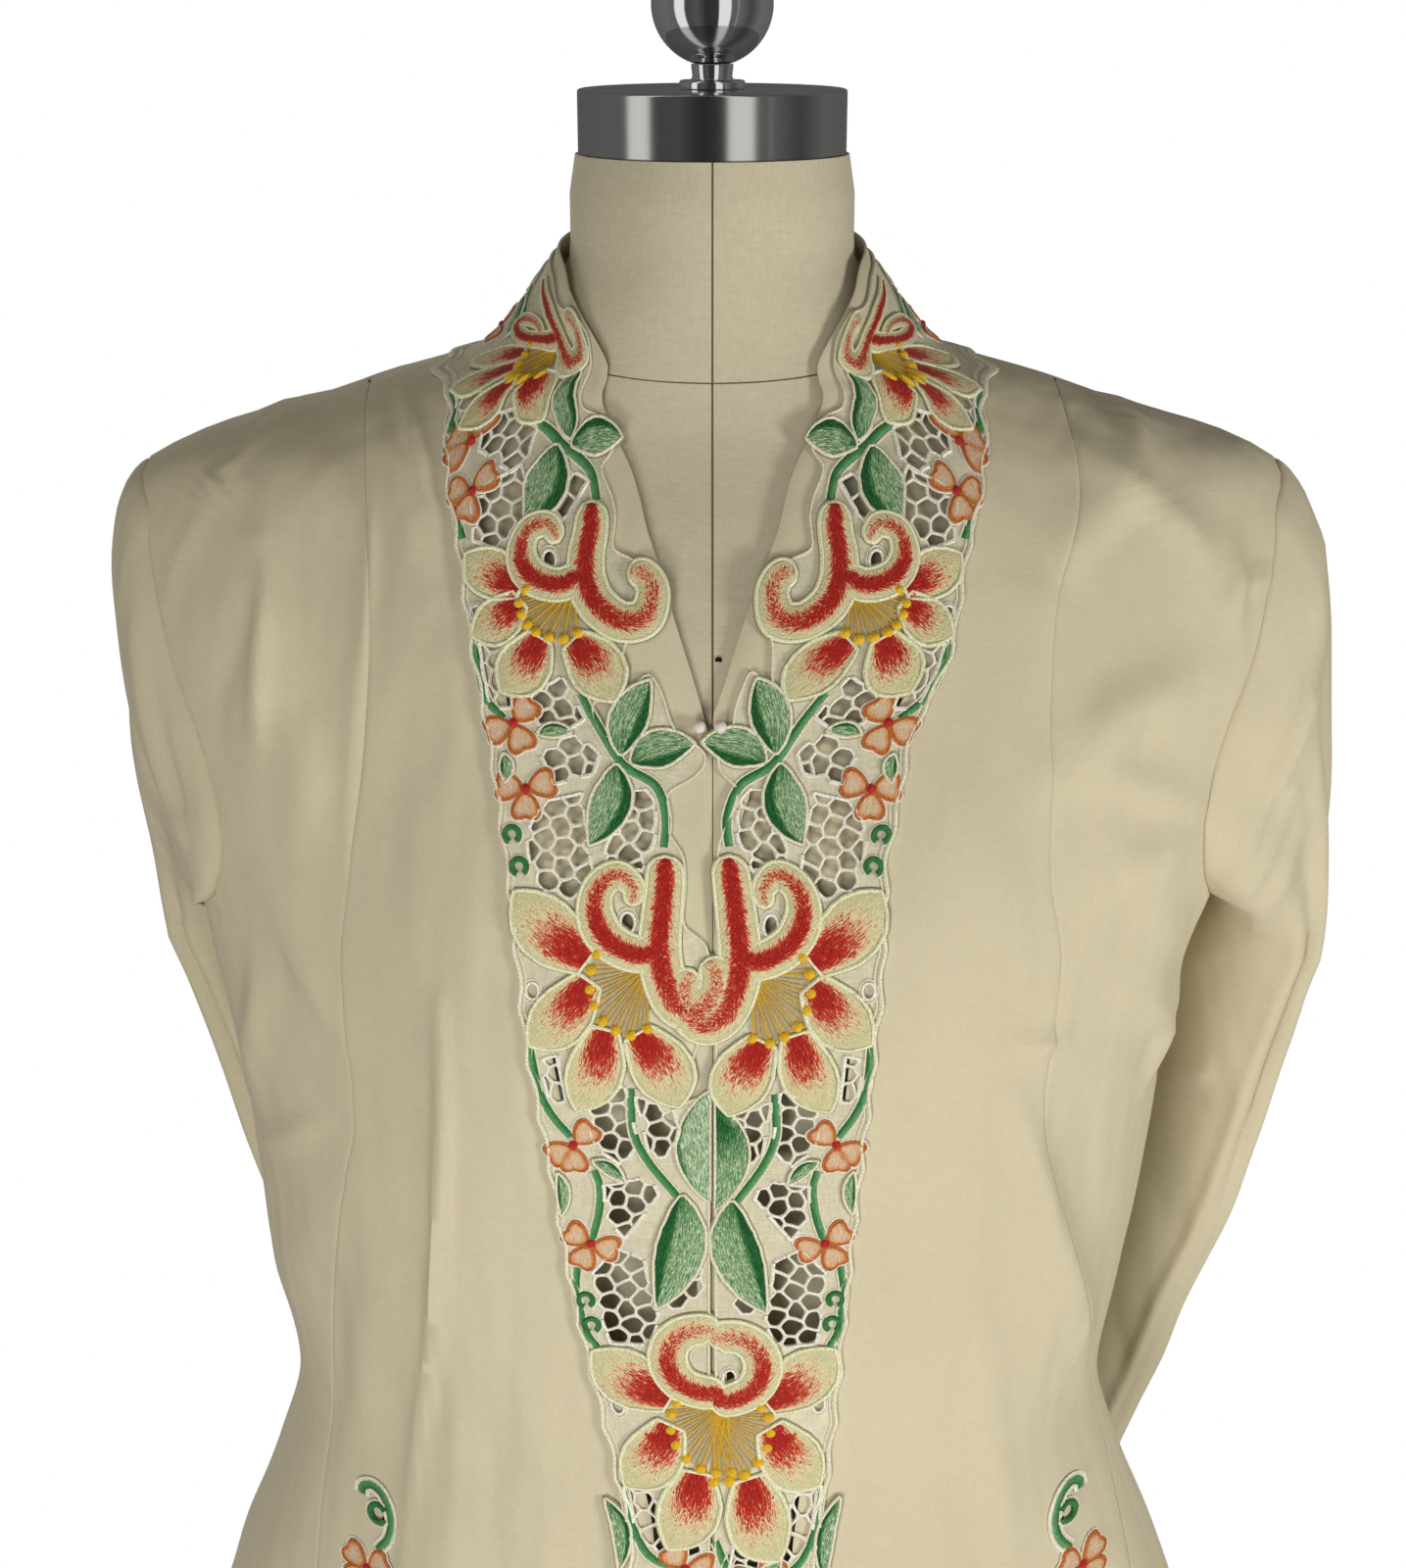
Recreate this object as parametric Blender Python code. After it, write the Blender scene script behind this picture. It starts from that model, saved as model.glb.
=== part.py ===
"""A kebaya blouse with cutwork lace fronts, worn on a limbless dress form on a short stand.

Metres, +Z up, the front faces -Y, the wearer's left is at +X. The origin is under the base plate.
The torso is a stack of elliptical sections. A point of the cloth is named by its angle round the
section (front at -90 degrees, back at 90) and its height, then moved out along the surface normal.
"""
import math

import bpy
import numpy as np
from mathutils import geometry

MM = 0.001
CLOTH = 1.2 * MM
LACE = 1.2 * MM
LACE_GAP = 1.2 * MM
SEAM_GAP = 0.3 * MM
LACE_LIFT = CLOTH + LACE_GAP
SPRIG_LIFT = CLOTH + 0.45 * MM
PIN_GAP = 0.3 * MM

# Sections of the worn blouse, from below the hem to the neck edge.
SECTIONS = (
    # height, half width, centre, front depth, back depth
    (0.360, 0.2100, -0.004, 0.1300, 0.126),
    (0.395, 0.2060, -0.004, 0.1280, 0.122),
    (0.440, 0.1990, -0.005, 0.1260, 0.119),
    (0.480, 0.1910, -0.005, 0.1220, 0.114),
    (0.520, 0.1790, -0.005, 0.1170, 0.105),
    (0.560, 0.1640, -0.005, 0.1130, 0.094),
    (0.595, 0.1550, -0.005, 0.1110, 0.088),
    (0.640, 0.1630, -0.005, 0.1120, 0.086),
    (0.680, 0.1690, -0.004, 0.1140, 0.088),
    (0.720, 0.1740, -0.004, 0.1170, 0.092),
    (0.760, 0.1820, -0.004, 0.1190, 0.097),
    (0.790, 0.1900, -0.002, 0.1180, 0.102),
    (0.820, 0.2000, 0.0, 0.1150, 0.105),
    (0.850, 0.2080, 0.0, 0.1100, 0.107),
    (0.880, 0.2150, 0.0, 0.1030, 0.106),
    (0.905, 0.2190, 0.0, 0.0940, 0.103),
    (0.925, 0.2175, 0.0, 0.0850, 0.099),
    (0.940, 0.2115, 0.0, 0.0780, 0.094),
    (0.9485, 0.2050, 0.0, 0.0730, 0.091),
    (0.956, 0.1900, 0.0, 0.0690, 0.088),
    (0.963, 0.1690, 0.0, 0.0650, 0.085),
    (0.970, 0.1440, 0.0, 0.0620, 0.081),
    (0.977, 0.1235, 0.0, 0.0600, 0.077),
    (0.9815, 0.1070, 0.0, 0.0590, 0.075),
    (0.9845, 0.0950, 0.0, 0.0580, 0.073),
    (0.990, 0.0810, 0.0, 0.0575, 0.070),
    (0.997, 0.0735, 0.0, 0.0565, 0.066),
    (1.0045, 0.0680, 0.0, 0.0560, 0.063),
    (1.012, 0.0620, 0.0, 0.0555, 0.060),
    (1.018, 0.0580, 0.0, 0.0550, 0.058),
    (1.0245, 0.0550, 0.0, 0.0545, 0.057),
    (1.034, 0.0545, 0.0, 0.0540, 0.056),
)
BUST_HEIGHT = 0.80
BUST_APART = 0.085
BUST_DEPTH = 0.012
BUST_WIDE = 0.045
BUST_ABOVE = 0.055
BUST_BELOW = 0.160

# How far the form stays inside the cloth's inner face at each height.
EASES = (
    # height, side, front, back
    (0.330, 0.048, 0.042, 0.030),
    (0.345, 0.038, 0.030, 0.020),
    (0.400, 0.030, 0.020, 0.010),
    (0.450, 0.020, 0.016, 0.008),
    (0.500, 0.015, 0.014, 0.005),
    (0.560, 0.012, 0.014, 0.005),
    (0.640, 0.014, 0.015, 0.005),
    (0.700, 0.012, 0.013, 0.004),
    (0.750, 0.011, 0.007, 0.003),
    (0.790, 0.012, 0.0018, 0.002),
    (0.830, 0.006, 0.0014, 0.0016),
    (0.880, 0.002, 0.0014, 0.0014),
    (0.985, 0.0014, 0.0014, 0.0014),
    (1.010, 0.0034, 0.0024, 0.0022),
    (1.034, 0.0034, 0.0024, 0.0022),
)
FORM_BOTTOM = 0.330
FORM_SHOULDER = 0.187
FORM_DROP = 1.5 * MM
NECK_RINGS = (
    # height, half width, front, back
    (1.0450, 0.0512, 0.0512, 0.0515),
    (1.0586, 0.0492, 0.0492, 0.0492),
)

# Seams of the fronts and the back.
PRINCESS_SEAM = (
    # height, distance from the centre line on the wearer's right, and on the left
    (0.390, 0.150, 0.170),
    (0.480, 0.151, 0.166),
    (0.545, 0.148, 0.156),
    (0.600, 0.142, 0.145),
    (0.640, 0.140, 0.136),
    (0.680, 0.134, 0.126),
    (0.725, 0.128, 0.118),
    (0.765, 0.129, 0.121),
    (0.785, 0.1305, 0.122),
    (0.820, 0.1255, 0.117),
    (0.865, 0.120, 0.1165),
    (0.905, 0.1185, 0.1185),
    (0.950, 0.121, 0.128),
    (0.9765, 0.1235, 0.1238),
)
ARMHOLE = (
    # height, distance of the front edge from the centre line, and of the back edge
    (0.791, 0.1835, 0.1850),
    (0.804, 0.1780, 0.1810),
    (0.822, 0.1760, 0.1800),
    (0.841, 0.1785, 0.1815),
    (0.862, 0.1850, 0.1860),
    (0.882, 0.1925, 0.1920),
    (0.902, 0.1975, 0.1970),
    (0.920, 0.2010, 0.2005),
    (0.936, 0.2025, 0.2025),
)
ARMHOLE_ROWS = [row[0] for row in ARMHOLE]
ARMPIT = 0.785
SHOULDER_TIP = 0.9485
PRINCESS_TOP = 0.9765
BACK_TOP = 0.991
# Heights of the panels' rows of points, between the hem and the armpit and above the shoulder tip.
BODY_ROWS = (0.44, 0.48, 0.515, 0.545, 0.57, 0.595, 0.62, 0.65, 0.68, 0.705, 0.73, 0.75, 0.768)
SHOULDER_ROWS = (0.957, 0.966)
BACK_TOP_ROWS = (0.9745, 0.9795, 0.9825, 0.986, BACK_TOP)
FRONT_TOP_ROWS = 4
PANEL_COLUMNS = {"side_front": 5, "centre_front": 4, "back": 11}
HEM_FRONT = 0.396
HEM_SIDE = 0.428

# Lace strip guides from the centre back neck round to the hem: outer edge, then inner guide line.
BACK_NECK_GUIDES = (
    # angle and height of the outer edge, angle and height of the inner edge, on the left half
    (90.0, 0.9850, 90.0, 1.031),
    (50.0, 0.9845, 50.0, 1.031),
    (15.0, 0.9835, 20.0, 1.029),
)
# This row of the front guides lies this far along the strip, in millimetres.
ANCHOR_ROW = 3
ANCHOR = 204.0
FRONT_GUIDES = {
    # millimetres: outer edge from the centre line and height, inner guide from it and height
    "right": (
        (96.5, 984, 53, 1022), (95.5, 977, 50, 1013), (94.5, 966, 43, 1001), (93, 954, 37, 984), (90, 935, 30, 959),
        (87, 916, 21.5, 933), (83, 893, 13, 907), (78, 869, 4.5, 881), (74.3, 845, -2, 856),
        (71, 821, -6, 831), (66.5, 770, -10, 780), (57.5, 714, -19, 725), (52, 676, -25, 688),
        (44.5, 637, -32, 650), (36, 598, -40, 611), (31, 565, -46, 572), (37, 520, -40, 519),
        (45, 480, -33, 477), (50, 440, -28, 436), (54, 396, -24, 392),
    ),
    "left": (
        (97, 984, 53, 1022), (98, 977, 50, 1013), (97, 966, 43, 1001), (95, 954, 37, 984), (91, 935, 30, 959),
        (87, 916, 21.5, 933), (82, 893, 11, 907), (69.5, 869, 2, 881), (64.5, 845, -9, 856),
        (60.5, 821, -16, 831), (58.3, 770, -20, 774), (53, 714, -25, 721), (49.7, 676, -28, 684),
        (46.7, 637, -31, 644), (43, 598, -35, 605), (38.6, 560, -40, 566), (40, 520, -38, 519),
        (45, 480, -33, 477), (50, 440, -28, 436), (54, 396, -24, 392),
    ),
}
# The lace's inner edge: millimetres along the strip, and how far in it stays from the garment's edge.
NECK_EDGE = (
    (6, 6), (60, 7), (110, 6), (142, 6.5), (170, 9), (175, 8), (179, 1.5), (186, 0.8), (190, 1),
    (193, 8.9), (201, 9), (210, 9), (214, 1), (220, 0.8), (226, 0.8), (227.5, 10), (235, 8.6),
    (244, 8.6), (252, 14), (256.5, 6), (264, 2), (270, 0.8),
)
CENTRE_EDGE = {
    "right": (
        (277, 5), (281, 17.8), (293, 22.3), (300, 28), (297.5, 34.5), (303, 35.5), (310, 35),
        (314, 31.7), (305, 28.5), (298, 20.7), (291, 12.2), (302, 10.4), (313, 11), (318, 5),
        (321, 0.8), (326, 1), (331, 8.8), (332, 15.5), (339, 13.8), (348, 14.6), (353, 9), (366, 8.4), (379.5, 10.3),
        (383, 4), (387, 0.6), (417, 0.6), (421, 5.2), (429, 6.8), (439, 9.2), (443, 12.6),
        (441.5, 6), (439, 0.6), (560, 0.6), (680, 0.6), (788, 0.6),
    ),
    "left": (
        (276, 4), (282, 10.7), (296, 14.4), (302, 18.9), (297, 12), (291, 6.1), (300, 5.7),
        (307, 5.5), (314, 7.3), (318, 4), (320, 0.8), (328, 1), (330, 8.9), (336, 7.1), (345, 4),
        (350, 1.2), (387, 0.8), (439, 0.6), (560, 0.6), (680, 0.6), (788, 0.6),
    ),
}
SCALLOP = 1.6
SCALLOP_COUNT = 38
INNER_EDGE_STEP = 20.0
EDGE_BAR = 2.0
LEAST_BAR = 1.3
LACE_GRID = 19.0
LACE_OVERLAP = 10 * MM
BAND_UNDER_LACE = 4 * MM
BAND_REACH = 5.0

# Cutwork: convex patches of net, corners in millimetres (along the strip, in from the outer edge).
NET_PITCH = 7.0
NET_BAR = 1.8
LEAST_HOLE = 18.0
LEAST_SIDE = 2.8
NET_PATCHES = (
    ("neck", ((14, 12), (60, 14), (60, 34), (14, 34))),
    ("shoulder", ((92, 12), (122, 14), (126, 38), (92, 38))),
    ("A1", ((174, 3), (187, 4), (193, 6), (187, 12), (177, 12))),
    ("A2", ((192, 15), (197, 29), (208, 35), (217, 33), (219, 26), (205, 14))),
    ("A3", ((220, 10), (218, 30), (229, 31), (237, 25), (242, 15), (236, 7))),
    ("A4", ((224, 44), (231, 51), (241, 38), (235, 30))),
    ("B1", ((273, 4), (274, 13), (289, 13), (297, 12), (296, 4))),
    ("B2", ((294, 17), (289, 31), (304, 36), (308, 29), (304, 20))),
    ("B3", ((311, 18), (309, 33), (317, 39), (323, 36), (325, 22))),
    ("B4", ((330, 18), (329, 31), (357, 31), (365, 22), (358, 10), (340, 10))),
    ("B5", ((327, 50), (335, 55), (346, 54), (358, 48), (355, 33))),
    ("C1", ((419, 5), (418, 12), (437, 12), (438, 6))),
    ("C2", ((440, 18), (432, 33), (455, 34), (463, 27), (455, 19))),
    ("C3", ((437, 36), (442, 48), (452, 49), (464, 42), (461, 37))),
    ("C4", ((469, 19), (468, 36), (476, 38), (491, 24), (482, 18))),
    ("C6", ((494, 20), (500, 29), (524, 30), (534, 26), (531, 11), (504, 8))),
    ("C7", ((490, 48), (498, 56), (526, 56), (523, 32))),
    ("D1", ((588, 3), (588, 12), (612, 16), (620, 14), (610, 4))),
    ("D2", ((617, 18), (607, 31), (626, 34), (628, 24))),
    ("E1", ((634, 8), (632, 22), (648, 26), (664, 20), (662, 8))),
    ("E2", ((640, 30), (646, 40), (664, 40), (664, 28))),
    ("F1", ((744, 8), (742, 24), (760, 28), (770, 22), (766, 8))),
    ("F2", ((748, 34), (748, 46), (768, 46), (770, 32))),
)
EYELETS = (
    # millimetres: along, in, half length, half width
    (250, 33, 3.2, 2.4), (375, 41, 3.6, 2.6), (547, 41, 3.4, 2.4), (262, 5, 2.6, 2.3),
    (394, 6, 3.0, 2.3), (556, 8, 3.2, 2.3), (699, 30, 3.4, 2.4), (149, 28, 3.0, 2.4),
)

# Largest folds of the body cloth: ends in millimetres (across, height), half width, height outwards.
FOLDS = (
    # face, x and z of one end, x and z of the other, half width, rise
    ("front", -92, 760, -93, 560, 9, 2.2),
    ("front", -97, 600, -112, 430, 12, 3.5),
    ("front", -172, 790, -150, 700, 12, 3.0),
    ("front", -130, 700, -160, 640, 12, 3.0),
    ("front", 150, 770, 176, 735, 9, 4.5),
    ("front", 112, 720, 132, 610, 11, 3.0),
    ("front", 150, 960, 180, 905, 10, 2.0),
    ("front", -150, 955, -180, 890, 10, 2.0),
    ("back", -60, 900, -75, 640, 16, 3.0),
    ("back", 70, 880, 60, 650, 16, 3.0),
    ("back", 0, 760, 5, 560, 14, 3.0),
    ("back", -120, 760, -100, 600, 13, 3.5),
    ("back", 125, 750, 105, 610, 13, 3.5),
)
FLUTE_COUNT = 11
FLUTE_RISE = 6.5 * MM
FLUTE_TOP = 0.58

# Sleeves: level rings below the head. Outer edge for each side, depth of the centre for each side,
# then the long axis's angle, its half length and the half thickness.
SLEEVE_RINGS = (
    (0.755, 0.233, 0.2125, 0.055, 0.086, 56, 0.072, 0.024),
    (0.735, 0.228, 0.2055, 0.062, 0.090, 55, 0.071, 0.023),
    (0.700, 0.221, 0.1950, 0.074, 0.096, 53, 0.069, 0.022),
    (0.665, 0.215, 0.1870, 0.084, 0.102, 50, 0.067, 0.021),
    (0.630, 0.207, 0.1770, 0.092, 0.107, 47, 0.064, 0.020),
    (0.590, 0.194, 0.1660, 0.100, 0.112, 44, 0.061, 0.019),
    (0.550, 0.184, 0.1560, 0.109, 0.118, 39, 0.058, 0.018),
    (0.510, 0.173, 0.1480, 0.119, 0.126, 33, 0.056, 0.017),
    (0.470, 0.165, 0.1420, 0.127, 0.133, 28, 0.055, 0.016),
    (0.430, 0.158, 0.1380, 0.134, 0.138, 24, 0.054, 0.016),
)
UNDERARM = math.radians(-50)
HEAD_STEPS = 7
SLEEVE_FOLDS = (
    # place round the sleeve, from and to heights, half width (share of the round), depth inwards
    (0.12, 0.90, 0.70, 0.045, 7.0),
    (0.26, 0.86, 0.62, 0.050, 6.0),
    (0.70, 0.84, 0.60, 0.060, 6.0),
    (0.90, 0.80, 0.55, 0.050, 5.0),
)

CAP_RADIUS = 0.0483
CAP_BOTTOM = 1.0589
CAP_TOP = 1.0812
COLLAR_RADIUS = 0.0118
COLLAR_HEIGHT = 0.0028
POST_RADIUS = 0.0076
KNOB_RADIUS = 0.0218
KNOB_CENTRE = 1.1108
POLE_RADIUS = 0.014
FLANGE_RADIUS = 0.045
FLANGE_THICKNESS = 0.004
BASE_RADIUS = 0.165
BASE_EDGE = 0.008
BASE_TOP = 0.018
PEARL_RADIUS = 2.2 * MM
PEARLS = (("right", -0.0046, 0.8725), ("left", 0.0026, 0.8725))
SPRIGS = (
    # side, place of the flower's centre across and up, and the angle that the spray leans
    ("right", -0.1275, 0.543, 0.0),
    ("left", 0.1390, 0.536, 4.0),
)
# Millimetres from the flower's centre, on the right: the flower, then a stem with two curls above.
SPRIG_OUTLINE = (
    (4, 12), (10, 11), (13, 5), (9, 0), (13, -6), (10, -12), (4, -12), (1, -17), (-2, -22),
    (-6, -21), (-5, -13), (-10, -12), (-13, -6), (-9, 0), (-13, 5), (-10, 11), (-5, 12),
    (-7, 19), (-11, 23), (-12, 29), (-8, 33), (-2, 32), (0, 27), (4, 31), (9, 30), (11, 24),
    (8, 19), (4, 17),
)

COLOURS = {
    # colour, roughness, metallic
    "cloth": ((0.56, 0.50, 0.35, 1), 0.8, 0.0),
    "lace": ((0.72, 0.66, 0.42, 1), 0.7, 0.0),
    "canvas": ((0.45, 0.40, 0.29, 1), 0.9, 0.0),
    "steel": ((0.55, 0.55, 0.56, 1), 0.3, 1.0),
    "chrome": ((0.75, 0.75, 0.76, 1), 0.08, 1.0),
    "pearl": ((0.85, 0.80, 0.76, 1), 0.2, 0.0),
    "stand": ((0.04, 0.04, 0.045, 1), 0.5, 0.0),
}


def smooth(xs, ys, x):
    """Values on a smooth curve through the points, without overshoot."""
    xs = np.asarray(xs, float)
    ys = np.asarray(ys, float)
    x = np.clip(x, xs[0], xs[-1])
    rise = np.diff(ys) / np.diff(xs)
    same_way = rise[:-1] * rise[1:] > 0
    slope = np.empty(len(xs))
    slope[0] = rise[0]
    slope[-1] = rise[-1]
    total = np.where(same_way, rise[:-1] + rise[1:], 1.0)
    slope[1:-1] = np.where(same_way, 2 * rise[:-1] * rise[1:] / total, 0.0)
    k = np.clip(np.searchsorted(xs, x, side="right") - 1, 0, len(xs) - 2)
    span = xs[k + 1] - xs[k]
    t = (x - xs[k]) / span
    return (
        ys[k] * (1 + 2 * t) * (1 - t) ** 2
        + slope[k] * span * t * (1 - t) ** 2
        + ys[k + 1] * t * t * (3 - 2 * t)
        + slope[k + 1] * span * t * t * (t - 1)
    )


def through(rows, places):
    """Points on a smooth path through the rows, at fractional row numbers."""
    last = len(rows) - 1
    k = np.clip(np.floor(places).astype(int), 0, last - 1)
    u = (places - k)[..., None]
    start = rows[k]
    end = rows[k + 1]
    before = np.where((k > 0)[..., None], rows[np.maximum(k - 1, 0)], 2 * start - end)
    after = np.where((k < last - 1)[..., None], rows[np.minimum(k + 2, last)], 2 * end - start)
    return 0.5 * (
        2 * start
        + (end - before) * u
        + (2 * before - 5 * start + 4 * end - after) * u**2
        + (3 * start - before - 3 * end + after) * u**3
    )


SECTION = np.array(SECTIONS)
EASE = np.array(EASES)


def section(height):
    """Half width, centre, front depth and back depth of the blouse at a height."""
    return [smooth(SECTION[:, 0], SECTION[:, column], height) for column in range(1, 5)]


def bust(x, height):
    reach = np.where(height > BUST_HEIGHT, BUST_ABOVE, BUST_BELOW)
    across = ((np.abs(x) - BUST_APART) / BUST_WIDE) ** 2
    return BUST_DEPTH * np.exp(-across - ((height - BUST_HEIGHT) / reach) ** 2)


def folds(x, height, facing):
    """How far the cloth's largest folds stand out, at a place seen from the front or the back."""
    rise = np.zeros_like(x)
    for face, x0, z0, x1, z1, half_width, out in FOLDS:
        start = np.array((x0, z0)) * MM
        along = np.array((x1 - x0, z1 - z0)) * MM
        share = ((x - start[0]) * along[0] + (height - start[1]) * along[1]) / (along @ along)
        share = np.clip(share, 0, 1)
        far = np.hypot(x - start[0] - share * along[0], height - start[1] - share * along[1])
        near_end = np.sin(np.pi * np.clip(share, 0.08, 0.92)) ** 0.7
        here = facing < 0 if face == "front" else facing > 0
        rise += np.where(here, out * MM * near_end * np.exp(-((far / (half_width * MM)) ** 2)), 0)
    return rise


def flutes(angle, height):
    """Soft waves that open towards the hem, away from the lace fronts."""
    fall = np.clip((FLUTE_TOP - height) / (FLUTE_TOP - HEM_FRONT), 0, 1)
    off_centre = 1 - np.exp(-(((np.cos(angle)) / 0.45) ** 2) * np.where(np.sin(angle) < 0, 1, 9))
    wave = 0.5 + 0.5 * np.sin(FLUTE_COUNT * angle + 0.8 * np.sin(3 * angle))
    return FLUTE_RISE * fall**1.4 * wave * off_centre


def skin(angle, height):
    """Points of the cloth's inner face."""
    angle, height = np.broadcast_arrays(np.asarray(angle, float), np.asarray(height, float))
    half_width, centre, front, back = section(height)
    facing = np.sin(angle)
    sideways = np.cos(angle)
    x = centre + half_width * sideways
    depth = np.where(facing > 0, back, front)
    y = depth * facing + bust(x, height) * np.minimum(facing, 0)
    out = folds(x, height, facing) + flutes(angle, height)
    length = np.hypot(sideways / half_width, facing / depth)
    x = x + out * sideways / half_width / length
    y = y + out * facing / depth / length
    return np.stack([x, y, height], -1)


def lifted(angle, height, lift):
    """Points of the cloth moved out by lift along the surface normal."""
    step = 0.004
    rise = 0.0015
    round_it = skin(angle + step, height) - skin(angle - step, height)
    up_it = skin(angle, height + rise) - skin(angle, height - rise)
    normal = np.cross(round_it, up_it)
    normal /= np.linalg.norm(normal, axis=-1, keepdims=True)
    return skin(angle, height) + normal * np.asarray(lift)[..., None]


def front_angle(x, height):
    half_width, centre = section(height)[:2]
    return -np.arccos(np.clip((x - centre) / half_width, -1, 1))


def angle_near_side(height, side, gap, face):
    """Angle of a point that lies gap in front of or behind the side line."""
    depth = section(height)[2] if face == "front" else section(height)[3]
    small = math.asin(min(1.0, gap / float(depth)))
    if side == "left":
        return -small if face == "front" else small
    return -math.pi + small if face == "front" else math.pi - small


def hem_height(angle):
    """Height of the hem: lowest at the front edges, higher at the sides and the back."""
    off_front = np.clip(1 + np.sin(angle), 0, 1)
    return HEM_FRONT + (HEM_SIDE - HEM_FRONT) * off_front**0.8


def add_object(name, points, faces, finish):
    mesh = bpy.data.meshes.new(name)
    mesh.from_pydata([tuple(map(float, point)) for point in points], [], faces)
    mesh.validate()
    mesh.shade_smooth()
    mesh.set_sharp_from_angle(angle=math.radians(50))
    obj = bpy.data.objects.new(name, mesh)
    bpy.context.scene.collection.objects.link(obj)
    mesh.materials.append(material(finish))
    return obj


def material(finish):
    found = bpy.data.materials.get(finish)
    if found:
        return found
    made = bpy.data.materials.new(finish)
    made.use_nodes = True
    shader = made.node_tree.nodes["Principled BSDF"]
    colour, roughness, metallic = COLOURS[finish]
    shader.inputs["Base Color"].default_value = colour
    shader.inputs["Roughness"].default_value = roughness
    shader.inputs["Metallic"].default_value = metallic
    return made


def turned_out(points, faces):
    """The faces, all facing out of the closed body that they make."""
    corners = np.array(points)[np.array(faces)]
    volume = np.einsum("ij,ij->i", corners[:, 0], np.cross(corners[:, 1], corners[:, 2])).sum()
    return [tuple(face) if volume > 0 else tuple(reversed(face)) for face in faces]


def quad(a, b, c, d):
    return [(a, b, c), (a, c, d)]


def wall(name, outer, inner, finish, closed=False):
    """A cloth wall between two grids of points, rows by columns. Closed grids go round in columns."""
    rows, columns = outer.shape[:2]
    points = np.concatenate([outer.reshape(-1, 3), inner.reshape(-1, 3)])
    back = rows * columns
    faces = []
    steps = columns if closed else columns - 1
    for i in range(rows - 1):
        for j in range(steps):
            k = (j + 1) % columns
            here = quad(i * columns + k, (i + 1) * columns + k, (i + 1) * columns + j, i * columns + j)
            faces += here
            faces += [tuple(back + p for p in reversed(face)) for face in here]
    rim = [(j, (j + 1) % columns) for j in range(steps)]
    last = (rows - 1) * columns
    rim += [(last + (j + 1) % columns, last + j) for j in range(steps)]
    if not closed:
        rim += [((i + 1) * columns, i * columns) for i in range(rows - 1)]
        rim += [(i * columns + columns - 1, (i + 1) * columns + columns - 1) for i in range(rows - 1)]
    for a, b in rim:
        faces += quad(b, a, back + a, back + b)
    return add_object(name, points, turned_out(points, faces), finish)


def panel(name, heights, edges, columns, finish="cloth"):
    """A cloth panel: for each height, its first and last angle."""
    share = np.linspace(0, 1, columns)
    angles = np.array([first + (last - first) * share for first, last in edges])
    levels = np.repeat(np.array(heights)[:, None], columns, axis=1)
    hem = hem_height(angles[0])
    levels[0] = hem
    outer = lifted(angles, levels, CLOTH)
    inner = lifted(angles, levels, 0.0)
    return wall(name, outer, inner, finish)


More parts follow.
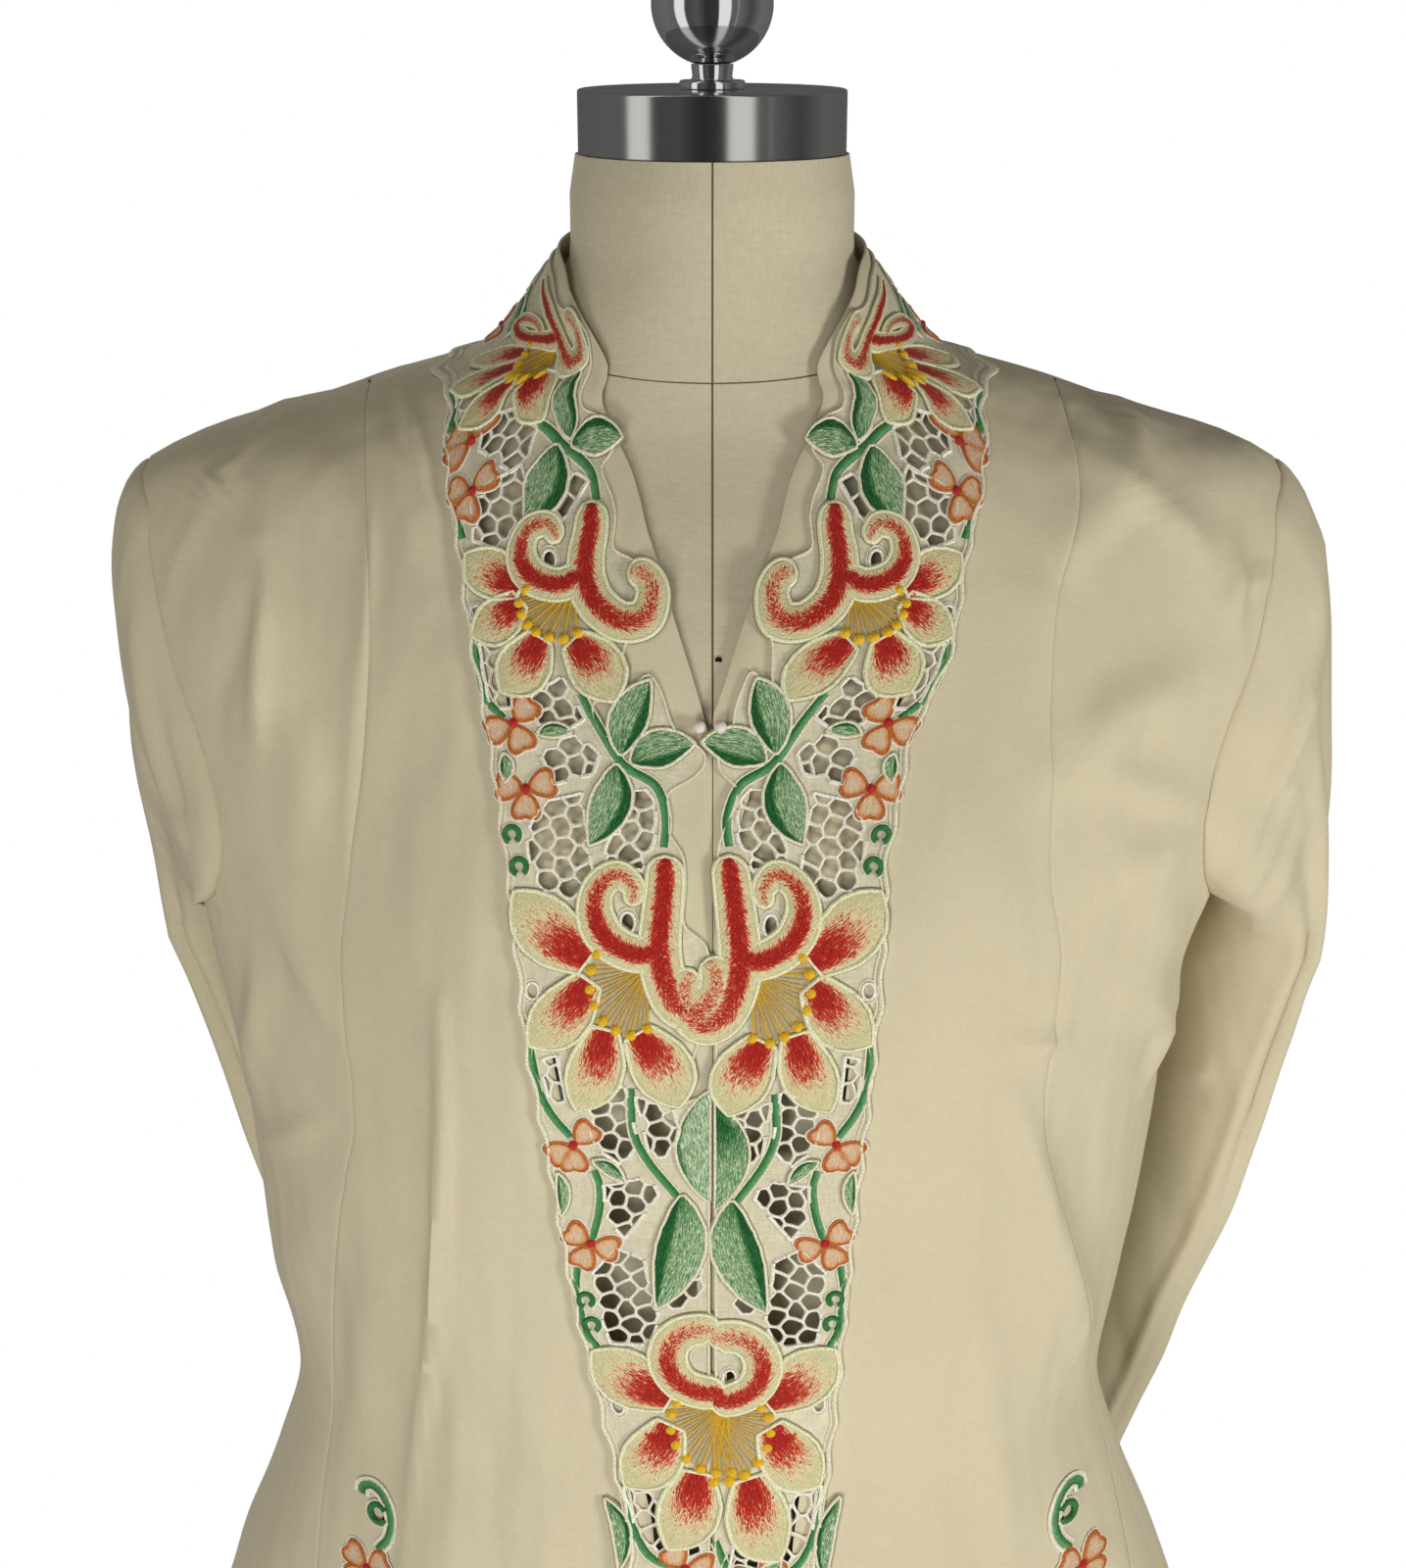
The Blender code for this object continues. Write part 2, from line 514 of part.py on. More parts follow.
class Strip:
    """The lace border's flat strip, laid on the blouse: along from the back neck, in from its edge.

    The left half takes the right half's stations, so that a motif has one place on both.
    """

    def __init__(self, side, stations=None):
        sign = 1 if side == "left" else -1
        rows = []
        for outer_angle, outer_height, inner_angle, inner_height in BACK_NECK_GUIDES:
            angles = [math.radians(a) for a in (outer_angle, inner_angle)]
            if sign < 0:
                angles = [math.pi - a for a in angles]
            rows.append((angles[0], outer_height, angles[1], inner_height))
        for outer_x, outer_z, inner_x, inner_z in FRONT_GUIDES[side]:
            outer = float(front_angle(sign * outer_x * MM, outer_z * MM))
            inner = float(front_angle(sign * inner_x * MM, inner_z * MM))
            turn = 0.0 if sign > 0 else 2 * math.pi
            rows.append((outer + turn, outer_z * MM, inner + turn, inner_z * MM))
        places = np.linspace(0, len(rows) - 1, 1201)
        self.side = side
        self.sign = sign
        self.guide = through(np.array(rows), places)
        self.guide[:, (1, 3)] = np.minimum(self.guide[:, (1, 3)], 1.0335)
        lines = [self.between(self.guide, share) for share in (0, 0.25, 0.5, 0.75, 1.0)]
        lines = [skin(angle, height) for angle, height in lines]
        middle = 0.6 * lines[0] + 0.4 * lines[2]
        steps = np.linalg.norm(np.diff(middle, axis=0), axis=1)
        along = np.concatenate([[0.0], np.cumsum(steps)]) / MM
        along += ANCHOR - np.interp(len(BACK_NECK_GUIDES) + ANCHOR_ROW, places, along)
        self.along = along if stations is None else stations
        self.start = float(self.along[0])
        widths = [np.linalg.norm(b - a, axis=1) for a, b in zip(lines, lines[1:])]
        self.width = sum(widths) / MM
        self.end = float(self.along[-1])

    @staticmethod
    def between(guide, share):
        angle = guide[..., 0] * (1 - share) + guide[..., 2] * share
        height = guide[..., 1] * (1 - share) + guide[..., 3] * share
        return angle, height

    def place(self, along, across):
        """Angle and height of a place on the strip, given in millimetres."""
        along = np.asarray(along, float)
        guide = np.stack([np.interp(along, self.along, self.guide[:, j]) for j in range(4)], -1)
        share = np.asarray(across, float) / np.interp(along, self.along, self.width)
        return self.between(guide, share)

    def on(self, along, across, lift):
        angle, height = self.place(along, across)
        return lifted(angle, height, lift)

    def garment_edge(self, along):
        """How far in from the lace's outer edge the neck edge or the centre front lies."""
        trial = np.linspace(0, 90, 361)
        edge = []
        for place in np.atleast_1d(along):
            angle, height = self.place(np.full_like(trial, place), trial)
            x = skin(angle, height)[:, 0] * self.sign
            front = np.sin(angle) < 0
            over = np.flatnonzero(front & (x < SEAM_GAP / 2))
            limit = np.interp(place, self.along, self.width)
            if len(over) and over[0] > 0:
                k = over[0]
                limit = min(limit, np.interp(SEAM_GAP / 2, (x[k], x[k - 1]), (trial[k], trial[k - 1])))
            edge.append(limit)
        return np.array(edge)

    def lace_edge(self, spacing):
        """The lace's inner edge from the back neck to the hem, as flat points."""
        rows = np.array(NECK_EDGE + CENTRE_EDGE[self.side], float)
        rows[0, 0] = self.start + SEAM_GAP / 2 / MM
        rows[-1, 0] = self.end - 1.0
        edge = [rows[:1]]
        for start, end in zip(rows, rows[1:]):
            count = max(1, round(float(np.hypot(*(end - start))) / spacing))
            share = np.linspace(0, 1, count + 1)[1:, None]
            edge.append(start + (end - start) * share)
        edge = np.concatenate(edge)
        edge[:, 1] = self.garment_edge(edge[:, 0]) - edge[:, 1]
        return edge

    def under_lace(self, along):
        """How far in the band reaches: a little under the lace's inner edge."""
        edge = self.lace_edge(2.0)
        near = np.abs(edge[:, 0][None, :] - np.atleast_1d(along)[:, None]) < BAND_REACH
        return np.where(near, edge[:, 1], np.inf).min(axis=1) - BAND_UNDER_LACE / MM


def inside(points, polygon):
    """Which points lie inside a polygon."""
    polygon = np.asarray(polygon)
    ahead = np.roll(polygon, -1, axis=0)
    within = np.zeros(len(points), bool)
    for (x0, y0), (x1, y1) in zip(polygon, ahead):
        spans = (y0 > points[:, 1]) != (y1 > points[:, 1])
        if y0 != y1:
            crossing = x0 + (points[:, 1] - y0) * (x1 - x0) / (y1 - y0)
            within ^= spans & (points[:, 0] < crossing)
    return within


def clipped(polygon, origin, normal):
    """The part of a convex polygon on the side of a line that its normal points away from."""
    kept = []
    for k, point in enumerate(polygon):
        following = polygon[(k + 1) % len(polygon)]
        here = (point - origin) @ normal
        there = (following - origin) @ normal
        if here <= 0:
            kept.append(point)
        if here * there < 0:
            kept.append(point + (following - point) * here / (here - there))
    return kept


def inset(polygon, distance):
    """A convex polygon with each side moved in."""
    centre = np.mean(polygon, axis=0)
    shape = list(polygon)
    for k, point in enumerate(polygon):
        side = polygon[(k + 1) % len(polygon)] - point
        length = np.hypot(*side)
        if length < 1e-6:
            continue
        normal = np.array((side[1], -side[0])) / length
        if (centre - point) @ normal > 0:
            normal = -normal
        shape = clipped(shape, point - normal * distance, normal)
        if len(shape) < 3:
            return []
    return shape


def without_short_sides(polygon, least):
    shape = [np.array(p, float) for p in polygon]
    while len(shape) > 4:
        lengths = [np.hypot(*(shape[(k + 1) % len(shape)] - shape[k])) for k in range(len(shape))]
        k = int(np.argmin(lengths))
        if lengths[k] >= least:
            break
        other = (k + 1) % len(shape)
        shape[k] = (shape[k] + shape[other]) / 2
        del shape[other]
    return shape


def area(polygon):
    p = np.array(polygon)
    q = np.roll(p, -1, axis=0)
    return abs(np.sum(p[:, 0] * q[:, 1] - q[:, 0] * p[:, 1])) / 2


def net_cells(patch, number):
    """Holes of one net patch: uneven bricks, each shrunk by half a bar."""
    corners = np.array(patch, float)
    low = corners.min(axis=0) - NET_PITCH
    high = corners.max(axis=0) + NET_PITCH
    seeds = []
    row = 0
    y = low[1]
    while y < high[1]:
        x = low[0] + (row % 2) * NET_PITCH / 2
        while x < high[0]:
            wobble = 12.9898 * x + 78.233 * y + number
            seeds.append((x + 1.1 * math.sin(wobble), y + 1.1 * math.cos(1.7 * wobble)))
            x += NET_PITCH
        y += NET_PITCH * 0.9
        row += 1
    seeds = np.array(seeds)
    cells = []
    for seed in seeds:
        shape = list(corners)
        nearest = np.argsort(np.hypot(*(seeds - seed).T))[1:13]
        for other in seeds[nearest]:
            shape = clipped(shape, (seed + other) / 2, other - seed)
            if len(shape) < 3:
                break
        if len(shape) < 3:
            continue
        shape = inset(shape, NET_BAR / 2)
        if len(shape) < 3 or area(shape) < LEAST_HOLE:
            continue
        shape = without_short_sides(shape, LEAST_SIDE)
        spread = np.array(shape)
        if min(np.ptp(spread, axis=0)) > 3.6:
            cells.append(spread)
    return cells


def eyelet(along, across, half_length, half_width):
    turns = np.linspace(0, 2 * math.pi, 7)[:-1]
    return np.stack([along + half_length * np.cos(turns), across + half_width * np.sin(turns)], -1)


def distance_to(points, outline):
    """How far each point lies from a closed outline."""
    start = outline[None, :, :]
    side = np.roll(outline, -1, axis=0)[None, :, :] - start
    away = points[:, None, :] - start
    share = np.clip((away * side).sum(-1) / (side * side).sum(-1), 0, 1)
    return np.linalg.norm(away - side * share[..., None], axis=-1).min(axis=1)


def cutwork(outline):
    """Every hole of one lace half that lies well inside its outline."""
    holes = []
    for number, (_, patch) in enumerate(NET_PATCHES):
        holes += net_cells(patch, number)
    holes += [eyelet(*row) for row in EYELETS]
    kept = []
    for hole in holes:
        clear = inside(hole, outline).all() and distance_to(hole, outline).min() > EDGE_BAR
        if clear and all(distance_to(hole, other).min() > LEAST_BAR for other in kept):
            kept.append(hole)
    return kept


def lace_outline(strip):
    """The lace's flat outline: a scalloped outer edge and an inner edge that follows the motifs."""
    inner = strip.lace_edge(INNER_EDGE_STEP)
    outer_along = np.linspace(inner[0, 0], inner[-1, 0], 2 * SCALLOP_COUNT + 1)
    wave = SCALLOP * (np.arange(len(outer_along)) % 2)
    outer = np.stack([outer_along, wave], -1)
    return np.concatenate([outer, inner[::-1]])


def lace(side, strip):
    outline = lace_outline(strip)
    holes = cutwork(outline)
    rings = [outline] + holes
    points = []
    edges = []
    for ring in rings:
        start = len(points)
        points += [tuple(p) for p in ring]
        edges += [(start + k, start + (k + 1) % len(ring)) for k in range(len(ring))]
    along = np.arange(strip.start, strip.end, LACE_GRID)
    grid = np.array([(s, w) for s in along for w in np.arange(9, 80, LACE_GRID)])
    free = inside(grid, outline) & (distance_to(grid, outline) > LACE_GRID / 3)
    for hole in holes:
        free &= np.hypot(*(grid - hole.mean(axis=0)).T) > LACE_GRID / 2
    points += [tuple(p) for p in grid[free]]
    flat, triangles = filled(points, edges, rings)
    outer = strip.on(flat[:, 0], flat[:, 1], LACE_LIFT + LACE)
    laid_on(f"lace_{side}", outer, strip.on(flat[:, 0], flat[:, 1], LACE_LIFT), triangles)


def band(side, strip):
    """The plain strip at the garment's edge, from the back neck to the hem, tucked under the lace."""
    along = np.concatenate([[strip.start + SEAM_GAP / 2 / MM], np.linspace(14, strip.end - 1.0, 40)])
    edge = strip.garment_edge(along)
    under = strip.under_lace(along)
    across = np.stack([edge, (edge + under) / 2, under], 1)
    places = np.repeat(along[:, None], 3, axis=1)
    outer = strip.on(places, across, CLOTH)
    inner = strip.on(places, across, 0.0)
    return wall(f"band_{side}", outer, inner, "cloth")


def armhole_angle(height, side, face, shift=0.0):
    column = 1 if face == "front" else 2
    x = float(smooth(ARMHOLE_ROWS, [row[column] for row in ARMHOLE], height)) + shift
    half_width, centre = [float(v) for v in section(height)[:2]]
    sign = 1 if side == "left" else -1
    turn = math.acos(max(-1.0, min(1.0, (sign * x - centre) / half_width)))
    return -turn if face == "front" else turn


def outer_edge(height, side, face):
    """Angle of a panel's edge at the side seam, the armhole or the shoulder seam."""
    if ARMPIT < height < SHOULDER_TIP:
        return armhole_angle(height, side, face)
    return angle_near_side(height, side, SEAM_GAP / 2, face)


def princess_angle(height, side, shift):
    column = 1 if side == "right" else 2
    sign = 1 if side == "left" else -1
    x = float(smooth([row[0] for row in PRINCESS_SEAM], [row[column] for row in PRINCESS_SEAM], height))
    return float(front_angle(sign * (x + shift), height))


def side_front(side):
    heights = [HEM_FRONT, *BODY_ROWS, ARMPIT, *ARMHOLE_ROWS, SHOULDER_TIP, *SHOULDER_ROWS, PRINCESS_TOP]
    edges = []
    for height in heights:
        edges.append((princess_angle(height, side, SEAM_GAP / 2), outer_edge(height, side, "front")))
    return panel(f"side_front_{side}", heights, edges, PANEL_COLUMNS["side_front"])


def centre_front(side, strip):
    along = np.linspace(120, strip.end, 500)
    angle, level = strip.place(along, np.full_like(along, LACE_OVERLAP / MM))
    in_front = np.sin(angle) < -0.02
    order = np.argsort(level[in_front])
    levels = level[in_front][order]
    angles = angle[in_front][order]
    if side == "right":
        angles = angles - 2 * math.pi
    heights = [HEM_FRONT, *BODY_ROWS, ARMPIT, *ARMHOLE_ROWS[1:], SHOULDER_TIP, *SHOULDER_ROWS]
    heights += list(np.linspace(PRINCESS_TOP, float(levels[-1]) - 1.2 * MM, FRONT_TOP_ROWS))
    edges = []
    for height in heights:
        if height <= PRINCESS_TOP:
            outside = princess_angle(height, side, -SEAM_GAP / 2)
        else:
            outside = angle_near_side(height, side, SEAM_GAP / 2, "front")
        edges.append((float(np.interp(height, levels, angles)), outside))
    return panel(f"centre_front_{side}", heights, edges, PANEL_COLUMNS["centre_front"])


def back():
    heights = [HEM_SIDE, *BODY_ROWS, ARMPIT, *ARMHOLE_ROWS, SHOULDER_TIP, *SHOULDER_ROWS]
    heights += BACK_TOP_ROWS
    edges = [(outer_edge(h, "left", "back"), outer_edge(h, "right", "back")) for h in heights]
    return panel("back", heights, edges, PANEL_COLUMNS["back"])


def armhole_ring(side, lift):
    """The sleeve's first ring, just past the armhole seam: top, down the front, up the back."""
    top = SHOULDER_TIP - 2 * SEAM_GAP
    bottom = ARMPIT + 2 * SEAM_GAP
    ring = [(angle_near_side(top, side, 0.0, "front"), top)]
    for height in reversed(ARMHOLE_ROWS):
        ring.append((armhole_angle(height, side, "front", SEAM_GAP), height))
    ring.append((angle_near_side(bottom, side, 0.0, "front"), bottom))
    for height in ARMHOLE_ROWS:
        ring.append((armhole_angle(height, side, "back", SEAM_GAP), height))
    angles = np.array([angle for angle, _ in ring])
    levels = np.array([height for _, height in ring])
    return lifted(angles, levels, lift)


def sleeve_ring(side, row, count):
    """A level ring of the hanging sleeve: a flattened tube, its long axis running in and back."""
    height, outer_left, outer_right, depth_left, depth_right, turn, half_long, half_thin = row
    sign = 1 if side == "left" else -1
    outer_x = outer_left if side == "left" else outer_right
    depth = depth_left if side == "left" else depth_right
    lean = math.radians(turn)
    reach = math.hypot(half_long * math.cos(lean), half_thin * math.sin(lean))
    around = np.interp(np.arange(count), (0, count / 2, count), (lean, UNDERARM, lean - 2 * math.pi))
    long_part = half_long * np.cos(around)
    thin_part = half_thin * np.sin(around)
    x = outer_x - reach + long_part * math.cos(lean) + thin_part * math.sin(lean)
    y = depth - long_part * math.sin(lean) + thin_part * math.cos(lean)
    return np.stack([sign * x, y, np.full(count, height)], -1)


def sleeve_outer(side):
    sign = 1 if side == "left" else -1
    start = armhole_ring(side, CLOTH)
    count = len(start)
    rings = [sleeve_ring(side, row, count) for row in SLEEVE_RINGS]
    end = rings[0]
    top_share = 0.5 + 0.5 * np.cos(2 * math.pi * np.arange(count) / count)
    leave = np.array((sign * 1.0, 0.0, -0.45)) * (0.060 + 0.030 * top_share)[:, None]
    span = np.linalg.norm(end - start, axis=1, keepdims=True)
    arrive = np.array((sign * -0.10, 0.25, -1.0)) * span * 0.9
    head = []
    for step in range(HEAD_STEPS):
        t = step / HEAD_STEPS
        head.append(
            start * (1 + 2 * t) * (1 - t) ** 2
            + leave * t * (1 - t) ** 2
            + end * t * t * (3 - 2 * t)
            + arrive * t * t * (t - 1)
        )
    return np.array(head + rings)


def grid_normals(grid):
    """Normals of a closed grid of rings, worked out from its neighbours."""
    round_it = np.roll(grid, -1, axis=1) - np.roll(grid, 1, axis=1)
    down_it = np.gradient(grid, axis=0)
    normal = np.cross(round_it, down_it)
    normal /= np.linalg.norm(normal, axis=-1, keepdims=True)
    outward = grid - grid.mean(axis=1, keepdims=True)
    if (normal * outward).sum() < 0:
        normal = -normal
    return normal


def sleeve_layers(side):
    """The sleeve's outer and inner faces, with its largest folds pressed in."""
    outer = sleeve_outer(side)
    normal = grid_normals(outer)
    around = np.arange(outer.shape[1]) / outer.shape[1]
    dent = np.zeros(outer.shape[:2])
    for place, top, bottom, half_width, depth in SLEEVE_FOLDS:
        level = outer[..., 2]
        share = np.clip((top - level) / (top - bottom), 0, 1)
        off = np.abs(around[None, :] - place)
        off = np.minimum(off, 1 - off)
        dent += depth * MM * np.sin(math.pi * share) * np.exp(-((off / half_width) ** 2))
    dent[0] = 0
    outer = outer - normal * dent[..., None]
    normal = grid_normals(outer)
    inner = outer - normal * CLOTH
    inner[0] = armhole_ring(side, 0.0)
    return outer, inner


def sleeve(side):
    outer, inner = sleeve_layers(side)
    wall(f"sleeve_{side}", outer, inner, "cloth", closed=True)


def form_section(height):
    """The form's half width, centre, front and back depth: the blouse's, less its ease."""
    drop = FORM_DROP if height > 0.9 else 0.0
    half_width, centre, front, back_depth = [float(v) for v in section(min(height + drop, 1.034))]
    side_ease, front_ease, back_ease = [smooth(EASE[:, 0], EASE[:, c], height) for c in (1, 2, 3)]
    half_width -= side_ease
    if height > 0.78:
        sharp = 26
        half_width = (half_width**-sharp + FORM_SHOULDER**-sharp) ** (-1 / sharp)
    return half_width, centre, front - front_ease, back_depth - back_ease


def solid_of_rings(name, rings, finish):
    """A closed body from rings of points, capped flat at both ends."""
    rings = np.array(rings)
    count = rings.shape[1]
    points = list(rings.reshape(-1, 3))
    faces = []
    for i in range(len(rings) - 1):
        for j in range(count):
            k = (j + 1) % count
            faces += quad(i * count + j, i * count + k, (i + 1) * count + k, (i + 1) * count + j)
    bottom = len(points)
    points.append(rings[0].mean(axis=0))
    top = len(points)
    points.append(rings[-1].mean(axis=0))
    last = (len(rings) - 1) * count
    for j in range(count):
        k = (j + 1) % count
        faces.append((bottom, k, j))
        faces.append((top, last + j, last + k))
    return add_object(name, points, turned_out(points, faces), finish)


def form_body():
    around = np.linspace(0, 2 * math.pi, 25)[:-1]
    heights = [0.330, 0.336, 0.350, 0.385, 0.425, 0.47, 0.52, 0.57, 0.62, 0.67, 0.72, 0.76, 0.79]
    heights += [0.82, 0.85, 0.88, 0.905, 0.925, 0.938, 0.947, 0.9545, 0.962, 0.969, 0.977, 0.987]
    heights += [1.000, 1.012, 1.028]
    rings = []
    for height in heights:
        half_width, centre, front, back_depth = form_section(height)
        facing = np.sin(around)
        x = centre + half_width * np.cos(around)
        y = np.where(facing > 0, back_depth, front) * facing
        y = y + bust(x, height) * np.minimum(facing, 0)
        rings.append(np.stack([x, y, np.full_like(x, height)], -1))
    for height, half_width, front, back_depth in NECK_RINGS:
        facing = np.sin(around)
        y = np.where(facing > 0, back_depth, front) * facing
        rings.append(np.stack([half_width * np.cos(around), y, np.full_like(y, height)], -1))
    return solid_of_rings("form_body", rings, "canvas")


def turned(name, profile, segments, finish, centre=(0.0, 0.0)):
    """A turned body from (radius, height) pairs, bottom to top."""
    around = np.linspace(0, 2 * math.pi, segments + 1)[:-1]
    rings = []
    for radius, height in profile:
        x = centre[0] + radius * np.cos(around)
        y = centre[1] + radius * np.sin(around)
        rings.append(np.stack([x, y, np.full_like(x, height)], -1))
    return solid_of_rings(name, rings, finish)


def hardware():
    edge = 0.8 * MM
    turned("neck_cap", ((CAP_RADIUS, CAP_BOTTOM), (CAP_RADIUS, CAP_TOP - edge),
                        (CAP_RADIUS - edge, CAP_TOP)), 40, "steel")
    collar_bottom = CAP_TOP + SEAM_GAP
    collar_top = collar_bottom + COLLAR_HEIGHT
    turned("knob_collar", ((COLLAR_RADIUS, collar_bottom), (COLLAR_RADIUS, collar_top - edge),
                           (COLLAR_RADIUS - edge, collar_top)), 28, "chrome")
    sit = math.sqrt(KNOB_RADIUS**2 - (POST_RADIUS * 0.9) ** 2)
    post_top = KNOB_CENTRE - sit - SEAM_GAP
    turned("knob_post", ((POST_RADIUS, collar_top + SEAM_GAP), (POST_RADIUS, post_top)), 20, "chrome")
    tilt = np.linspace(-math.acos(POST_RADIUS * 0.9 / KNOB_RADIUS), math.radians(86), 10)
    ball = [(KNOB_RADIUS * math.cos(t), KNOB_CENTRE + KNOB_RADIUS * math.sin(t)) for t in tilt]
    turned("knob", ball, 20, "chrome")


def stand():
    flange_top = FORM_BOTTOM - SEAM_GAP
    flange_bottom = flange_top - FLANGE_THICKNESS
    turned("pole_flange", ((FLANGE_RADIUS, flange_bottom), (FLANGE_RADIUS, flange_top)), 28, "stand")
    pole_bottom = BASE_TOP + SEAM_GAP
    pole_top = flange_bottom - SEAM_GAP
    turned("pole", ((POLE_RADIUS, pole_bottom), (POLE_RADIUS, pole_top)), 20, "stand")
    profile = (
        (BASE_RADIUS, 0.0), (BASE_RADIUS, BASE_EDGE), (BASE_RADIUS * 0.96, BASE_EDGE * 1.5),
        (BASE_RADIUS * 0.25, BASE_TOP - 0.001), (BASE_RADIUS * 0.14, BASE_TOP),
    )
    turned("base_plate", profile, 36, "stand")


def pearls():
    """Two pearl pin heads that sit on the bands at the closing point."""
    for side, x, height in PEARLS:
        angle = float(front_angle(x, height))
        lift = CLOTH + PIN_GAP + PEARL_RADIUS
        centre = lifted(np.array([angle]), np.array([height]), lift)[0]
        tilt = np.radians(np.linspace(-75, 75, 6))
        ball = [(PEARL_RADIUS * math.cos(t), centre[2] + PEARL_RADIUS * math.sin(t)) for t in tilt]
        turned(f"pearl_pin_{side}", ball, 10, "pearl", centre=(centre[0], centre[1]))


def sprig(side, x, height, lean):
    """An embroidered spray laid on the fronts, over the princess seam."""
    sign = 1 if side == "left" else -1
    turn = math.radians(lean)
    flat = np.array(SPRIG_OUTLINE) * (-sign * MM, MM)
    inner = np.array([(p, q) for p in (-6, 0, 6) for q in np.arange(-22, 36, 7)]) * MM
    inner = inner[inside(inner, flat) & (distance_to(inner, flat) > 2.5 * MM)]
    edges = [(k, (k + 1) % len(flat)) for k in range(len(flat))]
    spots, triangles = filled([tuple(p) for p in np.concatenate([flat, inner])], edges, [flat])
    across = x + spots[:, 0] * math.cos(turn) - spots[:, 1] * math.sin(turn)
    level = height + spots[:, 0] * math.sin(turn) + spots[:, 1] * math.cos(turn)
    angle = front_angle(across, level)
    outer = lifted(angle, level, SPRIG_LIFT + LACE)
    laid_on(f"hem_sprig_{side}", outer, lifted(angle, level, SPRIG_LIFT), triangles)


def filled(points, edges, rings):
    """Triangles that fill the first ring, leaving out the other rings."""
    made = geometry.delaunay_2d_cdt(points, edges, [], 0, 1e-7)
    flat = np.array([tuple(p) for p in made[0]])
    triangles = np.array(made[2])
    middle = flat[triangles].mean(axis=1)
    keep = inside(middle, rings[0])
    for hole in rings[1:]:
        keep &= ~inside(middle, hole)
    triangles = triangles[keep]
    used = np.unique(triangles)
    number = np.full(len(flat), -1)
    number[used] = np.arange(len(used))
    return flat[used], number[triangles]


def laid_on(name, outer, inner, triangles):
    """A thin body between two sheets that share their triangles."""
    count = len(outer)
    faces = [tuple(map(int, face)) for face in triangles]
    sides = {edge for a, b, c in faces for edge in ((a, b), (b, c), (c, a))}
    faces += [tuple(corner + count for corner in reversed(face)) for face in faces]
    for a, b in sides:
        if (b, a) not in sides:
            faces += quad(b, a, a + count, b + count)
    points = np.concatenate([outer, inner])
    add_object(name, points, turned_out(points, faces), "lace")


def clear_scene():
    for obj in list(bpy.data.objects):
        bpy.data.objects.remove(obj, do_unlink=True)


def main():
    clear_scene()
    form_body()
    hardware()
    stand()
    back()
    strips = {"right": Strip("right")}
    strips["left"] = Strip("left", strips["right"].along)
    for side, strip in strips.items():
        side_front(side)
        centre_front(side, strip)
        band(side, strip)
        lace(side, strip)
        sleeve(side)
    pearls()
    for side, x, height, lean in SPRIGS:
        sprig(side, x, height, lean)


main()
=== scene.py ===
"""Looks of a kebaya blouse with cutwork lace fronts, worn on a limbless dress form.

Metres, +Z up, the front faces -Y, the wearer's left is at +X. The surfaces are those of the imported
part, drawn finer: a point of the cloth is named by its angle round the section and its height. The
lace and its stitching are drawn flat, in millimetres along a strip and in from its outer edge.
"""
import math

import bpy
import numpy as np
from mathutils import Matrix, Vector, geometry


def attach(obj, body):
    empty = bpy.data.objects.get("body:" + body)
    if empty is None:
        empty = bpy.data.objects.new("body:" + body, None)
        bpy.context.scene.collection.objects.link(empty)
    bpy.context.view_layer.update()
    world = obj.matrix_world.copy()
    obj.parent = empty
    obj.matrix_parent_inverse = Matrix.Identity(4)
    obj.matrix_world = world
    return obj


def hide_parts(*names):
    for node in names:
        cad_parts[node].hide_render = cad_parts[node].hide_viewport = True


MM = 0.001
CLOTH = 1.2 * MM
SEAM_GAP = 0.3 * MM
PIN_GAP = 0.3 * MM
SIGN = {"left": 1, "right": -1}
# Steps, in radians and metres, over which the surface's normal is taken.
TURN_STEP = 0.004
RISE_STEP = 0.0015
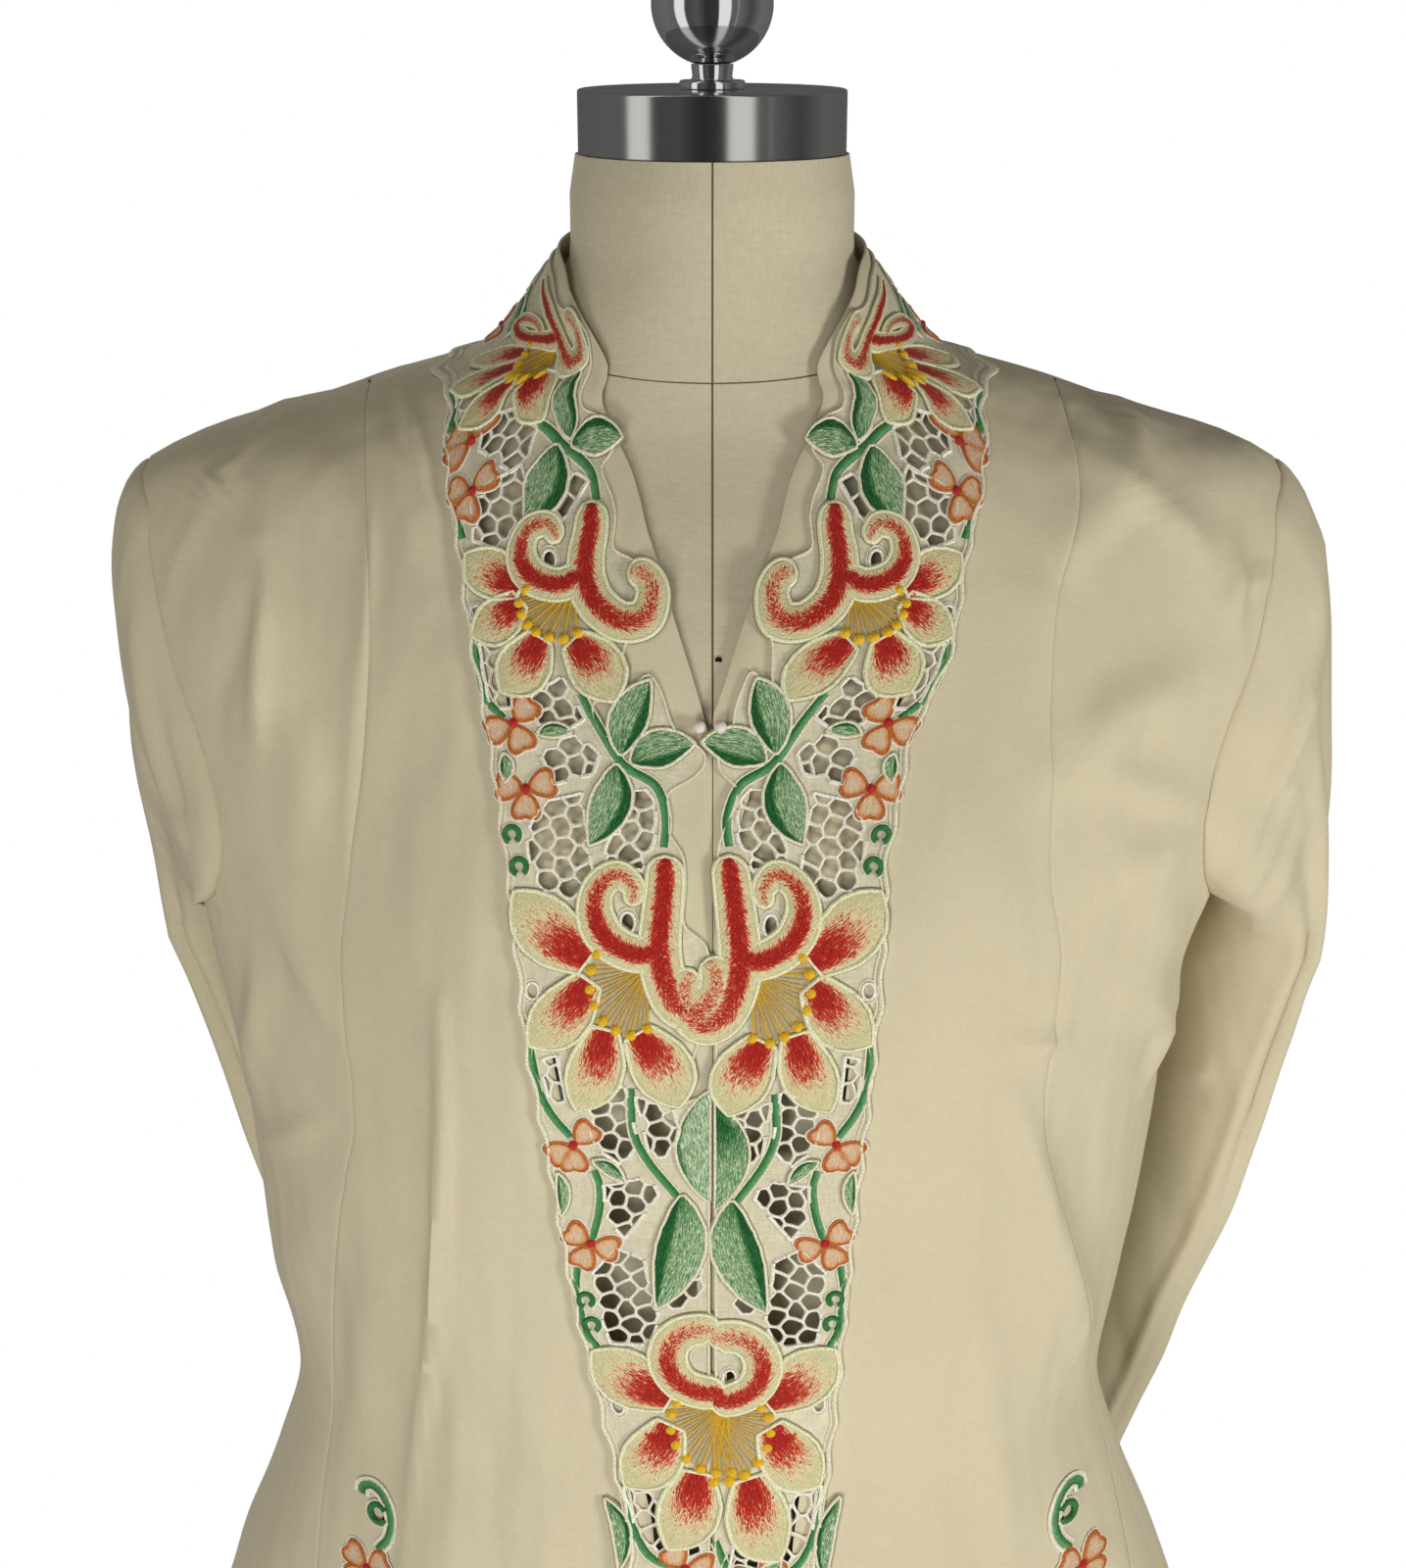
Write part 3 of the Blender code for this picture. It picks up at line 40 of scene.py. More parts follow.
# Sections of the worn blouse, from below the hem to the neck edge.
SECTIONS = (
    # height, half width, centre, front depth, back depth
    (0.360, 0.2100, -0.004, 0.1300, 0.126),
    (0.395, 0.2060, -0.004, 0.1280, 0.122),
    (0.440, 0.1990, -0.005, 0.1260, 0.119),
    (0.480, 0.1910, -0.005, 0.1220, 0.114),
    (0.520, 0.1790, -0.005, 0.1170, 0.105),
    (0.560, 0.1640, -0.005, 0.1130, 0.094),
    (0.595, 0.1550, -0.005, 0.1110, 0.088),
    (0.640, 0.1630, -0.005, 0.1120, 0.086),
    (0.680, 0.1690, -0.004, 0.1140, 0.088),
    (0.720, 0.1740, -0.004, 0.1170, 0.092),
    (0.760, 0.1820, -0.004, 0.1190, 0.097),
    (0.790, 0.1900, -0.002, 0.1180, 0.102),
    (0.820, 0.2000, 0.0, 0.1150, 0.105),
    (0.850, 0.2080, 0.0, 0.1100, 0.107),
    (0.880, 0.2150, 0.0, 0.1030, 0.106),
    (0.905, 0.2190, 0.0, 0.0940, 0.103),
    (0.925, 0.2175, 0.0, 0.0850, 0.099),
    (0.940, 0.2115, 0.0, 0.0780, 0.094),
    (0.9485, 0.2050, 0.0, 0.0730, 0.091),
    (0.956, 0.1900, 0.0, 0.0690, 0.088),
    (0.963, 0.1690, 0.0, 0.0650, 0.085),
    (0.970, 0.1440, 0.0, 0.0620, 0.081),
    (0.977, 0.1235, 0.0, 0.0600, 0.077),
    (0.9815, 0.1070, 0.0, 0.0590, 0.075),
    (0.9845, 0.0950, 0.0, 0.0580, 0.073),
    (0.990, 0.0810, 0.0, 0.0575, 0.070),
    (0.997, 0.0735, 0.0, 0.0565, 0.066),
    (1.0045, 0.0680, 0.0, 0.0560, 0.063),
    (1.012, 0.0620, 0.0, 0.0555, 0.060),
    (1.018, 0.0580, 0.0, 0.0550, 0.058),
    (1.0245, 0.0550, 0.0, 0.0545, 0.057),
    (1.034, 0.0545, 0.0, 0.0540, 0.056),
)
# The bust over the sections: height, how far from the centre line, depth, and its reach each way.
BUST_HEIGHT = 0.80
BUST_APART = 0.085
BUST_DEPTH = 0.012
BUST_WIDE = 0.045
BUST_ABOVE = 0.055
BUST_BELOW = 0.160
# How far the form stays inside the cloth's inner face at each height.
EASES = (
    # height, side, front, back
    (0.330, 0.048, 0.042, 0.030),
    (0.345, 0.038, 0.030, 0.020),
    (0.400, 0.030, 0.020, 0.010),
    (0.450, 0.020, 0.016, 0.008),
    (0.500, 0.015, 0.014, 0.005),
    (0.560, 0.012, 0.014, 0.005),
    (0.640, 0.014, 0.015, 0.005),
    (0.700, 0.012, 0.013, 0.004),
    (0.750, 0.011, 0.007, 0.003),
    (0.790, 0.012, 0.0018, 0.002),
    (0.830, 0.006, 0.0014, 0.0016),
    (0.880, 0.002, 0.0014, 0.0014),
    (0.985, 0.0014, 0.0014, 0.0014),
    (1.010, 0.0034, 0.0024, 0.0022),
    (1.034, 0.0034, 0.0024, 0.0022),
)
FORM_BOTTOM = 0.330
FORM_SHOULDER = 0.187
FORM_DROP = 1.5 * MM
# Above these heights the form's top lies lower by that drop, and its shoulders are held in sharply.
FORM_DROP_ABOVE = 0.9
FORM_CAPPED_ABOVE = 0.78
FORM_SHARP = 26
FORM_NECK = 1.028
# The form's bare neck.
NECK_RINGS = (
    # height, half width, front, back
    (1.0450, 0.0512, 0.0512, 0.0515),
    (1.0586, 0.0492, 0.0492, 0.0492),
)
# Seams of the fronts and the back.
PRINCESS_SEAM = (
    # height, distance from the centre line on the wearer's right, and on the left
    (0.390, 0.150, 0.170),
    (0.480, 0.151, 0.166),
    (0.545, 0.148, 0.156),
    (0.600, 0.142, 0.145),
    (0.640, 0.140, 0.136),
    (0.680, 0.134, 0.126),
    (0.725, 0.128, 0.118),
    (0.765, 0.129, 0.121),
    (0.785, 0.1305, 0.122),
    (0.820, 0.1255, 0.117),
    (0.865, 0.120, 0.1165),
    (0.905, 0.1185, 0.1185),
    (0.950, 0.121, 0.128),
    (0.9765, 0.1235, 0.1238),
)
ARMHOLE = (
    # height, distance of the front edge from the centre line, and of the back edge
    (0.791, 0.1835, 0.1850),
    (0.804, 0.1780, 0.1810),
    (0.822, 0.1760, 0.1800),
    (0.841, 0.1785, 0.1815),
    (0.862, 0.1850, 0.1860),
    (0.882, 0.1925, 0.1920),
    (0.902, 0.1975, 0.1970),
    (0.920, 0.2010, 0.2005),
    (0.936, 0.2025, 0.2025),
)
ARMHOLE_ROWS = [row[0] for row in ARMHOLE]
ARMPIT = 0.785
SHOULDER_TIP = 0.9485
PRINCESS_TOP = 0.9765
BACK_TOP = 0.991
# Heights of the panels' rows of points, between the hem and the armpit and above the shoulder tip.
BODY_ROWS = (0.44, 0.48, 0.515, 0.545, 0.57, 0.595, 0.62, 0.65, 0.68, 0.705, 0.73, 0.75, 0.768)
SHOULDER_ROWS = (0.957, 0.966)
BACK_TOP_ROWS = (0.9745, 0.9795, 0.9825, 0.986, BACK_TOP)
# Heights of the hem at the front edges and at the sides.
HEM_FRONT = 0.396
HEM_SIDE = 0.428
# Lace strip guides from the centre back neck round to the hem: outer edge, then inner guide line.
BACK_NECK_GUIDES = (
    # angle and height of the outer edge, angle and height of the inner edge, on the left half
    (90.0, 0.9850, 90.0, 1.031),
    (50.0, 0.9845, 50.0, 1.031),
    (15.0, 0.9835, 20.0, 1.029),
)
# This row of the front guides lies this far along the strip, in millimetres.
ANCHOR_ROW = 3
ANCHOR = 204.0
# No guide rises over this height, and the path between the guides has this many places.
GUIDE_TOP = 1.0335
GUIDE_PLACES = 1201
FRONT_GUIDES = {
    # millimetres: outer edge from the centre line and height, inner guide from it and height
    "right": (
        (96.5, 984, 53, 1022), (95.5, 977, 50, 1013), (94.5, 966, 43, 1001), (93, 954, 37, 984),
        (90, 935, 30, 959),
        (87, 916, 21.5, 933), (83, 893, 13, 907), (78, 869, 4.5, 881), (74.3, 845, -2, 856),
        (71, 821, -6, 831), (66.5, 770, -10, 780), (57.5, 714, -19, 725), (52, 676, -25, 688),
        (44.5, 637, -32, 650), (36, 598, -40, 611), (31, 565, -46, 572), (37, 520, -40, 519),
        (45, 480, -33, 477), (50, 440, -28, 436), (54, 396, -24, 392),
    ),
    "left": (
        (97, 984, 53, 1022), (98, 977, 50, 1013), (97, 966, 43, 1001), (95, 954, 37, 984),
        (91, 935, 30, 959),
        (87, 916, 21.5, 933), (82, 893, 11, 907), (69.5, 869, 2, 881), (64.5, 845, -9, 856),
        (60.5, 821, -16, 831), (58.3, 770, -20, 774), (53, 714, -25, 721), (49.7, 676, -28, 684),
        (46.7, 637, -31, 644), (43, 598, -35, 605), (38.6, 560, -40, 566), (40, 520, -38, 519),
        (45, 480, -33, 477), (50, 440, -28, 436), (54, 396, -24, 392),
    ),
}
# The lace's inner edge: millimetres along the strip, and how far in it stays from the garment's edge.
NECK_EDGE = (
    (6, 6), (60, 7), (110, 6), (142, 6.5), (170, 9), (175, 8), (179, 1.5), (186, 0.8), (190, 1),
    (193, 8.9), (201, 9), (210, 9), (214, 1), (220, 0.8), (226, 0.8), (227.5, 10), (235, 8.6),
    (244, 8.6), (252, 14), (256.5, 6), (264, 2), (270, 0.8),
)
CENTRE_EDGE = {
    "right": (
        (277, 5), (281, 17.8), (293, 22.3), (300, 28), (297.5, 34.5), (303, 35.5), (310, 35),
        (314, 31.7), (305, 28.5), (298, 20.7), (291, 12.2), (302, 10.4), (313, 11), (318, 5),
        (321, 0.8), (326, 1), (331, 8.8), (332, 15.5), (339, 13.8), (348, 14.6), (353, 9), (366, 8.4),
        (379.5, 10.3), (383, 4), (387, 0.6), (417, 0.6), (421, 5.2), (429, 6.8), (439, 9.2), (443, 12.6),
        (441.5, 6), (439, 0.6), (560, 0.6), (680, 0.6), (788, 0.6),
    ),
    "left": (
        (276, 4), (282, 10.7), (296, 14.4), (302, 18.9), (297, 12), (291, 6.1), (300, 5.7),
        (307, 5.5), (314, 7.3), (318, 4), (320, 0.8), (328, 1), (330, 8.9), (336, 7.1), (345, 4),
        (350, 1.2), (387, 0.8), (439, 0.6), (560, 0.6), (680, 0.6), (788, 0.6),
    ),
}
# Depth and number of the scallops on the lace's outer edge.
SCALLOP = 1.6
SCALLOP_COUNT = 38
INNER_EDGE_STEP = 20.0
WIDEST_STRIP = 90
LACE_OVERLAP = 10 * MM
# How far the front band runs under the lace, and how far along its inner edge is looked at.
BAND_UNDER_LACE = 4 * MM
BAND_REACH = 5.0
# Cutwork: convex patches of net, corners in millimetres (along the strip, in from the outer edge).
NET_PITCH = 7.0
NET_WOBBLE = 1.1
NET_PATCHES = (
    ((14, 12), (60, 14), (60, 34), (14, 34)),
    ((92, 12), (122, 14), (126, 38), (92, 38)),
    ((174, 3), (187, 4), (193, 6), (187, 12), (177, 12)),
    ((192, 15), (197, 29), (208, 35), (217, 33), (219, 26), (205, 14)),
    ((220, 10), (218, 30), (229, 31), (237, 25), (242, 15), (236, 7)),
    ((224, 44), (231, 51), (241, 38), (235, 30)),
    ((273, 4), (274, 13), (289, 13), (297, 12), (296, 4)),
    ((294, 17), (289, 31), (304, 36), (308, 29), (304, 20)),
    ((311, 18), (309, 33), (317, 39), (323, 36), (325, 22)),
    ((330, 18), (329, 31), (357, 31), (365, 22), (358, 10), (340, 10)),
    ((327, 50), (335, 55), (346, 54), (358, 48), (355, 33)),
    ((419, 5), (418, 12), (437, 12), (438, 6)),
    ((440, 18), (432, 33), (455, 34), (463, 27), (455, 19)),
    ((437, 36), (442, 48), (452, 49), (464, 42), (461, 37)),
    ((469, 19), (468, 36), (476, 38), (491, 24), (482, 18)),
    ((494, 20), (500, 29), (524, 30), (534, 26), (531, 11), (504, 8)),
    ((490, 48), (498, 56), (526, 56), (523, 32)),
    ((588, 3), (588, 12), (612, 16), (620, 14), (610, 4)),
    ((617, 18), (607, 31), (626, 34), (628, 24)),
    ((634, 8), (632, 22), (648, 26), (664, 20), (662, 8)),
    ((640, 30), (646, 40), (664, 40), (664, 28)),
    ((744, 8), (742, 24), (760, 28), (770, 22), (766, 8)),
    ((748, 34), (748, 46), (768, 46), (770, 32)),
)
EYELETS = (
    # millimetres: along, in, half length, half width
    (250, 33, 3.2, 2.4), (375, 41, 3.6, 2.6), (547, 41, 3.4, 2.4), (262, 5, 2.6, 2.3),
    (394, 6, 3.0, 2.3), (556, 8, 3.2, 2.3), (699, 30, 3.4, 2.4), (149, 28, 3.0, 2.4),
)
# Largest folds of the body cloth, on each face: half width, height outwards, and the two ends (across,
# up), in millimetres.
FOLDS = {
    "front": (
        (9, 2.2, ((-92, 760), (-93, 560))),
        (12, 3.5, ((-97, 600), (-112, 430))),
        (12, 3.0, ((-172, 790), (-150, 700))),
        (12, 3.0, ((-130, 700), (-160, 640))),
        (9, 4.5, ((150, 770), (176, 735))),
        (11, 3.0, ((112, 720), (132, 610))),
        (10, 2.0, ((150, 960), (180, 905))),
        (10, 2.0, ((-150, 955), (-180, 890))),
    ),
    "back": (
        (16, 3.0, ((-60, 900), (-75, 640))),
        (16, 3.0, ((70, 880), (60, 650))),
        (14, 3.0, ((0, 760), (5, 560))),
        (13, 3.5, ((-120, 760), (-100, 600))),
        (13, 3.5, ((125, 750), (105, 610))),
    ),
}
# Soft waves of the skirt: how many, how high at the hem, and the height where they begin.
FLUTE_COUNT = 11
FLUTE_RISE = 6.5 * MM
FLUTE_TOP = 0.58
# Sleeves: level rings below the head. Outer edge for each side, depth of the centre for each side,
# then the long axis's angle, its half length and the half thickness.
SLEEVE_RINGS = (
    (0.755, 0.233, 0.2125, 0.055, 0.086, 56, 0.072, 0.024),
    (0.735, 0.228, 0.2055, 0.062, 0.090, 55, 0.071, 0.023),
    (0.700, 0.221, 0.1950, 0.074, 0.096, 53, 0.069, 0.022),
    (0.665, 0.215, 0.1870, 0.084, 0.102, 50, 0.067, 0.021),
    (0.630, 0.207, 0.1770, 0.092, 0.107, 47, 0.064, 0.020),
    (0.590, 0.194, 0.1660, 0.100, 0.112, 44, 0.061, 0.019),
    (0.550, 0.184, 0.1560, 0.109, 0.118, 39, 0.058, 0.018),
    (0.510, 0.173, 0.1480, 0.119, 0.126, 33, 0.056, 0.017),
    (0.470, 0.165, 0.1420, 0.127, 0.133, 28, 0.055, 0.016),
    (0.430, 0.158, 0.1380, 0.134, 0.138, 24, 0.054, 0.016),
)
# Where the sleeve's lowest line lies on its rings.
UNDERARM = math.radians(-50)
SLEEVE_FOLDS = (
    # place round the sleeve, from and to heights, half width (share of the round), millimetres
    # outwards, sideways drift
    (0.12, 0.90, 0.70, 0.045, -7.0, 0.0),
    (0.26, 0.86, 0.62, 0.050, -6.0, 0.0),
    (0.70, 0.84, 0.60, 0.060, -6.0, 0.0),
    (0.90, 0.80, 0.55, 0.050, -5.0, 0.0),
)
# Cap, collar, post and knob on the neck, then the pole, its flange and the base.
CAP_RADIUS = 0.0483
CAP_BOTTOM = 1.0589
CAP_TOP = 1.0812
COLLAR_RADIUS = 0.0118
COLLAR_HEIGHT = 0.0028
POST_RADIUS = 0.0076
KNOB_RADIUS = 0.0218
KNOB_CENTRE = 1.1108
POLE_RADIUS = 0.014
FLANGE_RADIUS = 0.045
FLANGE_THICKNESS = 0.004
BASE_RADIUS = 0.165
BASE_EDGE = 0.008
BASE_TOP = 0.018
PEARL_RADIUS = 2.2 * MM
# Side, and the place across and up.
PEARLS = (("right", -0.0046, 0.8725), ("left", 0.0026, 0.8725))
SPRIGS = (
    # side, place of the flower's centre across and up, and the angle that the spray leans
    ("right", -0.1275, 0.543, 0.0),
    ("left", 0.1390, 0.536, 4.0),
)
# Degrees between faces from which their edge is drawn sharp.
SHARP_FROM = 60
# How finely the cloth is drawn, in metres.
ROW_STEP = 0.0045
COLUMN_STEP = 0.0045
SLEEVE_PARTS = 5
SLEEVE_STEP = 0.005
HEAD_ROWS = 30
# More rows close to the armhole seam, as shares of the sleeve's head, and where its creases begin.
HEAD_EDGE_ROWS = (0.004, 0.009, 0.016)
HEAD_SETTLE = 25 * MM
# Grid of the lace's ground, and how near a hole its points are looked at, in millimetres.
LACE_STEP = 3.2
HOLE_REACH = 9
# The centre fronts' edge is looked for from this place of the strip on, in millimetres.
CENTRE_START = 120
# Over what width the creases fade out under the lace.
LACE_FADE = 8 * MM
# The front band's grid, and the width in millimetres over which its free edge is rolled.
BAND_ROWS = 330
BAND_COLUMNS = 9
BAND_ROLL = 1.6
# Height of the slight unevenness of worn cloth.
RIPPLE = 0.22 * MM
# The drawn cloth starts this far over the solid's inner face, and creases carry the inner face along.
INNER_LIFT = 0.00005
EASE_SHARE = 0.8
# The drawn lace lies lower than its solid, so that its holes show the cloth under it.
LACE_FACE = CLOTH + 0.95 * MM
LACE_THIN = 0.6 * MM
SPRIG_FACE = CLOTH + 0.6 * MM
# How far the painted shadow under an edge cord reaches past it, in millimetres.
SHADE_REACH = 0.45
# Where a scroll's red core ends, as a share of its half width.
SCROLL_CORE = 0.50
# Degrees between a scroll's middle line and the stitches on its two sides.
STITCH_SLOPE = 38
# Radii of the cords round petals, scrolls and leaves, then the sizes of the other stitches.
PETAL_EDGE = 0.74
SCROLL_EDGE = 0.78
LEAF_EDGE = 0.6
SPRIG_LEAF_EDGE = 0.35
LEAF_BOW = 0.08
STEM_HALF_WIDTH = 1.5
STEM_STEP = 1.4
SPRIG_BORDER = 2.3
BLOSSOM_SIZE = 11.0
SPRIG_BLOSSOM_SIZE = 10.5
CURL_RADIUS = 2.6
SPRIG_CURL_RADIUS = 3.1
KNOT_SIDES = 9
FAN_ROWS = 7
# A blossom's petal from its middle out: share of the way, height, tone.
BLOSSOM_RINGS = (
    (0.02, 0.75, 0.12), (0.45, 0.7, 0.18), (0.70, 0.78, 0.34), (0.84, 0.95, 0.66), (1.0, -0.05, 0.72),
)
# Half widths of the gold wedge at a fan's first side.
FAN_WEDGE = ((0, 0.8), (0.5, 1.7), (1, 0.9))
# Seams: half the gap that shows, and how wide and how deep the cloth rolls in at them.
HALF_SEAM = 0.05 * MM
SEAM_ROLL = 0.8 * MM
SEAM_SINK = 0.35 * MM
# How far the drawn form lies inside its solid, and its seams: their radius, how proud they lie.
FORM_INSET = 0.2 * MM
SEAM_THREAD = 0.35 * MM
SEAM_PROUD = 0.1 * MM
SEAM_FROM = 0.34
TUBE_SIDES = 8
# Net: half a thread's width, the smallest cell that is opened, its room to the edge and its least side.
NET_THREAD = 0.45
LEAST_OPEN = 7.0
EDGE_ROOM = 1.6
SHORTEST_SIDE = 0.3
# Heights of the seam round the form's neck: at the sides, in front and behind.
NECK_SEAM_SIDE = 0.999
NECK_SEAM_FRONT = 0.9835
NECK_SEAM_BACK = 0.992
# The pin hole's place on the form's front, across and up.
PIN_HOLE = (0.002, 0.894)
PIN_HOLE_RADIUS = 1.2 * MM
# Rounding of the cap's and the collar's upper edges, and of the flange.
SOFT_EDGE = 0.9 * MM
FLANGE_SOFT = 0.8 * MM
# The camera, its pitch in degrees, and a film as high as the frame, in millimetres.
CAMERA_PLACE = (-0.0033, -1.2, 1.1376)
CAMERA_PITCH = 75.4
SENSOR_HEIGHT = 36
LENS = 75.69
SAMPLES = 128
LAMP_COLOUR = (1.0, 0.99, 0.97)
# The even light from all round, then the lamps.
WORLD_LIGHT = 0.19
WORLD_COLOUR = (1.0, 0.96, 0.88, 1)
LIGHTS = (
    # name, place, aim, size, power
    ("key", (1.38, -0.95, 0.52), (0.05, 0.0, 0.75), (0.35, 0.4), 15.5),
    ("low", (-0.35, -1.05, 0.30), (-0.02, 0.0, 0.68), (0.4, 0.3), 5.3),
    ("fill", (-0.7, -1.8, 1.15), (0.0, 0.0, 0.90), (0.7, 0.7), 6.9),
    ("back", (-0.7, 1.9, 1.2), (0.0, 0.0, 0.75), (1.0, 1.2), 20.0),
)
# What metal reflects: degrees to the right of the camera, and how bright it is there.
STUDIO_STRIPS = (
    (-180, 0.10), (-100, 0.16), (-78, 0.13), (-75, 0.95), (-56, 0.95), (-53, 0.07), (-30, 0.10),
    (-12, 0.035), (12, 0.045), (14, 0.95), (35, 0.95), (37, 0.14), (49, 0.13), (50, 0.45), (52, 0.16),
    (80, 0.07), (110, 0.17), (180, 0.10),
)

# Half widths along a petal and a leaf: share of the length, share of the widest.
PETAL_PROFILE = (
    (0, 0.5), (0.15, 0.72), (0.35, 0.95), (0.55, 1.0), (0.72, 0.88), (0.86, 0.58), (0.95, 0.26), (1, 0.03),
)
LEAF_PROFILE = (
    (0, 0.1), (0.1, 0.48), (0.28, 0.88), (0.45, 1.0), (0.62, 0.9), (0.8, 0.6), (0.92, 0.28), (1, 0.02),
)

# Half lilies, in millimetres along the strip and in from its outer edge. Scrolls: path, half widths
# by share of the length, and how strong their red is. Petals: base, tip, half width. The fan: apex
# and arc.
FLOWERS = (
    {
        "scrolls": (
            (((178, 41), (174, 34), (163, 27), (152, 28), (154, 34), (164, 37), (171, 34)),
             ((0, 3.6), (0.4, 4.2), (0.75, 3.2), (1, 2.2)), 1.0),
            (((139, 50), (152, 49.5), (164, 47.5), (175, 43.5), (184, 42), (191, 47), (189, 55), (183, 57),
              (178, 53)), ((0, 1.2), (0.3, 3.0), (0.6, 4.8), (1, 3.2)), 1.0),
        ),
        "petals": (((169, 22), (154, 9), 6.0), ((174, 18), (172, 2.5), 6.0), ((184, 23), (192, 6), 6.8),
                   ((188, 30), (206, 37), 7.8)),
        "apex": (179, 37),
        "arc": ((168, 26), (170, 21), (174, 18.5), (179, 19), (183, 22), (186, 27), (188, 33)),
    },
    {
        "scrolls": (
            (((257, 44), (259, 35), (254, 26), (246, 23.5), (239, 27), (239, 34), (245, 37)),
             ((0, 5.0), (0.45, 5.4), (0.75, 4.0), (1, 2.6)), 1.0),
            (((237, 50), (244, 48.5), (252, 45.5), (260, 44.5), (268, 47), (275, 54), (275, 62), (268, 66),
              (262, 64), (260, 59)), ((0, 5.2), (0.35, 6.2), (0.7, 6.0), (1, 4.0)), 1.0),
        ),
        "petals": (((257, 22), (240, 4), 8.2), ((261, 21), (270, 2.5), 8.0), ((275, 26), (291, 9), 9.2),
                   ((278, 37), (300, 47), 9.4)),
        "apex": (261, 40),
        "arc": ((258, 23.5), (262, 20.5), (266, 21), (270, 22.5), (273, 25), (275.5, 29), (277, 34),
                (276, 39)),
    },
    {
        "scrolls": (
            (((386, 52), (386, 43), (380, 34), (371, 30), (362, 32), (358, 39), (363, 44), (369, 43)),
             ((0, 5.8), (0.45, 6.2), (0.75, 4.6), (1, 2.8)), 1.0),
            (((354, 56), (364, 54.5), (375, 52.5), (385, 51), (395, 51.5), (405, 55), (409, 61), (405, 67),
              (398, 69.5), (391, 67)), ((0, 5.8), (0.35, 6.8), (0.7, 7.0), (1, 4.8)), 1.0),
        ),
        "petals": (((386, 26), (359, 3), 10.4), ((393, 26), (413, 3), 10.2), ((411, 30), (439, 15), 9.6),
                   ((414, 41), (443, 50), 10.4)),
        "apex": (391, 47),
        "arc": ((384, 29.5), (389.5, 27), (396, 26), (402, 27), (408, 29.5), (412, 33.5), (414.5, 38.5),
                (413, 44.5)),
    },
    {
        "scrolls": (
            (((556, 47), (555, 39), (550, 32), (542, 29.5), (534.5, 32), (530.5, 38), (530.5, 45),
              (532.5, 49)),
             ((0, 6.2), (0.5, 6.6), (1, 5.6)), 0.9),
        ),
        "petals": (((556, 27), (533, 4), 10.8), ((566, 25), (588, 4), 10.6), ((586, 30), (614, 15), 10.8)),
        "apex": (561, 46),
        "arc": ((558, 29), (562, 26), (568, 24.5), (574, 25), (580, 27.5), (585, 31.5), (587.5, 36.5),
                (588, 42)),
    },
    {
        "scrolls": (
            (((722, 42), (721, 35), (716, 29.5), (709, 28.5), (703, 31.5), (700, 37), (701, 43)),
             ((0, 5.8), (0.5, 6.2), (1, 5.2)), 0.9),
        ),
        "petals": (((725, 24), (700, 4), 9.8), ((734, 22), (750, 3), 9.6), ((754, 27), (779, 14), 9.8)),
        "apex": (731, 44),
        "arc": ((727, 26), (731, 23), (737, 22), (743, 22.5), (749, 25), (753, 29), (755, 34), (755, 40)),
    },
)
# Leaves of the lace: base, tip, half width, and the side of the dark edge.
LEAVES = (
    ((217, 48), (191, 51), 5.0, -1), ((219, 48), (223, 66), 5.8, 1), ((217, 43), (236, 26), 7.4, 1),
    ((318, 46), (295, 60), 6.6, -1), ((321, 49), (318, 71), 6.6, -1), ((321, 44), (347, 31), 7.2, 1),
    ((307, 19), (308, 31), 2.6, 1), ((312, 6), (322, 5), 2.6, -1),
    ((477, 46), (520, 30), 8.8, -1), ((592, -4.5), (622, -2.5), 3.4, 1),
    ((459, 17), (469, 27), 2.6, 1), ((462, 4), (479, 2.6), 2.4, -1),
    ((645, 42), (622, 56), 5.6, -1), ((648, 40), (676, 30), 6.4, 1), ((632, 6), (646, 4), 2.4, -1),
    ((130, 40), (112, 52), 5.0, -1), ((134, 36), (150, 20), 4.6, 1), ((40, 46), (62, 40), 4.6, 1),
    ((84, 40), (66, 22), 4.8, -1), ((88, 44), (104, 52), 4.6, 1), ((22, 40), (40, 22), 4.8, 1),
)
# The leaf over the centre front: from, to and half width, in millimetres.
CENTRE_LEAF = (438.5, 481.0, 12.0)
# Paths of the lace's stems.
STEMS = (
    ((201, 31), (210, 39), (218, 45), (228, 52), (237, 52)),
    ((296, 36), (305, 39), (321, 46), (330, 56), (341, 58), (351, 56)),
    ((434, 35), (450, 33), (462, 36), (477, 44)),
    ((172, 2.6), (181, 2.4), (190, 3.4), (197, 6)),
    ((221, 3), (227, 2.8), (234, 3.4)),
    ((273, 3), (284, 2.6), (293, 3.4), (300, 8)),
    ((414, 3), (430, 3.2), (440, 6), (449, 11)),
    ((463, 17), (470, 18), (480, 16), (490, 12)),
    ((500, 5), (508, 3), (517, 2.8), (526, 3.4), (532, 6)),
    ((587, 3), (604, 3), (616, 8), (622, 18)),
    ((613, 32), (630, 38), (646, 42), (662, 50), (690, 54)),
    ((652, 12), (664, 8), (678, 4), (692, 3)),
    ((62, 30), (84, 42), (110, 44), (134, 38), (150, 34)),
    ((10, 36), (24, 42), (44, 44), (62, 44)),
)
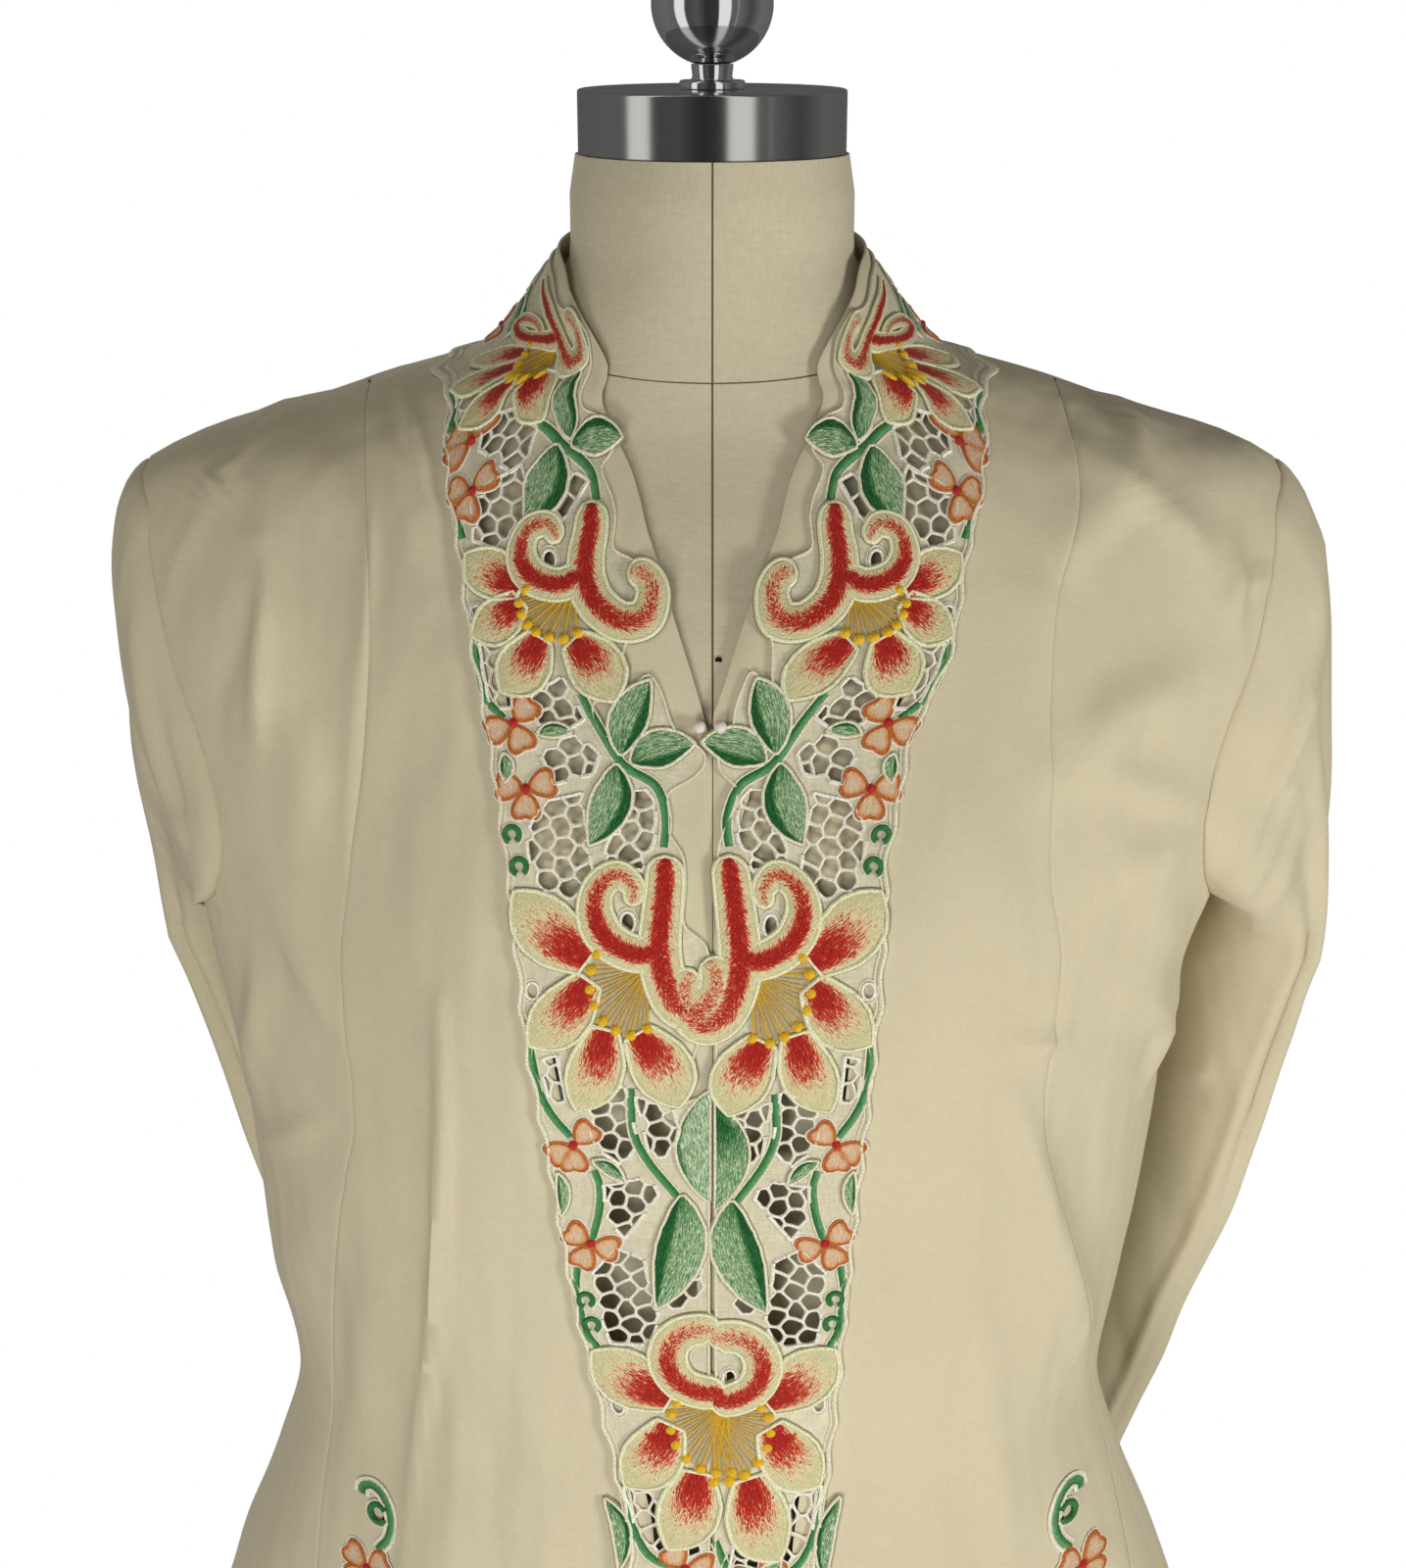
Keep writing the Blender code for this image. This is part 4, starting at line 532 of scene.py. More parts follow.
BLOSSOMS = (
    # centre, then the way to each petal's outer end
    ((200, 10.8), ((194, 2.5), (204, 2.5), (196, 14))), ((219, 11.2), ((215, 3), (225, 7), (217, 17))),
    ((302, 11.2), ((304, 2.5), (309, 13), (298, 16))), ((325, 12), ((323, 4), (332, 11), (324, 19))),
    ((452, 11.4), ((455, 4), (462, 10), (447, 18))), ((491, 11.4), ((485, 4.5), (494, 18), (499, 6))),
    ((622, 21), ((615, 16), (629, 18), (622, 28))), ((652, 14), ((645, 9), (660, 12), (653, 22))),
    ((688, 12), ((681, 6), (696, 10), (686, 20))), ((72, 12), ((66, 6), (80, 8), (72, 20))),
    ((132, 18), ((126, 12), (140, 14), (130, 26))), ((30, 14), ((24, 8), (38, 10), (30, 22))),
)
# Centres of the small open rings.
CURLS = ((513, 5.6), (523, 5.8), (340, 5), (351, 6), (665, 5.5), (674, 6.5))
# The hem sprig, in millimetres across and up from its flower's centre: the stem's path, two leaves
# (base, tip, half width, side of the dark edge), the curl's centre and the petals' outer ends.
SPRIG_STEM = ((4, 8), (8, 13), (9.6, 18.5), (9, 24), (6, 29), (2, 31), (-1.2, 29.4), (-1.8, 26.6))
SPRIG_LEAVES = (((0, 0), (11, -9), 3.2, 1), ((0, 0), (-3, -20), 3.6, -1))
SPRIG_CURL = (4.4, 21.5)
SPRIG_PETALS = ((-9, 6), (10, 6), (-8, -8))

# Creases seen on the cloth, on each face: half width, height outwards, then points across and up.
CREASES = {
    "front": (
        (2.8, 2.0, ((-138, 982), (-150, 970), (-163, 958), (-179, 940), (-190, 918), (-195, 902))),
        (7.0, -1.2, ((-160, 944), (-170, 930), (-181, 905))),
        (4.2, -1.8, ((-161, 920), (-163, 908), (-167, 890), (-176, 866))),
        (3.4, 3.5, ((-157, 919), (-156, 886), (-157, 862))),
        (6.8, 3.0, ((-117, 968), (-110, 945), (-96, 915))),
        (5.1, 4.1, ((-162, 772), (-168, 738), (-171, 715))),
        (6.8, -1.5, ((-160, 740), (-145, 727), (-128, 715))),
        (3.4, 3.5, ((-139, 720), (-149, 712), (-167, 696))),
        (3.1, 4.3, ((-94, 776), (-94, 735), (-95, 712), (-97, 680), (-100, 647), (-104, 614),
                    (-110, 571), (-114, 540))),
        (5.1, -1.5, ((-103, 776), (-104, 735), (-106, 680), (-112, 640), (-120, 580))),
        (7.6, 2.7, ((-128, 700), (-122, 660), (-128, 610), (-138, 560))),
        (4.2, 3.8, ((130, 961), (149, 945), (166, 932), (172, 925))),
        (6.0, -1.5, ((125, 917), (142, 930), (162, 944))),
        (3.4, 3.2, ((150, 970), (150, 958))),
        (3.4, 3.5, ((184, 927), (185, 912), (184, 897))),
        (2.9, 3.0, ((186, 912), (198, 911))),
        (7.6, -1.5, ((135, 847), (150, 836), (168, 822))),
        (6.0, 3.2, ((126, 852), (146, 846), (168, 836))),
        (3.4, 3.2, ((111, 752), (122, 755))),
        (3.4, 4.6, ((164, 752), (168, 741), (158, 720))),
        (5.1, -1.8, ((172, 760), (176, 742), (168, 722))),
        (5.1, 4.1, ((106, 736), (116, 705), (126, 674), (137, 637), (140, 600))),
        (6.8, -1.4, ((120, 736), (132, 700), (143, 660))),
        (8.5, 2.7, ((100, 640), (104, 590), (112, 540))),
        (11.0, 6.5, ((121, 853), (144, 872), (172, 881))),
        (10.0, 5.0, ((140, 811), (158, 817), (168, 832))),
        (9.0, 3.5, ((-157, 926), (-155, 905), (-159, 870), (-161, 830))),
        (2.6, 1.3, ((-116, 967), (-120, 910), (-124, 875), (-127, 821))),
        (4.0, 2.2, ((-110, 981), (-104, 961), (-94, 938))),
        (7.0, 4.0, ((-159, 809), (-140, 773), (-130, 754))),
        (3.0, 1.6, ((99, 756), (112, 757), (122, 756))),
        (12.0, 4.0, ((148, 953), (131, 932), (116, 915))),
        (10.0, 4.0, ((155, 812), (162, 784), (154, 763))),
        (12.0, 4.0, ((-150, 875), (-142, 850), (-146, 815))),
    ),
    "back": (
        (5.1, 3.8, ((150, 965), (120, 940), (80, 925))),
        (5.1, 3.8, ((-150, 962), (-118, 938), (-84, 924))),
        (4.2, 4.1, ((176, 900), (172, 870), (160, 835))),
        (4.2, 4.1, ((-178, 898), (-172, 866), (-162, 836))),
        (5.1, 3.8, ((-70, 880), (-62, 800), (-66, 720), (-60, 640))),
        (5.1, 3.8, ((64, 870), (58, 790), (62, 700), (56, 630))),
        (6.0, 3.5, ((-140, 700), (-100, 676), (-60, 668))),
        (6.0, 3.5, ((138, 706), (98, 680), (58, 672))),
        (6.0, 3.2, ((-120, 640), (-80, 618), (-30, 612))),
        (6.0, 3.2, ((118, 644), (78, 622), (26, 614))),
    ),
}
# Each sleeve's creases as seen from the front, in the same way.
SLEEVE_CREASES = {
    "right": (
        (3.2, 2.4, ((-208, 892), (-205, 862), (-200, 834), (-195, 816))),
        (2.8, -2.0, ((-202, 880), (-198, 850), (-193, 828))),
    ),
    "left": (
        (4.4, 3.0, ((211, 832), (201, 808), (190, 785), (184, 764))),
        (4.4, 2.8, ((216, 818), (209, 795), (198, 769), (184, 747))),
        (5.0, 2.6, ((219, 920), (219, 890), (216, 861), (205, 838))),
        (3.5, 3.0, ((214, 868), (198, 826), (188, 800), (180, 770))),
        (3.8, 2.9, ((180, 700), (192, 700))),
    ),
}
# The pinched fold under the arm: across, in and up, how far round it the cloth is relaxed,
# how far from the seam it starts to be, and how many times it is.
PINCH = (0.190, 0.0, 0.787)
PINCH_REACH = 0.020
PINCH_SEAM = 0.006
PINCH_TURNS = 50
# Long waves of each sleeve, in the same way as its folds.
SLEEVE_WAVES = (
    (0.05, 0.88, 0.50, 0.030, 2.0, 0.06),
    (0.20, 0.84, 0.46, 0.028, 2.2, -0.05),
    (0.34, 0.80, 0.45, 0.030, 1.8, 0.04),
    (0.60, 0.86, 0.48, 0.034, 2.4, 0.05),
    (0.78, 0.84, 0.46, 0.030, 2.2, -0.06),
    (0.90, 0.70, 0.43, 0.030, 1.6, 0.03),
)

SECTION = np.array(SECTIONS)
EASE = np.array(EASES)


def bell(off, reach):
    """1 in the middle, and nearly nothing at twice the reach."""
    return np.exp(-((off / reach) ** 2))


def curve(start, leave, end, arrive, t):
    """A place on a cubic curve from start to end, which leaves and arrives as given."""
    return (
        start * (1 + 2 * t) * (1 - t) ** 2
        + leave * t * (1 - t) ** 2
        + end * t * t * (3 - 2 * t)
        + arrive * t * t * (t - 1)
    )


def smooth(xs, ys, x):
    """Values on a smooth curve through the points, without overshoot."""
    xs = np.asarray(xs, float)
    ys = np.asarray(ys, float)
    x = np.clip(x, xs[0], xs[-1])
    rise = np.diff(ys) / np.diff(xs)
    same_way = rise[:-1] * rise[1:] > 0
    slope = np.empty(len(xs))
    slope[0] = rise[0]
    slope[-1] = rise[-1]
    total = np.where(same_way, rise[:-1] + rise[1:], 1.0)
    slope[1:-1] = np.where(same_way, 2 * rise[:-1] * rise[1:] / total, 0.0)
    k = np.clip(np.searchsorted(xs, x, side="right") - 1, 0, len(xs) - 2)
    span = xs[k + 1] - xs[k]
    return curve(ys[k], slope[k] * span, ys[k + 1], slope[k + 1] * span, (x - xs[k]) / span)


def columns_at(table, key):
    """Smooth values of a table's other columns, at a value of its first one."""
    return [smooth(table[:, 0], column, key) for column in table[:, 1:].T]


def through(rows, places):
    """Points on a smooth path through the rows, at fractional row numbers."""
    last = len(rows) - 1
    k = np.clip(np.floor(places).astype(int), 0, last - 1)
    u = (places - k)[..., None]
    start = rows[k]
    end = rows[k + 1]
    before = np.where((k > 0)[..., None], rows[np.maximum(k - 1, 0)], 2 * start - end)
    after = np.where((k < last - 1)[..., None], rows[np.minimum(k + 2, last)], 2 * end - start)
    return 0.5 * (
        2 * start
        + (end - before) * u
        + (2 * before - 5 * start + 4 * end - after) * u**2
        + (3 * start - before - 3 * end + after) * u**3
    )


def length_so_far(line):
    """How long a path is up to each of its points."""
    return np.concatenate([[0.0], np.cumsum(np.linalg.norm(np.diff(line, axis=0), axis=1))])


def nearest_on(path, x, height):
    """How far each place lies from a path, and the share of the path's length where it is nearest."""
    done = length_so_far(path)
    done /= done[-1]
    nearest = np.full(x.shape, np.inf)
    place = np.zeros(x.shape)
    for start, end, first, last in zip(path, path[1:], done, done[1:]):
        along = end - start
        share = ((x - start[0]) * along[0] + (height - start[1]) * along[1]) / (along @ along)
        share = np.clip(share, 0, 1)
        far = np.hypot(x - start[0] - share * along[0], height - start[1] - share * along[1])
        place = np.where(far < nearest, first + share * (last - first), place)
        nearest = np.minimum(nearest, far)
    return nearest, place


def ridges(table, x, height, facing, past_side, end_share, end_power):
    """How far a table's folds stand out, in metres, at places seen from the front or the back."""
    rise = np.zeros_like(x)
    for face, rows in table.items():
        here = facing < past_side if face == "front" else facing > -past_side
        for half_width, out, line in rows:
            far, place = nearest_on(np.array(line) * MM, x, height)
            fade = np.sin(math.pi * np.clip(place, end_share, 1 - end_share)) ** end_power
            rise += np.where(here, out * MM * fade * bell(far, half_width * MM), 0)
    return rise


def stacked(*values):
    """Values side by side in a new last place, spread to one shape."""
    return np.stack(np.broadcast_arrays(*values), -1)


def raised(spots, level):
    """Flat places with their heights."""
    return np.concatenate([spots, level[..., None]], -1)


def whole_turn(count):
    """Evenly spaced angles, once round."""
    return np.linspace(0, 2 * math.pi, count + 1)[:-1]


def section(height):
    """Half width, centre, front depth and back depth of the blouse at a height."""
    return columns_at(SECTION, height)


def bust(x, height):
    """How far the bust stands out over the sections."""
    reach = np.where(height > BUST_HEIGHT, BUST_ABOVE, BUST_BELOW)
    across = ((np.abs(x) - BUST_APART) / BUST_WIDE) ** 2
    return BUST_DEPTH * np.exp(-across - ((height - BUST_HEIGHT) / reach) ** 2)


def folds(x, height, facing):
    """The cloth's largest folds."""
    return ridges(FOLDS, x, height, facing, 0, 0.08, 0.7)


def creases(x, height, facing):
    """The cloth's fine creases."""
    return ridges(CREASES, x, height, facing, 0.15, 0.06, 0.6)


def flutes(angle, height):
    """Soft waves that open towards the hem, away from the lace fronts."""
    fall = np.clip((FLUTE_TOP - height) / (FLUTE_TOP - HEM_FRONT), 0, 1)
    off_centre = 1 - np.exp(-(((np.cos(angle)) / 0.45) ** 2) * np.where(np.sin(angle) < 0, 1, 9))
    wave = 0.5 + 0.5 * np.sin(FLUTE_COUNT * angle + 0.8 * np.sin(3 * angle))
    return FLUTE_RISE * fall**1.4 * wave * off_centre


def skin(angle, height):
    """Points of the cloth's inner face."""
    angle, height = np.broadcast_arrays(np.asarray(angle, float), np.asarray(height, float))
    half_width, centre, front, back = section(height)
    facing = np.sin(angle)
    sideways = np.cos(angle)
    x = centre + half_width * sideways
    depth = np.where(facing > 0, back, front)
    y = depth * facing + bust(x, height) * np.minimum(facing, 0)
    out = folds(x, height, facing) + flutes(angle, height)
    length = np.hypot(sideways / half_width, facing / depth)
    x = x + out * sideways / half_width / length
    y = y + out * facing / depth / length
    return stacked(x, y, height)


def lifted(angle, height, lift):
    """Points of the cloth moved out by lift along the surface normal."""
    round_it = skin(angle + TURN_STEP, height) - skin(angle - TURN_STEP, height)
    up_it = skin(angle, height + RISE_STEP) - skin(angle, height - RISE_STEP)
    normal = np.cross(round_it, up_it)
    normal /= np.linalg.norm(normal, axis=-1, keepdims=True)
    return skin(angle, height) + normal * np.asarray(lift)[..., None]


def front_angle(x, height):
    """Angle of the front's point that lies x across."""
    half_width, centre = section(height)[:2]
    return -np.arccos(np.clip((x - centre) / half_width, -1, 1))


def angle_near_side(height, side, gap, face):
    """Angle of a point that lies gap in front of or behind the side line."""
    depth = section(height)[2] if face == "front" else section(height)[3]
    small = math.asin(min(1.0, gap / float(depth)))
    if side == "left":
        return -small if face == "front" else small
    return -math.pi + small if face == "front" else math.pi - small


def hem_height(angle):
    """Height of the hem: lowest at the front edges, higher at the sides and the back."""
    off_front = np.clip(1 + np.sin(angle), 0, 1)
    return HEM_FRONT + (HEM_SIDE - HEM_FRONT) * off_front**0.8


class Strip:
    """The lace border's flat strip, laid on the blouse: along from the back neck, in from its edge.

    The left half takes the right half's stations, so that a motif has one place on both.
    """

    def __init__(self, side, stations=None):
        sign = SIGN[side]
        rows = []
        for outer_angle, outer_height, inner_angle, inner_height in BACK_NECK_GUIDES:
            angles = [math.radians(a) for a in (outer_angle, inner_angle)]
            if sign < 0:
                angles = [math.pi - a for a in angles]
            rows.append((angles[0], outer_height, angles[1], inner_height))
        for outer_x, outer_z, inner_x, inner_z in FRONT_GUIDES[side]:
            outer = float(front_angle(sign * outer_x * MM, outer_z * MM))
            inner = float(front_angle(sign * inner_x * MM, inner_z * MM))
            turn = 0.0 if sign > 0 else 2 * math.pi
            rows.append((outer + turn, outer_z * MM, inner + turn, inner_z * MM))
        places = np.linspace(0, len(rows) - 1, GUIDE_PLACES)
        self.side = side
        self.sign = sign
        self.guide = through(np.array(rows), places)
        self.guide[:, (1, 3)] = np.minimum(self.guide[:, (1, 3)], GUIDE_TOP)
        lines = [self.between(self.guide, share) for share in (0, 0.25, 0.5, 0.75, 1.0)]
        lines = [skin(angle, height) for angle, height in lines]
        middle = 0.6 * lines[0] + 0.4 * lines[2]
        along = length_so_far(middle) / MM
        along += ANCHOR - np.interp(len(BACK_NECK_GUIDES) + ANCHOR_ROW, places, along)
        self.along = along if stations is None else stations
        self.start = float(self.along[0])
        widths = [np.linalg.norm(b - a, axis=1) for a, b in zip(lines, lines[1:])]
        self.width = sum(widths) / MM
        self.end = float(self.along[-1])

    @staticmethod
    def between(guide, share):
        angle = guide[..., 0] * (1 - share) + guide[..., 2] * share
        height = guide[..., 1] * (1 - share) + guide[..., 3] * share
        return angle, height

    def place(self, along, across):
        """Angle and height of a place on the strip, given in millimetres."""
        along = np.asarray(along, float)
        guide = np.stack([np.interp(along, self.along, self.guide[:, j]) for j in range(4)], -1)
        share = np.asarray(across, float) / np.interp(along, self.along, self.width)
        return self.between(guide, share)

    def on(self, along, across, lift):
        angle, height = self.place(along, across)
        return lifted(angle, height, lift)

    def garment_edge(self, along):
        """How far in from the lace's outer edge the neck edge or the centre front lies."""
        trial = np.linspace(0, WIDEST_STRIP, 361)
        edge = []
        for place in np.atleast_1d(along):
            angle, height = self.place(np.full_like(trial, place), trial)
            x = skin(angle, height)[:, 0] * self.sign
            front = np.sin(angle) < 0
            over = np.flatnonzero(front & (x < SEAM_GAP / 2))
            limit = np.interp(place, self.along, self.width)
            if len(over) and over[0] > 0:
                k = over[0]
                limit = min(limit, np.interp(SEAM_GAP / 2, (x[k], x[k - 1]), (trial[k], trial[k - 1])))
            edge.append(limit)
        return np.array(edge)

    def lace_edge(self, spacing):
        """The lace's inner edge from the back neck to the hem, as flat points."""
        rows = np.array(NECK_EDGE + CENTRE_EDGE[self.side], float)
        rows[0, 0] = self.start + SEAM_GAP / 2 / MM
        rows[-1, 0] = self.end - 1.0
        edge = [rows[:1]]
        for start, end in zip(rows, rows[1:]):
            count = max(1, round(float(np.hypot(*(end - start))) / spacing))
            share = np.linspace(0, 1, count + 1)[1:, None]
            edge.append(start + (end - start) * share)
        edge = np.concatenate(edge)
        edge[:, 1] = self.garment_edge(edge[:, 0]) - edge[:, 1]
        return edge

    def under_lace(self, along):
        """How far in the band reaches: a little under the lace's inner edge."""
        edge = self.lace_edge(2.0)
        near = np.abs(edge[:, 0][None, :] - np.atleast_1d(along)[:, None]) < BAND_REACH
        return np.where(near, edge[:, 1], np.inf).min(axis=1) - BAND_UNDER_LACE / MM


def inside(points, polygon):
    """Which points lie inside a polygon."""
    polygon = np.asarray(polygon)
    ahead = np.roll(polygon, -1, axis=0)
    within = np.zeros(len(points), bool)
    for (x0, y0), (x1, y1) in zip(polygon, ahead):
        spans = (y0 > points[:, 1]) != (y1 > points[:, 1])
        if y0 != y1:
            crossing = x0 + (points[:, 1] - y0) * (x1 - x0) / (y1 - y0)
            within ^= spans & (points[:, 0] < crossing)
    return within


def clipped(polygon, origin, normal):
    """The part of a convex polygon on the side of a line that its normal points away from."""
    kept = []
    for k, point in enumerate(polygon):
        following = polygon[(k + 1) % len(polygon)]
        here = (point - origin) @ normal
        there = (following - origin) @ normal
        if here <= 0:
            kept.append(point)
        if here * there < 0:
            kept.append(point + (following - point) * here / (here - there))
    return kept


def inset(polygon, distance):
    """A convex polygon with each side moved in."""
    centre = np.mean(polygon, axis=0)
    shape = list(polygon)
    for k, point in enumerate(polygon):
        side = polygon[(k + 1) % len(polygon)] - point
        length = np.hypot(*side)
        if length < 1e-6:
            continue
        normal = np.array((side[1], -side[0])) / length
        if (centre - point) @ normal > 0:
            normal = -normal
        shape = clipped(shape, point - normal * distance, normal)
        if len(shape) < 3:
            return []
    return shape


def area(polygon):
    """Area of a flat polygon."""
    p = np.array(polygon)
    q = np.roll(p, -1, axis=0)
    return abs(np.sum(p[:, 0] * q[:, 1] - q[:, 0] * p[:, 1])) / 2


def distance_to(points, outline):
    """How far each point lies from a closed outline."""
    start = outline[None, :, :]
    side = np.roll(outline, -1, axis=0)[None, :, :] - start
    away = points[:, None, :] - start
    share = np.clip((away * side).sum(-1) / (side * side).sum(-1), 0, 1)
    return np.linalg.norm(away - side * share[..., None], axis=-1).min(axis=1)


def lace_outline(strip):
    """The lace's flat outline: a scalloped outer edge and an inner edge that follows the motifs."""
    inner = strip.lace_edge(INNER_EDGE_STEP)
    outer_along = np.linspace(inner[0, 0], inner[-1, 0], 2 * SCALLOP_COUNT + 1)
    wave = SCALLOP * (np.arange(len(outer_along)) % 2)
    outer = np.stack([outer_along, wave], -1)
    return np.concatenate([outer, inner[::-1]])


def armhole_angle(height, side, face, shift):
    """Angle of the armhole's edge, moved outwards by shift."""
    column = 1 if face == "front" else 2
    x = float(smooth(ARMHOLE_ROWS, [row[column] for row in ARMHOLE], height)) + shift
    half_width, centre = [float(v) for v in section(height)[:2]]
    turn = math.acos(max(-1.0, min(1.0, (SIGN[side] * x - centre) / half_width)))
    return -turn if face == "front" else turn


def princess_angle(height, side, shift):
    """Angle of the princess seam, moved outwards by shift."""
    column = 1 if side == "right" else 2
    x = float(smooth([row[0] for row in PRINCESS_SEAM], [row[column] for row in PRINCESS_SEAM], height))
    return float(front_angle(SIGN[side] * (x + shift), height))


def sleeve_ring(side, row, count):
    """A level ring of the hanging sleeve: a flattened tube, its long axis running in and back."""
    height, outer_left, outer_right, depth_left, depth_right, turn, half_long, half_thin = row
    outer_x = outer_left if side == "left" else outer_right
    depth = depth_left if side == "left" else depth_right
    lean = math.radians(turn)
    reach = math.hypot(half_long * math.cos(lean), half_thin * math.sin(lean))
    around = np.interp(np.arange(count), (0, count / 2, count), (lean, UNDERARM, lean - 2 * math.pi))
    long_part = half_long * np.cos(around)
    thin_part = half_thin * np.sin(around)
    x = outer_x - reach + long_part * math.cos(lean) + thin_part * math.sin(lean)
    y = depth - long_part * math.sin(lean) + thin_part * math.cos(lean)
    return stacked(SIGN[side] * x, y, height)


def grid_normals(grid):
    """Normals of a closed grid of rings, worked out from its neighbours."""
    round_it = np.roll(grid, -1, axis=1) - np.roll(grid, 1, axis=1)
    down_it = np.gradient(grid, axis=0)
    normal = np.cross(round_it, down_it)
    normal /= np.linalg.norm(normal, axis=-1, keepdims=True)
    outward = grid - grid.mean(axis=1, keepdims=True)
    if (normal * outward).sum() < 0:
        normal = -normal
    return normal


def form_section(height):
    """The form's half width, centre, front and back depth: the blouse's, less its ease."""
    drop = FORM_DROP if height > FORM_DROP_ABOVE else 0.0
    half_width, centre, front, back_depth = [float(v) for v in section(min(height + drop, SECTIONS[-1][0]))]
    side_ease, front_ease, back_ease = columns_at(EASE, height)
    half_width -= side_ease
    if height > FORM_CAPPED_ABOVE:
        half_width = (half_width**-FORM_SHARP + FORM_SHOULDER**-FORM_SHARP) ** (-1 / FORM_SHARP)
    return half_width, centre, front - front_ease, back_depth - back_ease


def filled(points, edges, rings):
    """Triangles that fill the first ring, leaving out the other rings."""
    made = geometry.delaunay_2d_cdt(points, edges, [], 0, 1e-7)
    flat = np.array([tuple(p) for p in made[0]])
    triangles = np.array(made[2])
    middle = flat[triangles].mean(axis=1)
    keep = inside(middle, rings[0])
    for hole in rings[1:]:
        keep &= ~inside(middle, hole)
    triangles = triangles[keep]
    used = np.unique(triangles)
    number = np.full(len(flat), -1)
    number[used] = np.arange(len(used))
    return flat[used], number[triangles]


def srgb(red, green, blue):
    """A linear colour from a screen colour of 0 to 255."""
    parts = []
    for value in (red, green, blue):
        value /= 255
        parts.append(value / 12.92 if value <= 0.04045 else ((value + 0.055) / 1.055) ** 2.4)
    return (*parts, 1.0)


class Nodes:
    """A node tree, and short ways to add nodes to it."""

    def __init__(self, tree):
        self.tree = tree

    def node(self, kind, **settings):
        made = self.tree.nodes.new(kind)
        for key, value in settings.items():
            if key in made.inputs:
                made.inputs[key].default_value = value
            else:
                setattr(made, key, value)
        return made

    def link(self, output, target):
        self.tree.links.new(output, target)

    def maths(self, operation, *values):
        made = self.node("ShaderNodeMath", operation=operation)
        for place, value in enumerate(values):
            if isinstance(value, (int, float)):
                made.inputs[place].default_value = value
            else:
                self.link(value, made.inputs[place])
        return made.outputs[0]

    def ramp(self, factor, stops):
        made = self.node("ShaderNodeValToRGB")
        elements = made.color_ramp.elements
        while len(elements) < len(stops):
            elements.new(0.5)
        for element, (place, colour) in zip(elements, stops):
            element.position = place
            element.color = colour
        self.link(factor, made.inputs["Fac"])
        return made.outputs["Color"]


class Finish(Nodes):
    """A material and what cloth and stitches need of it."""

    def __init__(self, name, colour, roughness, metallic=0.0, sheen=0.0):
        self.made = bpy.data.materials.new(name)
        self.made.use_nodes = True
        super().__init__(self.made.node_tree)
        self.shader = self.tree.nodes["Principled BSDF"]
        inputs = {"Base Color": srgb(*colour), "Roughness": roughness, "Metallic": metallic,
                  "Sheen Weight": sheen, "Sheen Roughness": 0.5}
        if metallic == 0:
            inputs["Specular IOR Level"] = 0.25
        for key, value in inputs.items():
            self.shader.inputs[key].default_value = value

    def place(self):
        return self.node("ShaderNodeTexCoord").outputs["Object"]

    def attribute(self, name, output):
        return self.node("ShaderNodeAttribute", attribute_name=name).outputs[output]

    def noise(self, vector, stretch, scale, detail):
        """Noise on a stretched vector."""
        mapping = self.node("ShaderNodeMapping", Scale=stretch)
        self.link(vector, mapping.inputs["Vector"])
        made = self.node("ShaderNodeTexNoise", Scale=scale, Detail=detail)
        self.link(mapping.outputs["Vector"], made.inputs["Vector"])
        return made.outputs["Fac"]

    def bump(self, height, strength, distance, over=None):
        """Relief in metres, on top of another relief if one is given."""
        made = self.node("ShaderNodeBump", Strength=strength, Distance=distance)
        self.link(height, made.inputs["Height"])
        if over is not None:
            self.link(over, made.inputs["Normal"])
        self.link(made.outputs["Normal"], self.shader.inputs["Normal"])
        return made.outputs["Normal"]

    def colour_from(self, output):
        self.link(output, self.shader.inputs["Base Color"])


def woven(name, middle, contrast, yarn, grain_size, wrinkles=0.0):
    """A plain weave seen from afar: fine uneven yarns both ways, a little cloudy, creased by wear."""
    finish = Finish(name, middle, 0.85, sheen=0.1)
    place = finish.place()
    level = finish.noise(place, (0.15, 0.15, 1.0), yarn, 2.0)
    upright = finish.noise(place, (1.0, 1.0, 0.15), yarn, 2.0)
    cloudy = finish.noise(place, (1, 1, 1), 16.0, 3.0)
    mixed = finish.maths("MULTIPLY", level, 0.35)
    for part, share in ((upright, 0.35), (cloudy, 0.30)):
        mixed = finish.maths("ADD", mixed, finish.maths("MULTIPLY", part, share))
    shades = ((0.36, 1 - contrast), (0.5, 1), (0.64, 1 + contrast))
    stops = [(at, (*[value * shade for value in srgb(*middle)[:3]], 1.0)) for at, shade in shades]
    finish.colour_from(finish.ramp(mixed, stops))
    grain = finish.noise(place, (1, 1, 1), grain_size, 1.0)
    under = None
    if wrinkles:
        under = finish.bump(finish.noise(place, (1.0, 1.0, 0.24), 30.0, 2.0), wrinkles, 0.010)
    finish.bump(finish.maths("ADD", grain, level), 0.2, 0.0002, under)
    return finish.made


